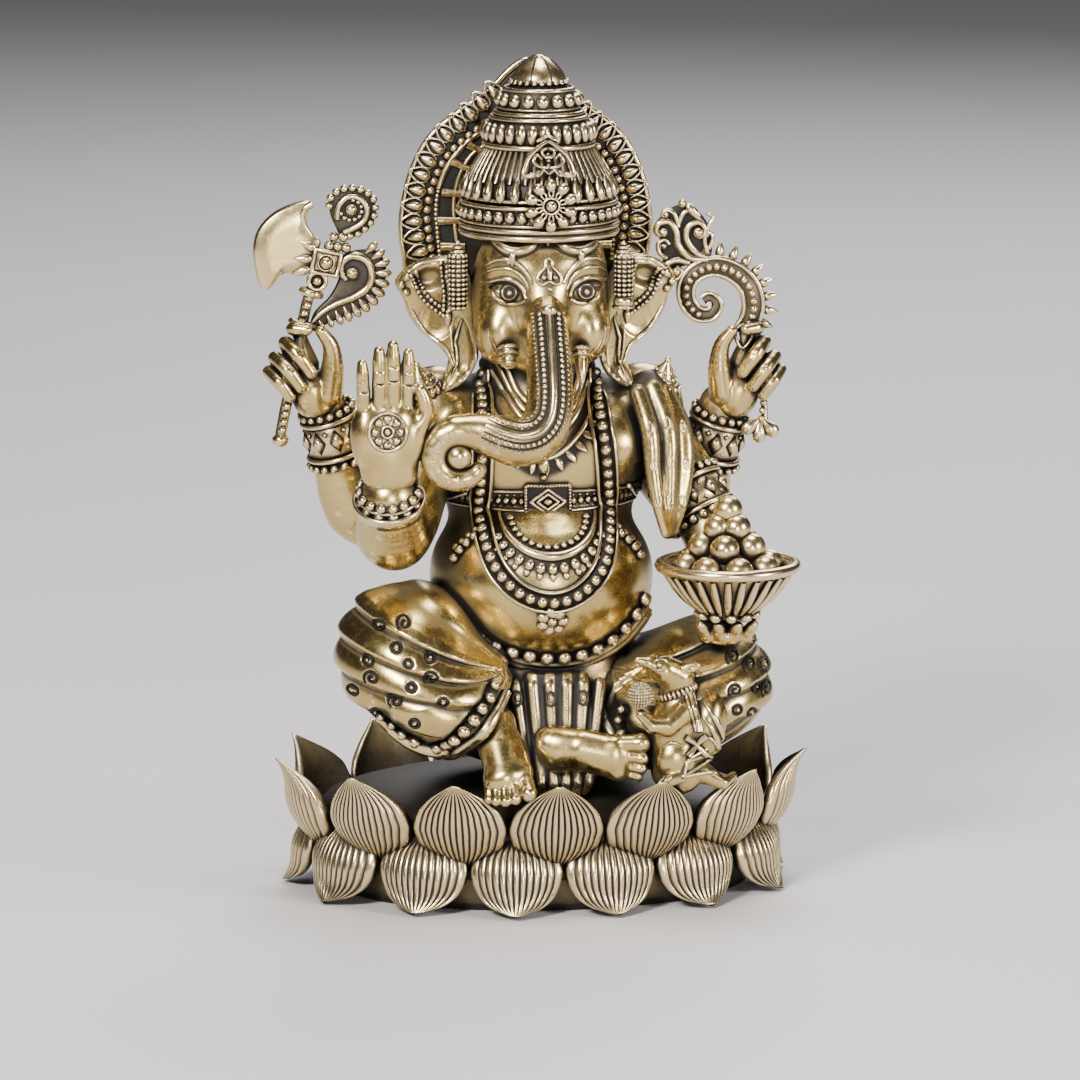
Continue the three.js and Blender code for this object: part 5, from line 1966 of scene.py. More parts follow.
def aimed(skin: Skin, foot: Point, axis: Point) -> Skin:
    """Turns an upright skin so that its axis lies along a direction.

    Args:
        skin: Skin made round the upright axis.
        foot: Where its origin goes.
        axis: The direction.

    Returns:
        The turned skin.
    """
    up = unit(axis)
    side = unit(np.cross((0, 1, 0) if abs(up[1]) < 0.9 else (1, 0, 0), up))
    ahead = np.cross(up, side)
    basis = np.stack([side, ahead, up])
    return Skin(skin.points @ basis + np.asarray(foot, float), skin.quads, skin.tris)


@dataclass
class Bracelet:
    """Rings of beads, rails and faceted studs round a forearm."""

    low: tuple[float, float, float]
    high: tuple[float, float, float]
    radius_low: float
    radius_high: float
    studs: int = 9
    bead: float = 0.58

    def put_on(self, piece: Casting) -> None:
        """Adds the bracelet's rings to a casting.

        Args:
            piece: The casting that carries them.
        """
        low, high = np.array(self.low), np.array(self.high)
        axis = unit(high - low)
        length = float(np.linalg.norm(high - low))

        def ring(share: float, out: float) -> Trail:
            """Gives a ring at a share of the height."""
            radius = self.radius_low + (self.radius_high - self.radius_low) * share + out
            return Trail.ring(low + axis * length * share, (radius, radius), 56, axis)

        band = [(self.radius_low + (self.radius_high - self.radius_low) * s + o, length * s) for s,
            o in ((0.08, -0.6), (0.1, 0.0), (0.84, 0.0), (0.86, -0.6))]
        piece.form(aimed(lathe(band, 48), low, axis))
        piece.beads(ring(0.0, 0.2), self.bead * 1.08, 2.5)
        piece.rail(ring(0.14, 0.18), 0.36)
        middle = ring(0.47, 0.05)
        piece.row(middle, Shape.STUD, self.studs, (1.15, length * 0.235, 1.0))
        offset = Trail(np.roll(middle.points, -round(28 / self.studs), 0), np.roll(middle.facing,
            -round(28 / self.studs), 0), True)
        for share in (-1, 1):
            piece.row(offset.shifted(share * length * 0.17, -0.1), Shape.STUD, self.studs, (0.5, 0.5, 0.5))
        piece.rail(ring(0.8, 0.18), 0.36)
        piece.beads(ring(0.94, 0.12), self.bead, 2.5)


@dataclass
class Hand:
    """A hand of clay rods: palm, thumb and fingers."""

    node: str
    balls: tuple[tuple[tuple[float, float, float], tuple[float, float, float]], ...]
    rods: tuple[tuple[tuple[tuple[float, float, float], ...], tuple[float, ...]], ...]
    creases: tuple[tuple[tuple[float, float, float], tuple[float, float, float]], ...] = ()
    cell: float = 0.2
    room: float = 1.6

    def model(self) -> Skin:
        """Models the hand.

        Returns:
            Its skin.
        """
        low, high = box_mm(self.node)
        clay = Clay(low - self.room, high + self.room, self.cell)
        for centre, radii in self.balls:
            clay.ball(centre, radii, 1.2)
        for path, radii in self.rods:
            smooth = np.linspace(0, len(radii) - 1, 3 * len(radii))
            clay.rod(Trail.through(path, count=len(smooth)).points, tuple(np.interp(smooth, range(len(radii)),
                radii)), 0.32)
        for start, end in self.creases:
            clay.rod([start, end], 0.16, 0.12, cut=True)
        return clay.skin()

    def build(self) -> None:
        """Models and places the hand."""
        piece = Casting(self.node, Brass.WORN)
        piece.form(self.model())
        piece.place()


def finger(root: Point, tip: Point, thick: float, bend: float = 0.0) -> tuple:
    """Gives a finger's path and radii, slightly fuller at its joints and tip.

    Args:
        root: Where it leaves the palm.
        tip: Its tip.
        thick: Its radius.
        bend: How far it bows forward.

    Returns:
        The path and the radius at each of its points.
    """
    root, tip = np.array(root, float), np.array(tip, float)
    path = [root + (tip - root) * s + np.array((0, -bend * math.sin(math.pi * s), 0)) for s in (0, 0.28, 0.5,
        0.72, 0.9, 1.0)]
    return tuple(map(tuple, path)), tuple(thick * r for r in (1.06, 0.98, 1.03, 0.94, 0.95, 0.72))


@dataclass
class Arms:
    """The four arms with their bracelets and hands."""

    palm: tuple[float, float, float] = (-23.9, -23.7, 70.4)

    def blessing_hand(self) -> None:
        """Models the raised open hand; a rosette stands on its palm."""
        x, y, z = self.palm
        fingers = [finger((x - 3.6, y - 0.2, z + 3.6), (x - 3.9, y - 1.0, z + 10.6), 0.98, 0.2),
            finger((x - 1.4, y - 0.3, z + 4.4), (x - 1.5, y - 1.1, z + 12.4), 1.06, 0.2), finger((x + 0.6,
            y - 0.3, z + 4.4), (x + 0.5, y - 1.1, z + 13.2), 1.1, 0.2), finger((x + 2.7, y - 0.2, z + 4.2),
            (x + 2.7, y - 1.0, z + 12.1), 1.02, 0.2)]
        creases = []
        for path, _ in fingers:
            root, tip = np.array(path[0]), np.array(path[-1])
            for share in (0.42, 0.66):
                spot = root + (tip - root) * share - (0, 1.22, 0)
                creases.append((tuple(spot - (0.85, -0.2, 0)), tuple(spot + (0.85, 0.2, 0))))
        hand = Hand("blessing_hand", (((x, y + 0.2, z + 0.6), (5.3, 2.1, 5.6)), ((x - 0.2, y + 0.4, z - 2.6),
            (4.6, 2.5, 3.0)), ((x + 0.1, y + 0.8, z - 5.2), (4.1, 2.7, 3.4)), ((x + 3.2, y - 0.7, z + 0.2),
            (2.1, 1.9, 3.6)), ((x - 3.2, y - 0.3, z), (2.0, 1.9, 4.0))), (*fingers, (((x + 3.9, y - 0.8,
            z + 1.2), (x + 5.1, y - 1.0, z + 3.6), (x + 4.9, y - 1.3, z + 5.4), (x + 4.4, y - 1.4, z + 6.8)),
            (1.6, 1.35, 1.15, 0.85))), tuple(creases))
        skin = hand.model()
        tree = skin.tree()
        piece = Casting("blessing_hand", Brass.WORN)
        piece.form(skin)
        middle = (x - 0.4, z + 0.9)

        def circle(radius: float, count: int = 24) -> Trail:
            """Gives a ring on the palm.

            Args:
                radius: Its radius.
                count: Number of points.

            Returns:
                The ring.
            """
            turn = np.linspace(0, 2 * math.pi, 12, endpoint=False)
            return flat_line([(middle[0] + radius * math.cos(t),
                middle[1] + radius * math.sin(t)) for t in turn], y - 3, count, True).pressed(tree, FRONT,
                0.12)

        piece.rail(circle(2.75), 0.24)
        piece.row(circle(1.75), Shape.DROP, 8, (0.85, 0.62, 0.5))
        piece.rail(circle(0.85), 0.2)
        piece.one(Shape.BEAD, circle(0.1, 8).points.mean(0), 0.5)
        piece.place()

    def front_cuff(self) -> None:
        """Makes the open cuff below the raised palm."""
        axis = unit(np.array((-0.10, -0.52, 0.85)))
        foot = np.array((-23.6, -20.6, 60.2))
        piece = Casting("front_right_bracelet", Brass.JEWEL)
        cup = [(3.9, -1.3), (4.75, -1.2), (5.0, 0.0), (5.05, 0.7), (4.6, 0.75), (3.4, 0.1), (1.0, 0.0)]
        piece.form(aimed(lathe(cup, 48), foot, axis))
        piece.rail(Trail.ring(foot + axis * 0.75, (5.0, 5.0), 60, axis), 0.36)
        piece.row(Trail.ring(foot + axis * 0.95, (4.25, 4.25), 60, axis), Shape.BEAD, 13, (0.85, 0.7, 0.7))
        piece.rail(Trail.ring(foot + axis * 1.7, (4.3, 4.3), 60, axis), 0.3)
        piece.beads(Trail.ring(foot + axis * 2.6, (4.2, 4.2), 60, axis), 0.72, 2.3)
        piece.place()

    def bowl_hand(self) -> None:
        """Models the hand that carries the bowl from below."""
        x, y, z = 25.0, -18.4, 40.0
        Hand("bowl_hand", (((x, y, z), (3.4, 3.8, 1.7)), ((x, y + 2.6, z + 0.2), (2.9, 2.4, 2.0))),
            tuple(finger((x + dx * 0.7, y - 2.2, z), (x + dx, y - 4.9 + abs(dx) * 0.25, z + 1.9),
            0.95) for dx in (-3.9, -1.5, 1.3, 3.7))).build()

    def fist(self, node: str, side: int, centre: tuple[float, float, float]) -> None:
        """Models a fist that pinches a staff between thumb and first finger.

        Args:
            node: CAD node of the hand.
            side: -1 on the right, 1 on the left.
            centre: Middle of the palm.
        """
        x, y, z = centre

        def at(across: float, front: float, up: float) -> tuple[float, float, float]:
            """Gives a place from the palm, with across outward."""
            return (x + side * across, y - front, z + up)

        curled = [((at(3.6, 1.2, 7.4), at(2.4, 3.4, 6.2), at(0.4, 3.4, 3.4)), (1.0, 1.08, 0.95)), ((at(5.2,
            1.2, 5.2), at(3.8, 3.5, 4.0), at(1.9, 3.5, 1.4)), (1.0, 1.08, 0.95)), ((at(6.2, 1.0, 3.2), at(4.9,
            3.2, 2.0), at(3.4, 3.2, -0.1)), (0.9, 0.98, 0.86))]
        back = [((at(0.2, -1.2, 2.0), at(2.6, -1.4, 5.4), at(3.9, 0.6, 7.4)), (2.0, 1.4, 1.0)), ((at(0.8,
            -1.2, 0.8), at(4.0, -1.2, 3.6), at(5.4, 0.6, 5.2)), (2.0, 1.4, 1.0)), ((at(1.0, -0.8, -0.4),
            at(4.6, -0.8, 1.6), at(6.3, 0.4, 3.2)), (2.0, 1.3, 0.9))]
        thumb = ((at(-2.4, 1.4, 0.0), at(-2.9, 1.8, 4.2), at(-2.6, 2.2, 7.2), at(-1.2, 2.6, 9.3)), (2.0, 1.75,
            1.25, 0.85))
        first = ((at(0.4, -0.8, 4.0), at(1.8, -0.2, 8.6), at(2.9, 1.6, 9.6), at(0.9, 2.6, 9.5)), (1.6, 1.05,
            0.95, 0.85))
        Hand(node, ((at(0, 0.4, 0.4), (3.3, 2.9, 3.0)), (at(-0.6, 0.4, -1.6), (2.9, 2.7, 2.4))), (thumb,
            first, *back, *curled), tuple((at(3.0 + 1.5 * k, 4.55, 7.2 - 2.1 * k), at(1.8 + 1.5 * k, 4.4,
            6.2 - 2.2 * k)) for k in range(2)), room=2.4).build()

    def build(self) -> None:
        """Builds arms, bracelets and hands."""
        Limb("front_right_arm", ((-15.0, -0.8, 67.5), (-19.0, -5.6, 60.0), (-22.3, -13.4, 54.6), (-23.2,
            -18.2, 58.0), (-23.7, -21.2, 61.0)), (5.2, 5.2, 5.6, 5.2, 4.2)).build()
        self.front_cuff()
        self.blessing_hand()
        Limb("front_left_arm", ((15.0, -0.6, 68.0), (21.0, -3.2, 60.0), (24.4, -6.6, 53.0), (24.6, -11.2,
            47.4), (24.5, -14.4, 43.0)), (5.2, 4.9, 4.7, 3.9, 3.2), Bracelet((23.6, -5.6, 54.6), (20.6, -3.2,
            60.4), 4.85, 5.05, studs=10, bead=0.62)).build()
        self.bowl_hand()
        Limb("rear_right_arm", ((-14.2, 3.2, 66.4), (-20.4, 5.6, 59.0), (-25.2, 6.2, 54.2), (-28.2, 4.9,
            60.2), (-30.6, 3.4, 68.6), (-31.2, 3.2, 70.8)), (5.2, 5.0, 5.0, 4.6, 3.5, 3.3)).build()
        right = Casting("rear_right_bracelet", Brass.JEWEL)
        Bracelet((-28.6, 4.4, 62.9), (-30.9, 3.2, 70.6), 4.45, 3.75).put_on(right)
        right.place()
        Limb("rear_left_arm", ((14.2, 3.2, 66.4), (19.6, 5.6, 59.4), (23.6, 6.4, 54.4), (24.8, 5.4, 59.6),
            (26.6, 3.8, 67.2), (27.2, 3.4, 69.8)), (5.2, 4.9, 4.7, 4.4, 3.5, 3.3)).build()
        left = Casting("rear_left_bracelet", Brass.JEWEL)
        Bracelet((25.2, 5.0, 61.6), (27.2, 3.5, 69.2), 4.4, 3.75).put_on(left)
        left.place()
        self.fist("axe_hand", -1, (-33.0, 2.0, 72.9))
        self.fist("goad_hand", 1, (29.4, 2.2, 72.0))


# ---------------------------------------------------------------- what the hands hold

def plate(outline: Trail, centre: tuple[float, float], y: float, half: float, edge: float = 0.12,
        bow: Callable[..., np.ndarray] | None = None, relief: Callable[...,
        np.ndarray] | None = None) -> Skin:
    """Makes a flat plate with rounded edges, or a bowed one with relief on its front.

    Args:
        outline: Closed line round it, in the plane it stands in.
        centre: Place that sees the whole outline, as x and z.
        y: Depth of its middle.
        half: Half its thickness.
        edge: Share of the way to the middle that the rounding takes.
        bow: Gives how far back the whole plate bends at x and z.
        relief: Gives how far the front stands out at x and z.

    Returns:
        The plate.
    """
    inner = list(np.linspace(0.03, 1 - edge, 26 if relief else 3))
    section = [(s, -1.0) for s in inner] + [(1 - edge * 0.35, -0.8), (1.0, -0.3), (1.0, 0.3),
        (1 - edge * 0.35, 0.8), (1 - edge, 1.0), (0.5, 1.0), (0.02, 1.0)]
    middle = np.array((centre[0], y, centre[1]))
    reach = (outline.points - middle) * (1, 0, 1)
    rows = np.stack([middle + reach * share + np.array((0, half * depth, 0)) for share, depth in section])
    if relief:
        rows[:len(inner), :, 1] -= relief(rows[:len(inner), :, 0], rows[:len(inner), :, 2])
    if bow:
        rows[..., 1] += bow(rows[..., 0], rows[..., 2])
    count, around = rows.shape[:2]
    quads = [(r * around + k, r * around + (k + 1) % around, (r + 1) * around + (k + 1) % around,
        (r + 1) * around + k) for r in range(count - 1) for k in range(around)]
    points = np.vstack([rows.reshape(-1, 3), rows[0].mean(0), rows[-1].mean(0)])
    poles = (len(points) - 2, len(points) - 1)
    last = (count - 1) * around
    tris = [(poles[0], (k + 1) % around, k) for k in range(around)]
    tris += [(poles[1], last + k, last + (k + 1) % around) for k in range(around)]
    return Skin(points, np.array(quads), np.array(tris)).outward()


def block(centre: tuple[float, float, float], wide: float, tall: float, half: float,
        turn: float = 0.0) -> Skin:
    """Makes a thin rectangular block that faces the front.

    Args:
        centre: Its middle.
        wide: Half its width.
        tall: Half its height.
        half: Half its depth.
        turn: Turn about the depth, in degrees.

    Returns:
        The block.
    """
    a = math.radians(turn)
    corners = [(-wide, -tall), (wide, -tall), (wide, tall), (-wide, tall)]
    line = []
    for (x0, z0), (x1, z1) in zip(corners, corners[1:] + corners[:1]):
        line += [(x0 + (x1 - x0) * s, z0 + (z1 - z0) * s) for s in (0, 0.05, 0.5, 0.95)]
    spots = np.array([(centre[0] + x * math.cos(a) - z * math.sin(a), centre[1],
        centre[2] + x * math.sin(a) + z * math.cos(a)) for x, z in line])
    return plate(Trail(spots, np.tile((0, -1, 0), (len(spots), 1)), True), (centre[0], centre[2]), centre[1],
        half)


@dataclass
class Axe:
    """The axe: beaded staff, hub, blade and two scrolls."""

    y: float = 2.0
    hub: tuple[float, float] = (-30.9, 92.0)

    def staff(self) -> None:
        """Makes the staff with its butt, rings and hub."""
        piece = Casting("axe_handle", Brass.WORN)
        x, z = self.hub
        y = self.y
        grip = Trail.through([(-37.7, 0.3, 67.0), (-36.9, 0.5, 71.0), (-35.6, 1.4, 76.5), (-34.4, y, 82.5),
            (-33.2, y, 87.4), (x, y, z)], (0, -1, 0), 60)
        piece.rail(grip, 0.85)
        piece.beads(Trail.through([(-37.5, -0.5, 67.8), (-36.6, -0.3, 72.4)], count=8), 0.62, 1.9)
        piece.one(Shape.BEAD, (-37.75, 0.2, 66.2), (1.25, 1.1, 1.2))
        piece.beads(Trail.through([(-34.5, y - 0.7, 83.4), (-33.3, y - 0.7, 86.9)], count=8), 0.7, 1.6)
        for spot, radius in (((-34.2, y, 82.9), 1.75), ((-33.0, y, 87.5), 1.35)):
            piece.rail(Trail.ring(spot, (radius, radius), 28, unit((0.3, 0, 1))), 0.55)
            piece.form(aimed(lathe([(0.05, -0.3), (radius, -0.3), (radius, 0.3), (0.05, 0.3)], 20), spot,
                (0.3, 0, 1)))
        ring = Trail.ring((-32.2, y - 1.0, 89.3), (1.25, 1.25), 28, (0, -1, 0), outward=False)
        piece.form(aimed(lathe([(0.05, -1.2), (1.3, -1.2), (1.3, 0.9), (0.05, 0.9)], 24), (-32.2, y, 89.3),
            (0, -1, 0)))
        piece.rail(ring, 0.36)
        piece.one(Shape.BEAD, (-32.2, y - 0.9, 89.3), 0.72)
        piece.form(block((x, y, z), 2.0, 1.75, 1.15, -12))
        a = math.radians(-12)
        frame = [(x + u * math.cos(a) - v * math.sin(a), y - 1.2,
            z + u * math.sin(a) + v * math.cos(a)) for u, v in ((-1.9, -1.65), (0, -1.65), (1.9, -1.65), (1.9,
            0), (1.9, 1.65), (0, 1.65), (-1.9, 1.65), (-1.9, 0))]
        piece.rail(Trail(np.array(frame), np.tile((0.0, -1.0, 0.0), (8, 1)), True), 0.34)
        piece.one(Shape.BEAD, (x, y - 1.2, z), 1.0)
        piece.rail(Trail.ring((x, y - 1.15, z), (1.15, 1.15), 24, (0, -1, 0), outward=False), 0.2)
        piece.row(Trail.through([(-30.4, y - 0.6, 94.4), (-28.0, y - 0.6, 94.1)], count=4), Shape.BEAD, 3,
            0.82)
        piece.row(Trail.through([(-29.7, y - 0.5, 95.7), (-28.3, y - 0.5, 95.6)], count=4), Shape.BEAD, 2,
            0.75)
        piece.place()

    def blade(self) -> None:
        """Makes the crescent blade with its curled tip and three drops."""
        piece = Casting("axe_blade", Brass.WORN)
        rim = flat_line([(-33.0, 100.5), (-33.6, 99.0), (-33.5, 97.4), (-32.6, 96.0), (-31.6, 95.0), (-32.4,
            92.6), (-33.4, 90.9), (-35.6, 90.6), (-37.4, 90.2), (-38.4, 89.1), (-39.4, 88.0), (-40.5, 88.7),
            (-41.1, 91.0), (-41.4, 94.2), (-40.6, 97.0), (-38.4, 99.3), (-35.6, 100.6), (-33.6, 101.0)],
            self.y, 120, True)
        piece.form(plate(rim, (-36.8, 93.6), self.y, 0.95, 0.07))
        piece.rail(flat_line([(-32.9, 100.5), (-34.0, 99.8), (-34.3, 98.6), (-33.9, 97.2), (-33.0, 96.0)],
            self.y - 0.75, 24), 0.42, (1.5, 1.0, 0.5))
        for spot, out in (((-32.9, 94.3), (-1.9, 1.0)), ((-33.5, 92.6), (-2.2, 0.1)), ((-33.9, 91.0), (-1.8,
                -0.6))):
            piece.one(Shape.DROP, (spot[0] + out[0] * 0.35, self.y - 0.9, spot[1] + out[1] * 0.35), (0.95,
                1.6, 0.8), (out[0], 0, out[1]))
        piece.place()

    def scrolls(self) -> None:
        """Makes the two scrolls on the blunt side."""
        y = self.y
        upper = Casting("axe_upper_scroll", Brass.JEWEL)
        outer = flat_line([(-28.6, 95.8), (-26.4, 96.0), (-24.4, 97.6), (-23.7, 99.7), (-24.2, 101.5), (-26.0,
            102.6), (-28.2, 102.7), (-30.0, 101.7), (-30.4, 100.2)], y - 0.6, 60)
        inner = flat_line([(-29.3, 98.3), (-29.0, 100.2), (-27.7, 101.5), (-26.0, 101.3), (-24.9, 99.8),
            (-25.4, 98.0), (-27.0, 96.9), (-28.3, 96.4)], y - 0.8, 60)
        body = flat_line([(-28.4, 95.4), (-26.2, 95.8), (-24.2, 97.2), (-23.5, 99.6), (-24.2, 101.6), (-26.2,
            102.7), (-28.6, 102.6), (-30.3, 101.3), (-30.2, 99.0), (-29.4, 97.0)], y, 60, True)
        # The scroll's plate is painted dark on its front: painted shade behind the beads and rail, with
        # patina.
        upper.ground(plate(body, (-27.0, 99.6), y, 0.75), 0.75)
        upper.beads(outer, 0.62, 2.0)
        upper.rail(inner, 0.46)
        upper.one(Shape.BEAD, (-27.2, y - 0.8, 99.7), 0.95)
        upper.beads(Trail.ring((-27.2, y - 0.7, 99.6), (1.55, 1.45), 36, (0, -1, 0), start=200, sweep=240,
            outward=False), 0.4, 2.0)
        upper.place()
        lower = Casting("axe_lower_scroll", Brass.JEWEL)
        hook = flat_line([(-27.9, 89.5), (-28.7, 90.6), (-28.4, 92.1), (-26.9, 92.9), (-25.0, 92.2), (-24.2,
            90.3), (-24.8, 88.3), (-26.8, 86.9), (-29.4, 85.9), (-31.6, 84.6), (-33.2, 82.9)], y - 0.7, 80)
        leaf = flat_line([(-33.0, 82.2), (-29.6, 83.4), (-26.4, 84.8), (-23.8, 86.6), (-22.3, 89.0), (-22.2,
            91.6), (-23.6, 93.6), (-26.8, 93.6), (-28.9, 92.4), (-29.0, 89.6), (-30.4, 86.9), (-32.6, 84.6)],
            y, 80, True)
        # The leaf plate is painted dark on its front: painted shade behind the hook and drops, with patina.
        lower.ground(plate(leaf, (-26.9, 88.7), y, 0.7), 0.75)
        lower.rail(hook, 0.62, (0.7, 1, 1, 0.8, 0.45))
        lower.one(Shape.BEAD, (-27.1, y - 0.9, 90.4), 0.95)
        fan = flat_line([(-31.6, 82.9), (-29.0, 84.0), (-26.4, 85.2), (-24.3, 86.8), (-23.1, 88.8), (-22.8,
            90.8), (-23.3, 92.6), (-24.4, 93.9)], y - 0.6, 60)
        lower.row(fan, Shape.DROP, 13, (0.78, 1.35, 0.7), (0.7, 1, 1.1, 1.15, 1.1, 1))
        lower.place()

    def build(self) -> None:
        """Builds the axe."""
        self.staff()
        self.blade()
        self.scrolls()


@dataclass
class Goad:
    """The curled goad: hook, scroll cluster and tassel."""

    y: float = 2.0

    def hook(self) -> None:
        """Makes the beaded hook with its drops."""
        y = self.y
        path = flat_line([(29.9, 80.6), (31.1, 82.6), (31.6, 85.0), (30.9, 87.6), (28.8, 89.7), (26.0, 90.6),
            (23.4, 89.9), (21.8, 87.9), (21.9, 85.4), (23.4, 83.7), (25.3, 83.6), (26.1, 84.9), (25.2, 86.0),
            (24.3, 85.5)], y, 130)
        piece = Casting("goad_hook", Brass.WORN)
        girth = (1.0, 1.15, 1.1, 1.0, 0.9, 0.75, 0.6)
        piece.rail(path, 1.3, girth, soot=0.7)
        sides = np.interp(np.linspace(0, 1, 130), np.linspace(0, 1, 7), girth)[:, None]
        across = unit(np.cross(path.facing, path.along()))
        for share in (-1, 1):
            piece.rail(Trail(path.points + across * sides * 1.2 * share - (0, 0.6, 0), path.facing), 0.42, (1,
                1, 0.8))
        top = Trail(path.points[8:104] - (0, 1.15, 0), path.facing[8:104])
        piece.beads(top, 0.56, 2.05, (1.1, 1, 0.8))
        crest = Trail(path.points[4:70] - (across * sides * 2.3)[4:70], path.facing[4:70])
        piece.row(Trail(crest.points[::-1], crest.facing[::-1]), Shape.DROP, 11, (0.92, 1.3, 0.9))
        frame = flat_line([(30.0, 78.6), (31.2, 80.0), (31.1, 81.6), (29.8, 82.0), (28.9, 80.9), (29.1,
            79.6)], y - 1.3, 30, True)
        piece.rail(frame, 0.26)
        piece.one(Shape.DROP, (30.1, y - 1.3, 80.3), (0.9, -1.4, 0.7))
        piece.rail(Trail.through([(33.3, 0.6, 67.6), (33.0, 1.2, 72.0), (31.6, y, 77.0), (30.0, y, 80.6)],
            count=30), 0.5)
        piece.place()

    def scroll(self) -> None:
        """Makes the cluster of scrolls behind the hook."""
        y = self.y
        piece = Casting("goad_scroll", Brass.JEWEL)
        backing = flat_line([(24.6, 90.9), (21.6, 90.6), (19.0, 90.2), (18.2, 92.2), (18.0, 94.4), (17.2,
            96.6), (18.6, 98.4), (20.6, 99.6), (22.6, 99.4), (24.6, 97.4), (25.4, 95.0), (25.6, 92.6)],
            y + 0.4, 60, True)
        # The backing is painted dark on its front: painted shade behind the curls, with patina.
        piece.ground(plate(backing, (21.6, 95.0), y + 0.4, 0.42), 0.85)
        curls = (([(24.9, 91.6), (22.4, 91.9), (20.6, 93.6), (20.2, 95.8), (19.2, 97.2), (17.7, 97.0), (17.3,
            95.8), (18.0, 95.2)], 0.6), ([(24.8, 91.9), (23.0, 92.8), (21.7, 94.8), (22.1, 96.6), (23.6,
            97.1), (24.5, 96.0), (23.9, 95.0), (23.1, 95.2)], 0.55), ([(22.2, 91.2), (20.4, 91.6), (18.9,
            91.0), (18.9, 89.4), (20.2, 88.8), (21.1, 89.8), (20.3, 90.6)], 0.5), ([(18.9, 91.9), (17.8,
            92.6), (17.6, 94.0), (18.5, 94.6), (19.2, 93.9)], 0.36), ([(20.6, 96.4), (19.9, 98.4), (18.7,
            98.9), (18.2, 98.2), (18.9, 97.9)], 0.36), ([(20.5, 96.9), (21.4, 98.6), (22.9, 98.9), (23.6,
            98.0)], 0.36), ([(24.8, 92.6), (24.4, 94.6), (25.0, 96.6), (25.7, 97.8), (24.7, 98.4)], 0.36),
            ([(25.0, 93.2), (25.6, 94.6), (25.2, 95.6), (24.7, 95.0)], 0.34))
        for line, radius in curls:
            piece.rail(flat_line(line, y - 0.5, 40), radius, (1, 1, 0.9, 0.75))
        for spot, radius in (((18.3, 95.7), 0.72), ((23.4, 95.6), 0.8), ((20.2, 89.9), 0.7), ((21.1, 99.9),
                0.62), ((18.7, 98.3), 0.4), ((18.4, 93.7), 0.42)):
            piece.one(Shape.BEAD, (spot[0], y - 0.7, spot[1]), radius)
        piece.one(Shape.DROP, (22.9, y - 0.6, 98.4), (0.9, 1.9, 0.7), (0.7, 0, -0.8))
        piece.place()

    def tassel(self) -> None:
        """Makes the three leaves that hang below the fist."""
        piece = Casting("goad_tassel", Brass.WORN)
        piece.beads(Trail.through([(33.0, 0.2, 70.6), (32.7, 0.2, 68.2)], count=8), 0.55, 1.9)
        for spot, way in (((31.2, 67.2), (-0.8, -0.6)), ((32.4, 66.3), (0.0, -1.0)), ((33.9, 66.9), (0.65,
                -0.75))):
            piece.one(Shape.DROP, (spot[0], 0.1, spot[1]), (1.35, 1.7, 0.9), (-way[0], 0, -way[1]))
        piece.place()

    def build(self) -> None:
        """Builds the goad."""
        self.hook()
        self.scroll()
        self.tassel()


@dataclass
class Bowl:
    """The fluted bowl and its heap of sweets."""

    centre: tuple[float, float] = (25.15, -20.3)
    foot: float = 42.7
    rim: float = 50.3
    radius: float = 9.9
    ball: float = 2.15
    flutes: int = 26

    def build(self) -> None:
        """Builds bowl and sweets."""
        x, y = self.centre
        piece = Casting("sweet_bowl", Brass.WORN)
        wall = [(0.0, self.foot - 0.1), (2.9, self.foot), (3.6, self.foot + 0.7), (4.4, self.foot + 1.5),
            (6.4, self.foot + 3.5), (8.5, self.rim - 1.3), (self.radius, self.rim - 0.1), (self.radius - 0.5,
            self.rim + 0.5), (self.radius - 1.4, self.rim - 0.1), (6.5, self.rim - 2.1), (2.6,
            self.rim - 3.9), (0.0, self.rim - 4.2)]
        piece.form(lathe(wall, 64, centre=(x, y, 0)))
        piece.rail(Trail.ring((x, y, self.rim), (self.radius - 0.15, self.radius - 0.15), 96), 0.82)
        for k in range(self.flutes):
            turn = 2 * math.pi * k / self.flutes
            way = np.array((math.cos(turn), math.sin(turn), 0))
            low = np.array((x, y, self.foot + 1.1)) + way * 4.15
            high = np.array((x, y, self.rim - 0.9)) + way * 9.1
            piece.rail(Trail.through([low, (low + high) / 2 + way * 0.12 - (0, 0, 0.25), high], unit(way - (0,
                0, 0.9)), 10), 0.62, (0.55, 1.0, 1.0, 0.7))
        piece.row(Trail.ring((x, y, self.foot + 0.5), (3.9, 3.9), 48), Shape.BEAD, 11, (0.85, 0.8, 1.1))
        piece.place()
        heap = Casting("sweets", Brass.WORN)
        layers = ((8, 6.15, 50.2, 8), (5, 3.7, 53.1, 40), (3, 1.55, 55.8, 75), (1, 0.0, 58.3, 0))
        balls = [lathe([(self.ball * math.cos(t), self.ball * math.sin(t)) for t in np.linspace(-math.pi / 2,
            math.pi / 2, 15)], 24, centre=(x + reach * math.cos(math.radians(first + 360 * k / count)),
            y + reach * math.sin(math.radians(first + 360 * k / count)), z)) for count, reach, z,
            first in layers for k in range(count)]
        heap.form(*balls, lathe([(0, 47.4), (5.6, 48.4), (5.2, 50.2), (2.6, 53.4), (0, 56.0)], 32, centre=(x,
            y, 0)))
        heap.place()


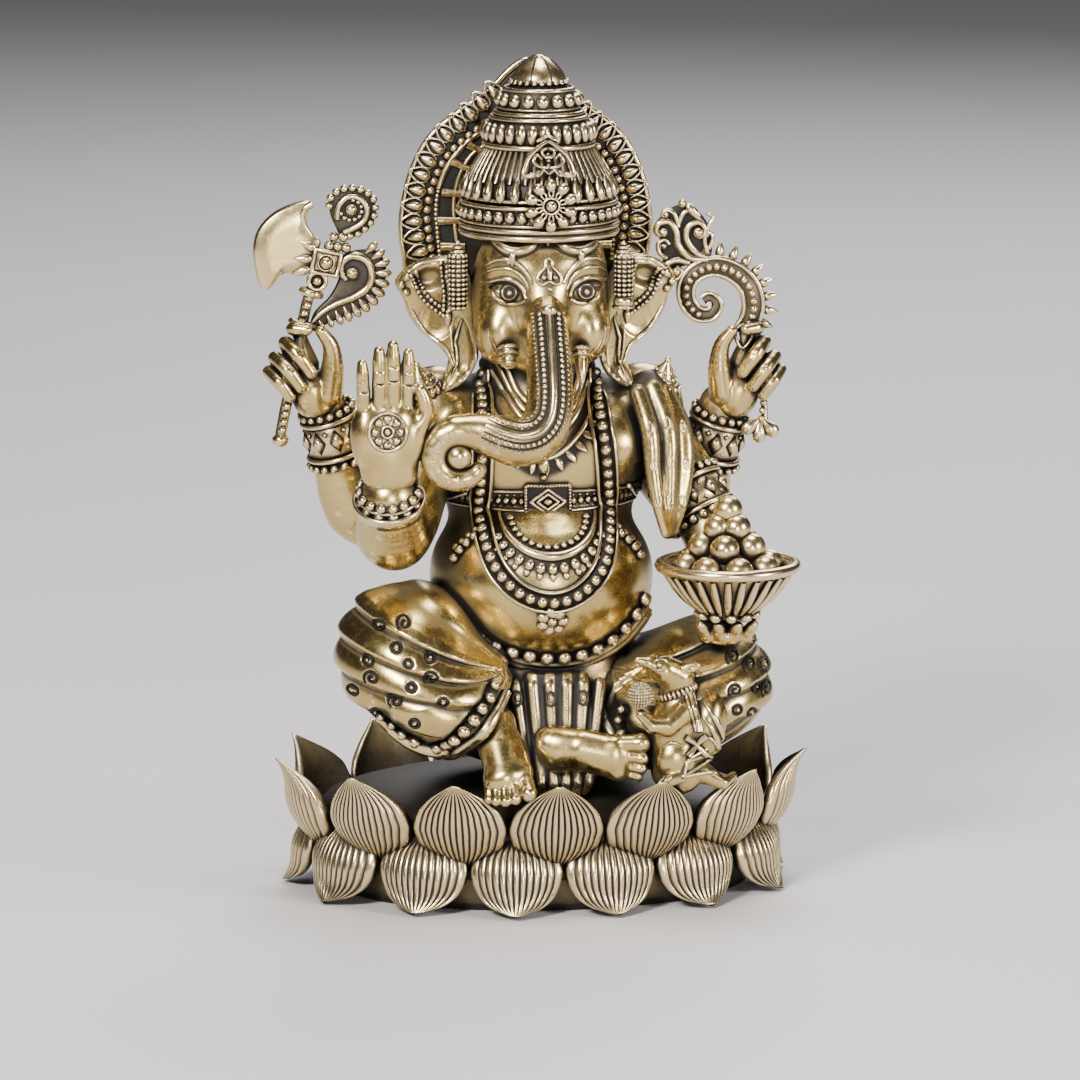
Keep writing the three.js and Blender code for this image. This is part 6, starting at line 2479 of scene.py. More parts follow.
@dataclass
class Cloth:
    """The folded cloth over the left shoulder and the two shoulder ornaments."""

    folds: tuple[tuple[tuple[float, float, float], ...], ...] = (((13.6, -8.0, 73.6), (14.9, -11.0, 68.6),
        (15.3, -12.2, 62.6), (16.0, -13.0, 57.8), (16.9, -13.4, 53.8)), ((16.0, -6.6, 74.2), (17.7, -9.8,
        68.6), (17.8, -11.4, 62.2), (17.6, -12.5, 57.4), (17.5, -13.2, 53.6)), ((18.0, -5.0, 73.4), (20.2,
        -7.8, 67.8), (20.3, -9.8, 61.8), (19.2, -11.4, 56.8), (18.1, -12.6, 53.8)))

    def sash(self) -> None:
        """Models the cloth as a few long rounded folds."""
        low, high = box_mm("shoulder_sash")
        clay = Clay(low - 1.4, high + 1.4, 0.24)
        clay.rod([(15.4, -4.6, 73.6), (17.6, -6.8, 68.0), (18.2, -8.8, 62.0), (18.0, -10.6, 57.4), (17.7,
            -11.8, 54.2)], (2.8, 3.1, 2.8, 2.1, 1.2))
        for path in self.folds:
            clay.rod(Trail.through(path, count=16).points, tuple(np.interp(np.linspace(0, 4, 16), range(5),
                (1.3, 1.4, 1.25, 1.0, 0.6))), 0.7)
        skin = clay.skin()
        tree = skin.tree()
        piece = Casting("shoulder_sash", Brass.FIGURE)
        crests = np.vstack([Trail.through(path, (0, -1, 0), 40).points[::2] for path in self.folds])[None, :,
            ::2]
        away = np.concatenate([np.min(np.linalg.norm(part[:, None, ::2] - crests, axis=2),
            axis=1) for part in np.array_split(skin.points, 12)])
        piece.form(skin, soot=np.clip((away - 0.75) / 0.6, 0, 1) * 0.85)
        for path in self.folds:
            line = Trail.through(path, (0, -1, 0), 40)
            for at in (10, 20, 30):
                spot = line.points[at]
                mark = flat_line(oval(spot[0], spot[2], 0.42, 0.85), spot[1], 14, True)
                piece.rail(mark.pressed(tree, FRONT, 0.02), 0.16)
        piece.place()

    def cap(self, node: str, side: int) -> None:
        """Makes the stepped shoulder ornament with its point.

        Args:
            node: CAD node of the ornament.
            side: -1 on the right, 1 on the left.
        """
        low, high = box_mm(node)
        x, y = (low[0] + high[0]) / 2, (low[1] + high[1]) / 2
        base = np.array((x, y, low[2] + 0.1))
        axis = unit((side * 0.25, -0.25, 1))
        piece = Casting(node, Brass.JEWEL)
        piece.form(aimed(lathe([(0, -0.6), (2.75, -0.3), (2.9, 0.4), (2.2, 0.8), (2.0, 1.3), (1.3, 2.6), (0.6,
            3.5), (0.25, 4.2), (0, 4.5)], 28), base, axis))
        piece.row(Trail.ring(base + axis * 0.25, (2.8, 2.8), 48, axis), Shape.DROP, 16, (0.5, 0.75, 0.5))
        piece.rail(Trail.ring(base + axis * 0.85, (2.25, 2.25), 36, axis), 0.24)
        piece.beads(Trail.ring(base + axis * 1.6, (1.85, 1.85), 36, axis), 0.3, 2.6)
        piece.beads(Trail.ring(base + axis * 2.5, (1.35, 1.35), 36, axis), 0.28, 2.8)
        piece.one(Shape.BEAD, base + axis * 4.1, 0.5)
        piece.place()

    def build(self) -> None:
        """Builds cloth and ornaments."""
        self.sash()
        self.cap("right_shoulder_cap", -1)
        self.cap("left_shoulder_cap", 1)


# ---------------------------------------------------------------- head

def mirrored(rows: Sequence[tuple[float, float]], side: int, axis: float = -0.15) -> list[tuple[float,
        float]]:
    """Gives x and z pairs as they are on the right, or mirrored for the left."""
    return [(x if side < 0 else 2 * axis - x, z) for x, z in rows]


@dataclass
class Head:
    """The elephant head: face, trunk, ears, tusks and tassels."""

    centre: tuple[float, float, float] = (-0.4, -4.5, 88.2)
    curl: tuple[float, float, float] = (-14.1, -24.6, 67.6)
    curl_radius: float = 3.55
    trunk_low: tuple[tuple[float, float, float], ...] = ((-0.4, -11.2, 89.2), (-0.45, -13.6, 87.0), (-0.5,
        -16.9, 83.0), (-0.6, -20.4, 77.6), (-0.9, -22.4, 73.4), (-2.6, -23.8, 70.2), (-5.8, -24.6, 69.3),
        (-9.0, -24.8, 70.4))

    def face(self) -> None:
        """Models the head and draws the face on it."""
        low, high = box_mm("head")
        clay = Clay(low - 1.4, high + 1.2, 0.3)
        x, y, z = self.centre
        clay.ball((x, y, z), (10.2, 9.5, 10.3))
        clay.ball((x, y - 1.8, z - 7.6), (5.6, 5.6, 4.6), 2.0)
        for side in (-1, 1):
            clay.ball((x + side * 3.8, y - 3.4, z + 5.2), (5.0, 5.6, 4.6), 2.4)
            clay.ball((x + side * 6.3, y - 3.7, z - 5.0), (3.6, 5.0, 5.0), 1.6)
        clay.rod([(x, y - 5.6, z + 5.0), (x, y - 7.4, z + 1.0), (x, y - 8.8, z - 3.0)], (2.6, 2.7, 3.1), 2.2)
        for side in (-1, 1):
            spot = (x + side * 5.75, y - 9.3, z + 0.9)
            clay.ball(spot, (2.5, 1.3, 1.5), 0.7, cut=True)
            clay.ball((spot[0], spot[1] + 1.5, spot[2]), (2.2, 1.5, 1.45), 0.12)
        skin = clay.skin()
        tree = skin.tree()
        piece = Casting("head", Brass.WORN)
        piece.form(skin)

        def draw(rows: Sequence[tuple[float, float]], radius: float, girth: Sequence[float] = (1, 1),
                count: int = 40, closed: bool = False, lift: float = 0.05) -> Trail:
            """Lays a rail on the face through x and z pairs.

            Args:
                rows: The x and z pairs.
                radius: Thickness of the rail.
                girth: Shares of the thickness.
                count: Number of points.
                closed: True joins the ends.
                lift: Distance that it stands off the face.

            Returns:
                The line.
            """
            trail = flat_line(rows, y - 20, count, closed).pressed(tree, FRONT, lift)
            piece.rail(trail, radius, girth)
            return trail

        for side in (-1, 1):
            draw(mirrored([(-8.9, 92.8), (-7.2, 94.0), (-5.0, 93.8), (-3.3, 92.2), (-2.4, 90.6)], side), 0.42,
                (0.5, 1, 1, 0.6))
            draw(mirrored([(-9.2, 91.5), (-7.4, 92.7), (-5.2, 92.6), (-3.7, 91.4), (-2.9, 89.8)], side), 0.3,
                (0.5, 1, 1, 0.5))
            draw(mirrored([(-9.3, 90.3), (-8.2, 90.6), (-6.8, 91.2), (-5.2, 91.1), (-3.8, 90.0), (-3.3,
                88.4)], side), 0.42, (0.5, 0.9, 1, 1, 0.6))
            draw(mirrored([(-8.4, 89.6), (-7.4, 88.5), (-5.8, 87.6), (-4.3, 87.7), (-3.3, 88.3)], side), 0.36,
                (0.6, 1, 1, 0.7))
            eye = mirrored([(-5.75, 89.3)], side)[0]
            for radius, girth, dark in ((1.3, 0.24, 1.0), (1.02, 0.2, 0.0), (0.72, 0.3, 1.0)):
                ring = flat_line(oval(*eye, radius, radius * 0.9), y - 20, 24, True)
                piece.rail(ring.pressed(tree, FRONT, -0.04), girth, soot=dark)
            piece.rail(flat_line(mirrored([(-8.2, 89.9), (-7.0, 90.7), (-5.4, 90.7), (-3.8, 89.4), (-3.5,
                88.4)], side), y - 20, 30).pressed(tree, FRONT, 0.0), 0.3, (0.4, 1, 1, 0.5), soot=1.0)
            piece.one(Shape.BEAD, touch(tree, *eye, 0.0, y - 20), (0.46, 0.46, 0.55))
            draw(mirrored([(-7.9, 81.9), (-7.2, 80.8), (-6.4, 80.2)], side), 0.16, (0.4, 1, 0.4), 14)
            draw(mirrored([(-8.6, 84.0), (-8.4, 82.0), (-7.4, 80.2)], side), 0.16, (0.4, 1, 0.4), 14)
            swag = draw(mirrored([(-7.9, 97.2), (-6.6, 95.7), (-4.9, 95.1), (-2.9, 95.5), (-1.0, 96.7)],
                side), 0.72, (0.6, 1, 1, 1, 0.6), lift=0.35)
            piece.rail(swag.shifted(-0.7 if side < 0 else 0.7, -0.4), 0.3, soot=1.0)
            draw(mirrored([(-11.0, 96.2), (-10.2, 95.1), (-9.2, 95.1), (-8.1, 96.8)], side), 0.4, (0.6, 1, 1,
                0.7), 20)
            for spot, size in ((mirrored([(-7.9, 96.7)], side)[0], (0.65, -1.15, 0.6)),):
                piece.one(Shape.DROP, touch(tree, *spot, 0.45, y - 20), size)
        piece.one(Shape.DROP, touch(tree, 0.0, 96.3, 0.4, y - 20), (0.8, -1.3, 0.7))
        draw([(0.0, 91.0), (-1.0, 90.5), (-1.75, 91.1), (-1.3, 92.2), (-0.5, 93.0), (-0.5, 93.8), (0.0, 94.2),
            (0.5, 93.8), (0.5, 93.0), (1.3, 92.2), (1.75, 91.1), (1.0, 90.5)], 0.3, closed=True, count=60)
        draw([(0.0, 93.2), (0.0, 91.2)], 0.5, (0.5, 1, 0.8), 12)
        for spot in ((-0.8, 91.5), (0.8, 91.5), (0.0, 89.9)):
            piece.one(Shape.BEAD, touch(tree, *spot, 0.1, y - 20), 0.42)
        piece.place()

    def trunk(self) -> None:
        """Models the trunk, its beaded strip and the sweet that it curls round."""
        low, high = box_mm("trunk")
        clay = Clay(low - 1.2, high + 0.6, 0.26)
        cx, cy, cz = self.curl
        turns = [(cx + self.curl_radius * math.cos(math.radians(a)), cy,
            cz + self.curl_radius * math.sin(math.radians(a))) for a in np.linspace(75, 340, 18)]
        path = Trail.through([*self.trunk_low, (-11.6, cy, 71.0), *turns[1:]], count=90)
        share = np.linspace(0, 1, 90)
        radii = np.interp(share, (0, 0.1, 0.3, 0.48, 0.58, 0.68, 0.8, 0.92, 1.0), (2.0, 2.75, 3.2, 3.45, 3.1,
            2.3, 1.85, 1.5, 1.15))
        for k in range(0, 87, 3):
            clay.rod(path.points[k:k + 4], tuple(radii[k:k + 4]), 0.5)
        skin = clay.skin()
        tree = skin.tree()
        piece = Casting("trunk", Brass.WORN)
        piece.form(skin)
        strip = flat_line([(-0.4, 86.6), (-0.4, 83.0), (-0.4, 79.0), (-0.5, 75.6), (-1.1, 73.0), (-2.7, 71.2),
            (-5.2, 70.6), (-7.8, 71.2), (-10.4, 72.3)], cy - 20, 120)

        def beside(off: float) -> Trail:
            """Lays a line at a distance beside the strip."""
            return strip.shifted(off).pressed(tree, FRONT, 0.05, 3)

        piece.rail(beside(0.0).shifted(0, -0.1), 0.66, (1, 1, 1, 0.9, 0.7, 0.4))
        piece.one(Shape.BEAD, beside(0.0).points[0] + np.array((0, 0.2, 0.6)), (1.2, 1.0, 0.8))
        for side in (-1, 1):
            piece.rail(beside(side * 0.86), 0.16, (1, 1, 1, 0.6), soot=1.0)
            piece.beads(beside(side * 1.3), 0.40, 2.1, (1, 1, 0.9, 0.6))
            piece.rail(beside(side * 1.78), 0.15, (1, 1, 1, 0.6), soot=1.0)
            piece.beads(beside(side * 2.2), 0.2, 3.6)
        outside = [(cx + (self.curl_radius + 0.3) * math.cos(math.radians(a)),
            cz + (self.curl_radius + 0.3) * math.sin(math.radians(a))) for a in range(90, 331, 20)]
        piece.beads(flat_line(outside, cy - 20, 80).pressed(tree, FRONT, 0.0), 0.15, 4.6)
        tip = flat_line([(cx + 3.3, cz - 1.0), (cx + 3.4, cz - 0.4)], cy - 20, 2).pressed(tree, FRONT, 0, 0)
        for off in (-0.35, 0.35):
            piece.rail(Trail.ring(tip.points[1] + (off, 0, 0.2), (0.2, 0.2), 10, (0, -1, 0), outward=False),
                0.1)
        for k in range(7):
            a = math.radians(110 + 26 * k)
            arc = [(cx + r * math.cos(a), cz + r * math.sin(a)) for r in (2.3, 3.5, 4.7)]
            piece.rail(flat_line(arc, cy - 20, 10).pressed(tree, FRONT, -0.04), 0.11, (0.4, 1, 0.4))
        piece.place()
        ball = Casting("trunk_sweet", Brass.WORN)
        ball.form(lathe([(2.0 * math.cos(t), 2.0 * math.sin(t)) for t in np.linspace(-math.pi / 2,
            math.pi / 2, 15)], 26, centre=(cx, cy - 0.2, cz)))
        ball.place()

    def ear(self, name: str, side: int) -> None:
        """Makes one ear with its folds and bead chains.

        Args:
            name: CAD node of the ear.
            side: -1 on the right, 1 on the left.
        """
        def own(rows: Sequence[tuple[float, float]]) -> list[tuple[float, float]]:
            """Moves x and z pairs to this side."""
            return mirrored(rows, side, -0.65)

        def bow(x: np.ndarray, z: np.ndarray) -> np.ndarray:
            """Bends the outer edge back and the tips forward."""
            out = np.abs(x + 0.65) - 9.0
            return 0.28 * out - 0.012 * (z - 84) ** 2 * (out < 20)

        def hollow(x: np.ndarray, z: np.ndarray, cx: float, cz: float, rx: float, rz: float,
                turn: float = 0.0) -> np.ndarray:
            """Gives a smooth oval hollow.

            Args:
                x: Places across.
                z: Heights.
                cx: Middle across.
                cz: Middle height.
                rx: Half width.
                rz: Half height.
                turn: Turn in degrees.

            Returns:
                Shares from 0 to 1.
            """
            u, v = np.abs(x + 0.65) - cx, z - cz
            c, s = math.cos(math.radians(turn)), math.sin(math.radians(turn))
            far = ((u * c + v * s) / rx) ** 2 + ((v * c - u * s) / rz) ** 2
            return np.clip(1.35 - far, 0, 1) ** 0.7

        def relief(x: np.ndarray, z: np.ndarray) -> np.ndarray:
            """Shapes the pierced top, the long lower fold and the sweep between them.

            Args:
                x: Places across.
                z: Heights.

            Returns:
                Heights in millimetres.
            """
            top = hollow(x, z, 15.8, 90.3, 2.1, 1.4, -18)
            fold = hollow(x, z, 10.9, 80.0, 1.25, 4.3, -8)
            tail = hollow(x, z, 12.4, 76.0, 0.8, 2.0, 30)
            sweep = hollow(x, z, 14.2, 84.4, 2.2, 3.2, 35)
            return 0.9 - 1.5 * top - 1.0 * fold - 0.5 * tail - 0.5 * sweep

        outline = flat_line(own([(-9.9, 86.4), (-10.6, 91.4), (-12.6, 93.3), (-14.8, 93.5), (-17.2, 92.9),
            (-19.5, 91.7), (-21.1, 89.5), (-20.0, 87.0), (-19.2, 84.6), (-17.3, 82.0), (-14.6, 79.8), (-13.3,
            77.6), (-13.6, 75.6), (-14.9, 73.6), (-12.8, 74.4), (-10.6, 76.0), (-9.5, 78.8), (-9.7, 82.4)]),
            -4.4, 160, True)
        middle = own([(-12.2, 82.6)])[0]
        skin = plate(outline, middle, -4.4, 0.55, 0.07, bow, relief)
        tree = skin.tree()
        piece = Casting(name, Brass.WORN)
        piece.form(skin)

        def lay(rows: Sequence[tuple[float, float]], lift: float = 0.1, count: int = 50) -> Trail:
            """Lays a line on the front of the ear."""
            return flat_line(own(rows), -30, count).pressed(tree, FRONT, lift)

        piece.rail(lay([(-13.9, 93.0), (-17.0, 92.5), (-19.2, 91.2)]), 0.42)
        piece.rail(lay([(-9.9, 82.6), (-9.8, 79.0), (-10.9, 76.4), (-12.8, 74.9), (-14.5, 73.9)]), 0.4, (0.5,
            1, 1, 0.7))
        piece.rail(lay([(-11.6, 84.4), (-12.6, 81.2), (-12.5, 78.4), (-13.2, 76.0)]), 0.34, (0.4, 1, 0.8,
            0.3))
        piece.rail(lay([(-18.9, 85.6), (-17.0, 82.4), (-14.2, 80.2), (-13.0, 77.6)]), 0.36, (0.5, 1, 1, 0.5))
        for rows in ([(-14.4, 93.1), (-14.1, 90.4), (-13.8, 87.6), (-13.9, 84.8)], [(-18.8, 91.4), (-17.9,
                89.0), (-16.4, 86.9), (-13.9, 85.0)]):
            for off in (-0.42, 0.42):
                piece.beads(lay(rows).shifted(off), 0.38, 2.0)
        drop = lay([(-13.6, 84.2), (-13.6, 83.2)], 0.3, 3)
        piece.one(Shape.DROP, drop.points[0], (0.75, -1.1, 0.6))
        for spot in ((-20.3, 89.2), (-19.6, 88.2), (-19.5, 90.4)):
            piece.one(Shape.BEAD, lay([spot, (spot[0] + 0.1, spot[1])], 0.2, 3).points[0], 0.6)
        piece.place()

    def tusks(self) -> None:
        """Makes the whole left tusk and the broken right one."""
        for name, x, top, radius, tip in (("right_tusk", -5.8, 81.2, 1.4, None), ("left_tusk", 4.55, 80.9,
                1.15, 76.0)):
            piece = Casting(name, Brass.WORN)
            axis = unit((0, -0.42, -1))
            foot = np.array((x, -13.6, top))
            piece.form(aimed(lathe([(0, -0.6), (radius, -0.4), (radius, 0.9), (radius * 0.78,
                1.1)] + ([(radius * 0.8, 1.6), (radius * 0.74, 2.6), (radius * 0.5, 2.8), (0,
                2.5)] if tip is None else [(radius * 0.8, 1.5), (radius * 0.74, 3.0), (radius * 0.4, 4.6), (0,
                5.3)]), 28), foot, axis))
            for along in (0.0, 0.8):
                piece.rail(Trail.ring(foot + axis * along, (radius, radius), 32, axis), 0.26)
            if tip is None:
                piece.rail(Trail.ring(foot + axis * 2.3, (radius * 0.78, radius * 0.78), 32, axis), 0.22)
            piece.place()

    def tassel(self, name: str, x: float, top: float, levels: int, skirt: float) -> None:
        """Makes a stack of beaded rings that hangs in front of an ear.

        Args:
            name: CAD node of the tassel.
            x: Its middle.
            top: Height of its top.
            levels: Number of beaded rings.
            skirt: Height of the plain cap at the foot.
        """
        y = -8.8
        piece = Casting(name, Brass.JEWEL)
        pitch = 0.68
        foot = top - 1.9 - levels * pitch
        piece.form(lathe([(0, foot), (1.1, foot + 0.1), (1.1, top - 1.8), (0.5, top - 0.8), (0, top - 0.2)],
            20, centre=(x, y, 0)))
        piece.one(Shape.BEAD, (x, y, top - 0.3), 0.42)
        for z, radius in ((top - 0.9, 0.55), (top - 1.45, 0.9)):
            piece.rail(Trail.ring((x, y, z), (radius, radius), 24), 0.26)
        for k in range(levels):
            piece.row(Trail.ring((x, y, top - 2.1 - k * pitch), (1.18, 1.18), 32), Shape.BEAD, 10, (0.38,
                0.33, 0.34))
        if skirt:
            piece.form(lathe([(0, foot - skirt), (1.5, foot - skirt), (1.45, foot - 0.4), (1.2, foot + 0.1),
                (0, foot + 0.2)], 24, centre=(x, y, 0)))
            piece.rail(Trail.ring((x, y, foot - skirt + 0.1), (1.45, 1.45), 32), 0.22)
        piece.place()

    def build(self) -> None:
        """Builds the head."""
        self.face()
        self.trunk()
        self.ear("right_ear", -1)
        self.ear("left_ear", 1)
        self.tusks()
        self.tassel("right_ear_tassel", -12.7, 96.2, 12, 0.0)
        self.tassel("left_ear_tassel", 11.3, 95.8, 9, 1.5)


# ---------------------------------------------------------------- crown and halo

@dataclass
class Crown:
    """The tiered crown with its flower, crest and finial."""

    x: float = -0.35
    y: float = -3.0
    squash: float = 1.0

    def tier(self, profile: Sequence[Point]) -> Skin:
        """Turns one tier about the crown's axis."""
        return lathe(profile, 96, centre=(self.x, self.y, 0))

    def around(self, z: float, radius: float, lean: float = 0.0) -> Trail:
        """Gives a ring of the crown; a lean tips what stands on it outward.

        Args:
            z: Height of the ring.
            radius: Its radius.
            lean: Upward part of the facing.

        Returns:
            The ring.
        """
        ring = Trail.ring((self.x, self.y, z), (radius, radius), 144)
        ring.facing = unit(ring.facing + np.array((0, 0, lean)))
        return ring

    def ribs(self, piece: Casting, side: Sequence[Point], count: int, radius: float, start: float = 0.0,
            soot: float = 0.0) -> None:
        """Lays ribs up a tier, evenly round it.

        Args:
            piece: The casting.
            side: Radius and height pairs of one rib.
            count: Number of ribs.
            radius: Their thickness.
            start: Turn of the first one, in ribs.
            soot: Patina and painted shade laid on them.
        """
        for k in range(count):
            turn = 2 * math.pi * (k + start) / count
            way = np.array((math.cos(turn), math.sin(turn), 0))
            line = [np.array((self.x, self.y, z)) + way * r for r, z in side]
            piece.rail(Trail.through(line, way, 8), radius, soot=soot)

    def band(self) -> None:
        """Makes the brow band."""
        piece = Casting("crown_band", Brass.JEWEL)
        piece.form(self.tier([(0, 96.6), (11.0, 96.6), (11.3, 97.4), (11.1, 98.2), (11.1, 101.4), (0,
            101.5)]))
        for z, radius, thick in ((97.0, 11.2, 0.5), (98.0, 11.3, 0.42), (98.75, 11.2, 0.26), (101.3, 11.2,
                0.36)):
            piece.rail(self.around(z, radius), thick)
        piece.beads(self.around(100.05, 11.3), 0.86, 2.06)
        for height in (99.2, 100.95):
            piece.row(self.around(height, 11.15), Shape.BEAD, 80, 0.2)
        piece.place()

    def petals(self) -> None:
        """Makes the row of upright drops."""
        piece = Casting("crown_petal_row", Brass.JEWEL)
        piece.form(self.tier([(0, 101.9), (10.5, 101.9), (10.4, 103.0), (9.9, 104.6), (9.4, 105.6), (0,
            105.7)]), soot=0.7)
        piece.row(self.around(103.75, 10.6, 0.18), Shape.DROP, 30, (1.06, 1.95, 1.15))
        piece.rail(self.around(102.2, 10.8), 0.3)
        piece.place()

    def dome(self) -> None:
        """Makes the ribbed dome."""
        piece = Casting("crown_dome", Brass.JEWEL)
        side = [(10.2, 104.6), (9.6, 105.9), (8.6, 107.6), (7.5, 109.3)]
        piece.form(self.tier([(0, 104.7), *side, (0, 111.2)]), soot=0.5)
        self.ribs(piece, side, 54, 0.34)
        piece.place()

    def tiers(self) -> None:
        """Makes the two beaded tiers and the finial."""
        lower = Casting("crown_bead_tier", Brass.JEWEL)
        lower.form(self.tier([(0, 109.4), (7.4, 109.4), (7.7, 110.4), (7.8, 111.8), (7.0, 113.0), (6.3,
            113.7), (0, 114.4)]), soot=0.6)
        lower.row(self.around(111.5, 7.7, 0.1), Shape.BEAD, 29, (0.86, 1.5, 0.85))
        lower.rail(self.around(109.6, 7.75), 0.5)
        lower.rail(self.around(113.45, 6.85), 0.34)
        lower.place()
        upper = Casting("crown_top_tier", Brass.JEWEL)
        upper.form(self.tier([(0, 113.8), (6.0, 113.8), (5.6, 114.6), (5.7, 116.0), (5.2, 117.3), (4.0,
            118.0), (3.7, 118.6), (0, 118.7)]), soot=0.6)
        upper.rail(self.around(114.1, 6.25), 0.42)
        upper.rail(self.around(114.85, 5.8), 0.26)
        upper.row(self.around(116.05, 5.65, 0.2), Shape.BEAD, 17, (0.96, 1.05, 0.9))
        upper.rail(self.around(117.5, 4.95), 0.36)
        upper.place()
        finial = Casting("crown_finial", Brass.JEWEL)
        finial.form(self.tier([(0, 118.2), (3.9, 118.2), (4.0, 118.8), (3.6, 119.8), (2.7, 120.9), (1.5,
            121.9), (0.5, 122.35), (0, 122.4)]))
        finial.beads(self.around(118.5, 4.1), 0.42, 2.6)
        self.ribs(finial, ((4.0, 118.8), (2.7, 120.95), (0.7, 122.2)), 8, 0.16, 0.5, 1.0)
        finial.place()

    def flower(self) -> None:
        """Makes the pierced flower on the band."""
        piece = Casting("crown_flower", Brass.JEWEL)
        centre = np.array((0.1, -15.4, 102.0))

        def petal(turn: float, reach: float) -> tuple[np.ndarray, np.ndarray]:
            """Gives a place round the flower and the way out to it."""
            way = np.array((math.cos(turn), 0, math.sin(turn)))
            return centre + way * reach, way

        piece.form(aimed(lathe([(0, -0.3), (2.9, -0.2), (3.0, 0.2), (0, 0.5)], 48), centre + (0, 0.6, 0), (0,
            -1, 0)))
        for k in range(10):
            turn = 2 * math.pi * (k + 0.5) / 10
            spot, way = petal(turn, 2.85)
            piece.one(Shape.BEAD, spot, (0.85, 1.05, 0.75), way)
            slot, way = petal(turn, 1.85)
            across = np.cross(way, (0, -1, 0))
            eye = [slot + across * 0.32 * math.cos(t) + way * 0.55 * math.sin(t) + (0, -0.35,
                0) for t in np.linspace(0, 2 * math.pi, 9)[:-1]]
            piece.rail(Trail.through(eye, (0, -1, 0), 14, True), 0.15)
        piece.rail(Trail.ring(centre - (0, 0.5, 0), (1.15, 1.15), 28, (0, -1, 0), outward=False), 0.2)
        piece.one(Shape.BEAD, centre - (0, 0.45, 0), 0.85)
        piece.place()

    def crest(self) -> None:
        """Makes the pointed arch with its knot of scrolls, just above the flower."""
        piece = Casting("crown_crest", Brass.JEWEL)
        y = -14.0

        def line(rows: Sequence[tuple[float, float]], radius: float, count: int = 30) -> None:
            """Lays a rail that leans back with the dome.

            Args:
                rows: The x and z pairs.
                radius: Thickness of the rail.
                count: Number of points.
            """
            trail = flat_line(rows, y, count)
            trail.points[:, 1] += (trail.points[:, 2] - 106.5) * 0.42
            piece.rail(trail, radius, (0.7, 1, 1, 0.7))

        for side in (-1, 1):
            line(mirrored([(-0.1, 110.9), (-1.2, 110.2), (-2.6, 109.0), (-3.4, 107.6), (-3.6, 106.4), (-2.4,
                106.1), (-1.4, 106.8)], side, 0.0), 0.38)
            line(mirrored([(-1.6, 110.9), (-0.8, 111.2), (0.0, 111.7)], side, 0.0), 0.3, 12)
            line(mirrored([(-0.1, 107.2), (-1.3, 107.4), (-2.2, 108.2), (-1.6, 109.0), (-0.9, 108.4)], side,
                0.0), 0.26)
            line(mirrored([(-0.2, 109.9), (-0.9, 109.5), (-0.5, 108.8), (0.5, 108.6)], side, 0.0), 0.22)
            line(mirrored([(0.0, 106.4), (-0.8, 106.9), (-1.6, 106.2), (-2.8, 106.5)], side, 0.0), 0.24)
        trail = flat_line([(0.0, 106.6), (0.0, 110.6)], y + 0.5, 6)
        trail.points[:, 1] += (trail.points[:, 2] - 106.5) * 0.42
        piece.beads(trail, 0.34, 2.6)
        piece.one(Shape.DROP, (0.0, y + 2.2, 112.0), (0.55, 0.85, 0.5))
        piece.place()

    def build(self) -> None:
        """Builds the crown."""
        self.band()
        self.petals()
        self.dome()
        self.tiers()
        self.flower()
        self.crest()


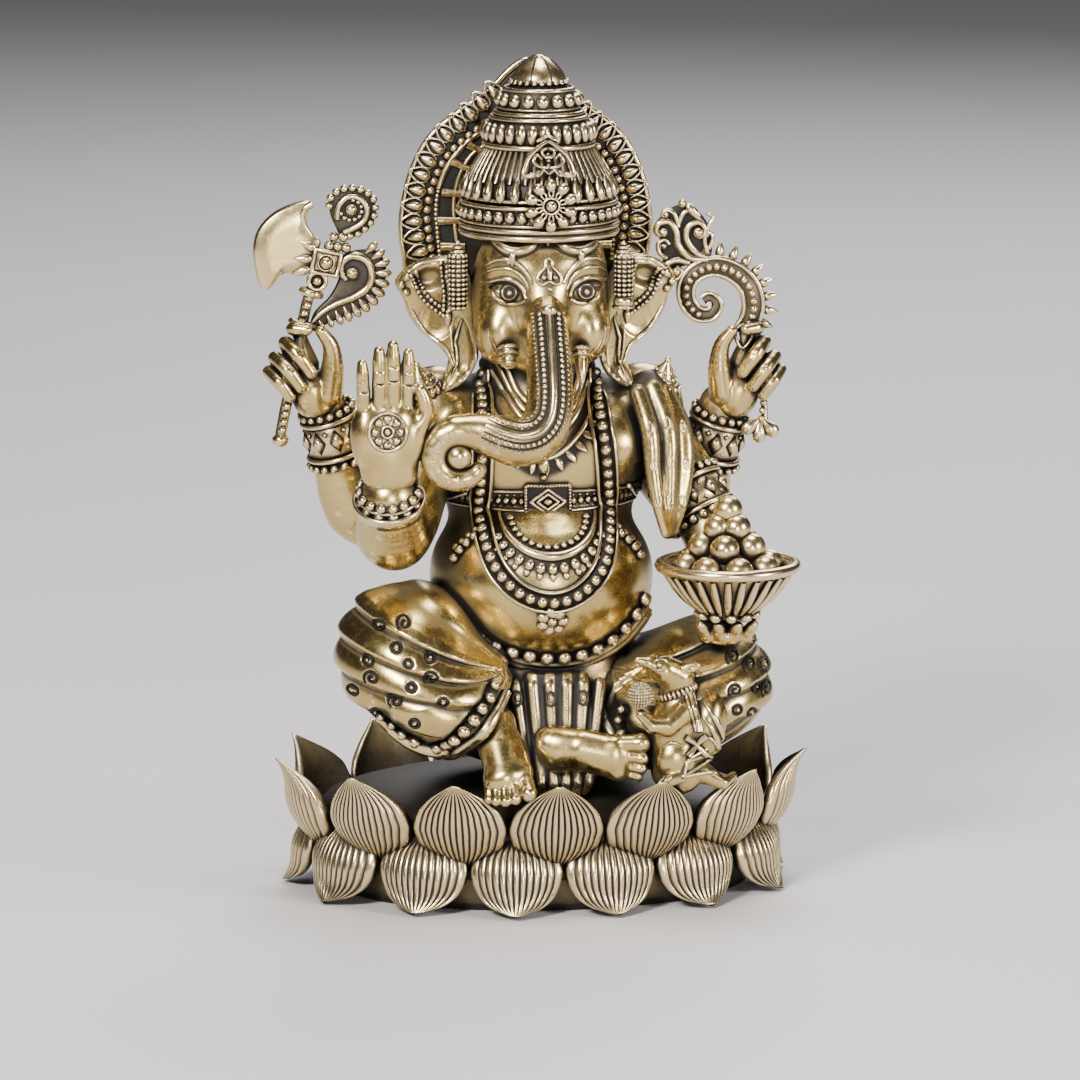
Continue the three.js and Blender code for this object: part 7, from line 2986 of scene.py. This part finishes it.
@dataclass
class Halo:
    """The pointed halo plate with its ring of framed drops."""

    x: float = -0.95
    y: float = 9.6
    rim: tuple[tuple[float, float], ...] = ((0.0, 120.2), (-2.6, 118.6), (-5.0, 116.2), (-9.6, 112.9), (-13.8,
        109.4), (-16.4, 105.0), (-17.8, 100.2), (-18.3, 95.6), (-17.8, 91.6), (-16.6, 88.6))

    def side_line(self, rows: Sequence[tuple[float, float]], side: int, y: float, count: int = 60) -> Trail:
        """Gives a line of the halo on one side, from x and z pairs about its middle."""
        return flat_line([(self.x - side * x, z) for x, z in rows], y, count)

    def drop(self, piece: Casting, spot: np.ndarray, out: np.ndarray) -> None:
        """Adds one framed drop.

        Args:
            piece: The casting.
            spot: Its middle.
            out: The way its tip points.
        """
        across = np.cross(out, (0, -1, 0))
        frame = [spot + across * u + out * v for u, v in ((0, -1.15), (0.8, -0.85), (1.12, 0.1), (0.7, 1.15),
            (0, 1.9), (-0.7, 1.15), (-1.12, 0.1), (-0.8, -0.85))]
        piece.rail(Trail.through(frame, (0, -1, 0), 26, True), 0.2)
        piece.one(Shape.DROP, spot - (0, 0.35, 0), (0.95, 1.35, 0.9), out)

    def build(self) -> None:
        """Builds the halo."""
        piece = Casting("halo", Brass.JEWEL)
        whole = ([(self.x + x, z) for x, z in self.rim] + [(self.x - 8.0, 88.4), (self.x + 8.0,
            88.4)] + [(self.x - x, z) for x, z in self.rim[:0:-1]])
        y = self.y
        # The halo plate is painted dark on its front: painted shade behind the drops and beads, with patina.
        piece.ground(plate(flat_line(whole, y + 0.9, 200, True), (self.x, 98.0), y + 0.9, 0.95, 0.05), 0.9)
        piece.rail(flat_line(whole, y, 220, True), 0.42)
        front = y - 0.35
        for side in (-1, 1):
            drops = self.side_line([(4.7, 115.6), (7.4, 113.3), (9.6, 111.2), (11.7, 109.5), (13.3, 107.3),
                (14.6, 105.3), (15.5, 102.9), (16.2, 100.3), (16.5, 97.6), (16.2, 94.9), (15.6, 92.2), (15.0,
                90.0)], -side, front, 14)
            for spot, along in zip(drops.points, drops.along()):
                out = unit(np.cross(along, (0, -1, 0)) * (1 if side > 0 else -1))
                if out[0] * side < 0:
                    out = -out
                self.drop(piece, spot, out)
            piece.beads(self.side_line([(4.9, 111.9), (7.6, 109.9), (10.1, 107.9), (12.1, 105.6), (13.4,
                102.9), (14.3, 100.1), (14.6, 97.4), (14.2, 94.0), (13.8, 91.4)], -side, front), 0.72, 2.0)
            arch = self.side_line([(3.6, 111.4), (6.3, 110.0), (8.8, 108.2), (10.7, 106.1), (12.1, 103.7),
                (12.9, 101.1), (13.2, 98.4), (13.0, 95.0), (12.6, 91.0)], -side, front, 80)
            piece.rail(Trail(arch.points[:46], arch.facing[:46]), 0.46)
            piece.beads(Trail(arch.points[44:], arch.facing[44:]), 0.42, 1.6)
            inner = self.side_line([(5.6, 108.0), (7.6, 106.8), (9.2, 104.6), (10.2, 102.0), (10.6, 99.0),
                (10.4, 95.6), (10.0, 92.4)], -side, front, 60)
            piece.rail(inner, 0.34)
            for low, high in (((6.4, 107.0), (8.6, 108.0)), ((8.0, 104.2), (11.0, 105.6)), ((8.9, 100.6),
                    (12.4, 101.0)), ((9.2, 96.8), (13.0, 96.8)), ((9.0, 93.0), (12.6, 93.0))):
                piece.rail(self.side_line([low, high], -side, front + 0.1, 8), 0.62, (0.8, 1.0, 1.2))
        piece.place()


# ---------------------------------------------------------------- mouse

@dataclass
class Mouse:
    """The harnessed mouse that sits up and holds a sweet."""

    def body(self) -> None:
        """Models the mouse and its harness."""
        low, high = box_mm("mouse")
        clay = Clay(low - 1.6, high + 1.0, 0.22)
        clay.rod([(18.0, -20.0, 20.6), (17.4, -20.4, 26.4), (18.0, -20.4, 31.6)], (3.9, 3.9, 2.5), 0.8)
        clay.rod([(17.9, -20.6, 34.0), (16.0, -21.2, 35.2), (13.6, -21.9, 36.4), (11.9, -22.3, 37.0)], (2.45,
            2.15, 1.15, 0.5), 1.0)
        clay.ball((19.6, -22.4, 35.8), (1.5, 0.45, 0.75), 0.3, turn=(0, -12, 0))
        clay.ball((19.8, -22.9, 35.8), (0.95, 0.35, 0.36), 0.15, cut=True, turn=(0, -12, 0))
        clay.rod([(18.6, -22.8, 29.4), (16.2, -24.2, 27.6), (13.8, -24.6, 27.8), (12.2, -24.2, 29.4)], (1.7,
            1.4, 1.15, 0.8), 0.5)
        clay.ball((17.4, -23.0, 22.4), (2.9, 1.9, 3.0), 0.4)
        clay.rod([(17.8, -24.0, 20.2), (15.4, -24.8, 19.4)], (1.1, 0.8), 0.3)
        clay.ball((22.0, -20.0, 26.6), (3.0, 3.6, 5.6), 0.7, turn=(0, 14, 0))
        clay.rod([(21.4, -21.4, 20.2), (24.4, -22.0, 18.6), (26.0, -20.6, 19.4)], (1.6, 0.9, 0.6), 0.6)
        skin = clay.skin()
        tree = skin.tree()
        piece = Casting("mouse", Brass.FIGURE)
        piece.form(skin)

        def draw(rows: Sequence[tuple[float, float]], count: int = 24, lift: float = 0.08) -> Trail:
            """Lays a line on the mouse through x and z pairs."""
            return flat_line(rows, -40, count).pressed(tree, FRONT, lift)

        piece.rail(draw([(14.0, 36.6), (14.8, 37.0), (15.8, 36.9), (16.6, 36.3)]), 0.2, (0.4, 1, 0.4))
        piece.rail(draw([(13.9, 36.2), (14.8, 35.7), (15.9, 35.8)]), 0.17, (0.4, 1, 0.4))
        piece.one(Shape.BEAD, draw([(14.9, 36.35), (15.0, 36.35)], 3, 0.0).points[0], 0.45)
        piece.row(Trail.ring((17.8, -20.5, 31.9), (2.75, 2.75), 60, unit((-0.35, 0.1, 1))), Shape.BEAD, 26,
            (0.3, 0.62, 0.4))
        for rows in ([(18.6, 32.6), (19.3, 29.8), (20.2, 26.6)], [(19.8, 32.2), (20.5, 29.6), (21.1, 26.6)]):
            piece.rail(draw(rows), 0.26)
        piece.rail(draw([(19.2, 32.4), (19.9, 29.7), (20.7, 26.6)]), 0.46)
        for rows in ([(18.6, 26.0), (20.2, 24.6), (21.8, 23.2)], [(21.8, 26.0), (20.2, 24.6), (18.8, 23.2)]):
            piece.rail(draw(rows, lift=0.3), 0.42, (1.3, 0.8, 1.3))
        for k, rows in enumerate(([(21.6, 30.6), (23.4, 27.6), (24.6, 24.2)], [(21.4, 28.6), (22.8, 26.4),
                (24.2, 22.6)], [(22.0, 25.8), (23.4, 24.4), (24.2, 21.2)], [(21.6, 23.4), (23.0, 22.0), (23.4,
                20.0)])):
            piece.rail(draw(rows), 0.42 - 0.03 * k, (0.5, 1.2, 0.6))
        piece.rail(draw([(15.2, 24.2), (16.6, 25.2), (18.4, 24.6)]), 0.2, (0.4, 1, 0.4))
        for k in range(3):
            piece.rail(draw([(14.9 + 0.5 * k, 19.7 + 0.1 * k), (15.5 + 0.5 * k, 20.3)], 8), 0.22, (1, 0.5))
        piece.place()

    def sweet(self) -> None:
        """Makes the beaded sweet that the mouse holds."""
        centre = np.array((12.0, -24.8, 32.4))
        piece = Casting("mouse_sweet", Brass.WORN)
        piece.form(lathe([(1.7 * math.cos(t), 1.7 * math.sin(t)) for t in np.linspace(-math.pi / 2,
            math.pi / 2, 13)], 24, centre=tuple(centre)))
        for lat in range(-75, 76, 15):
            a = math.radians(lat)
            ring = Trail.ring(centre + (0, 0, 1.72 * math.sin(a)), (1.72 * math.cos(a),) * 2, 24)
            piece.row(ring, Shape.BEAD, max(4, round(26 * math.cos(a))), 0.2)
        piece.place()

    def build(self) -> None:
        """Builds the mouse."""
        self.body()
        self.sweet()


def main() -> None:
    """Builds the stage and every casting, then notes the sizes."""
    logging.basicConfig(level=logging.INFO, format="%(message)s")
    Stage().build()
    for part in (Lotus(), Torso(), Lap(), Arms(), Axe(), Goad(), Bowl(), Cloth(), Head(), Crown(), Halo(),
            Mouse()):
        LOG.info("building %s", type(part).__name__)
        part.build()


if __name__ == "__main__":
    main()
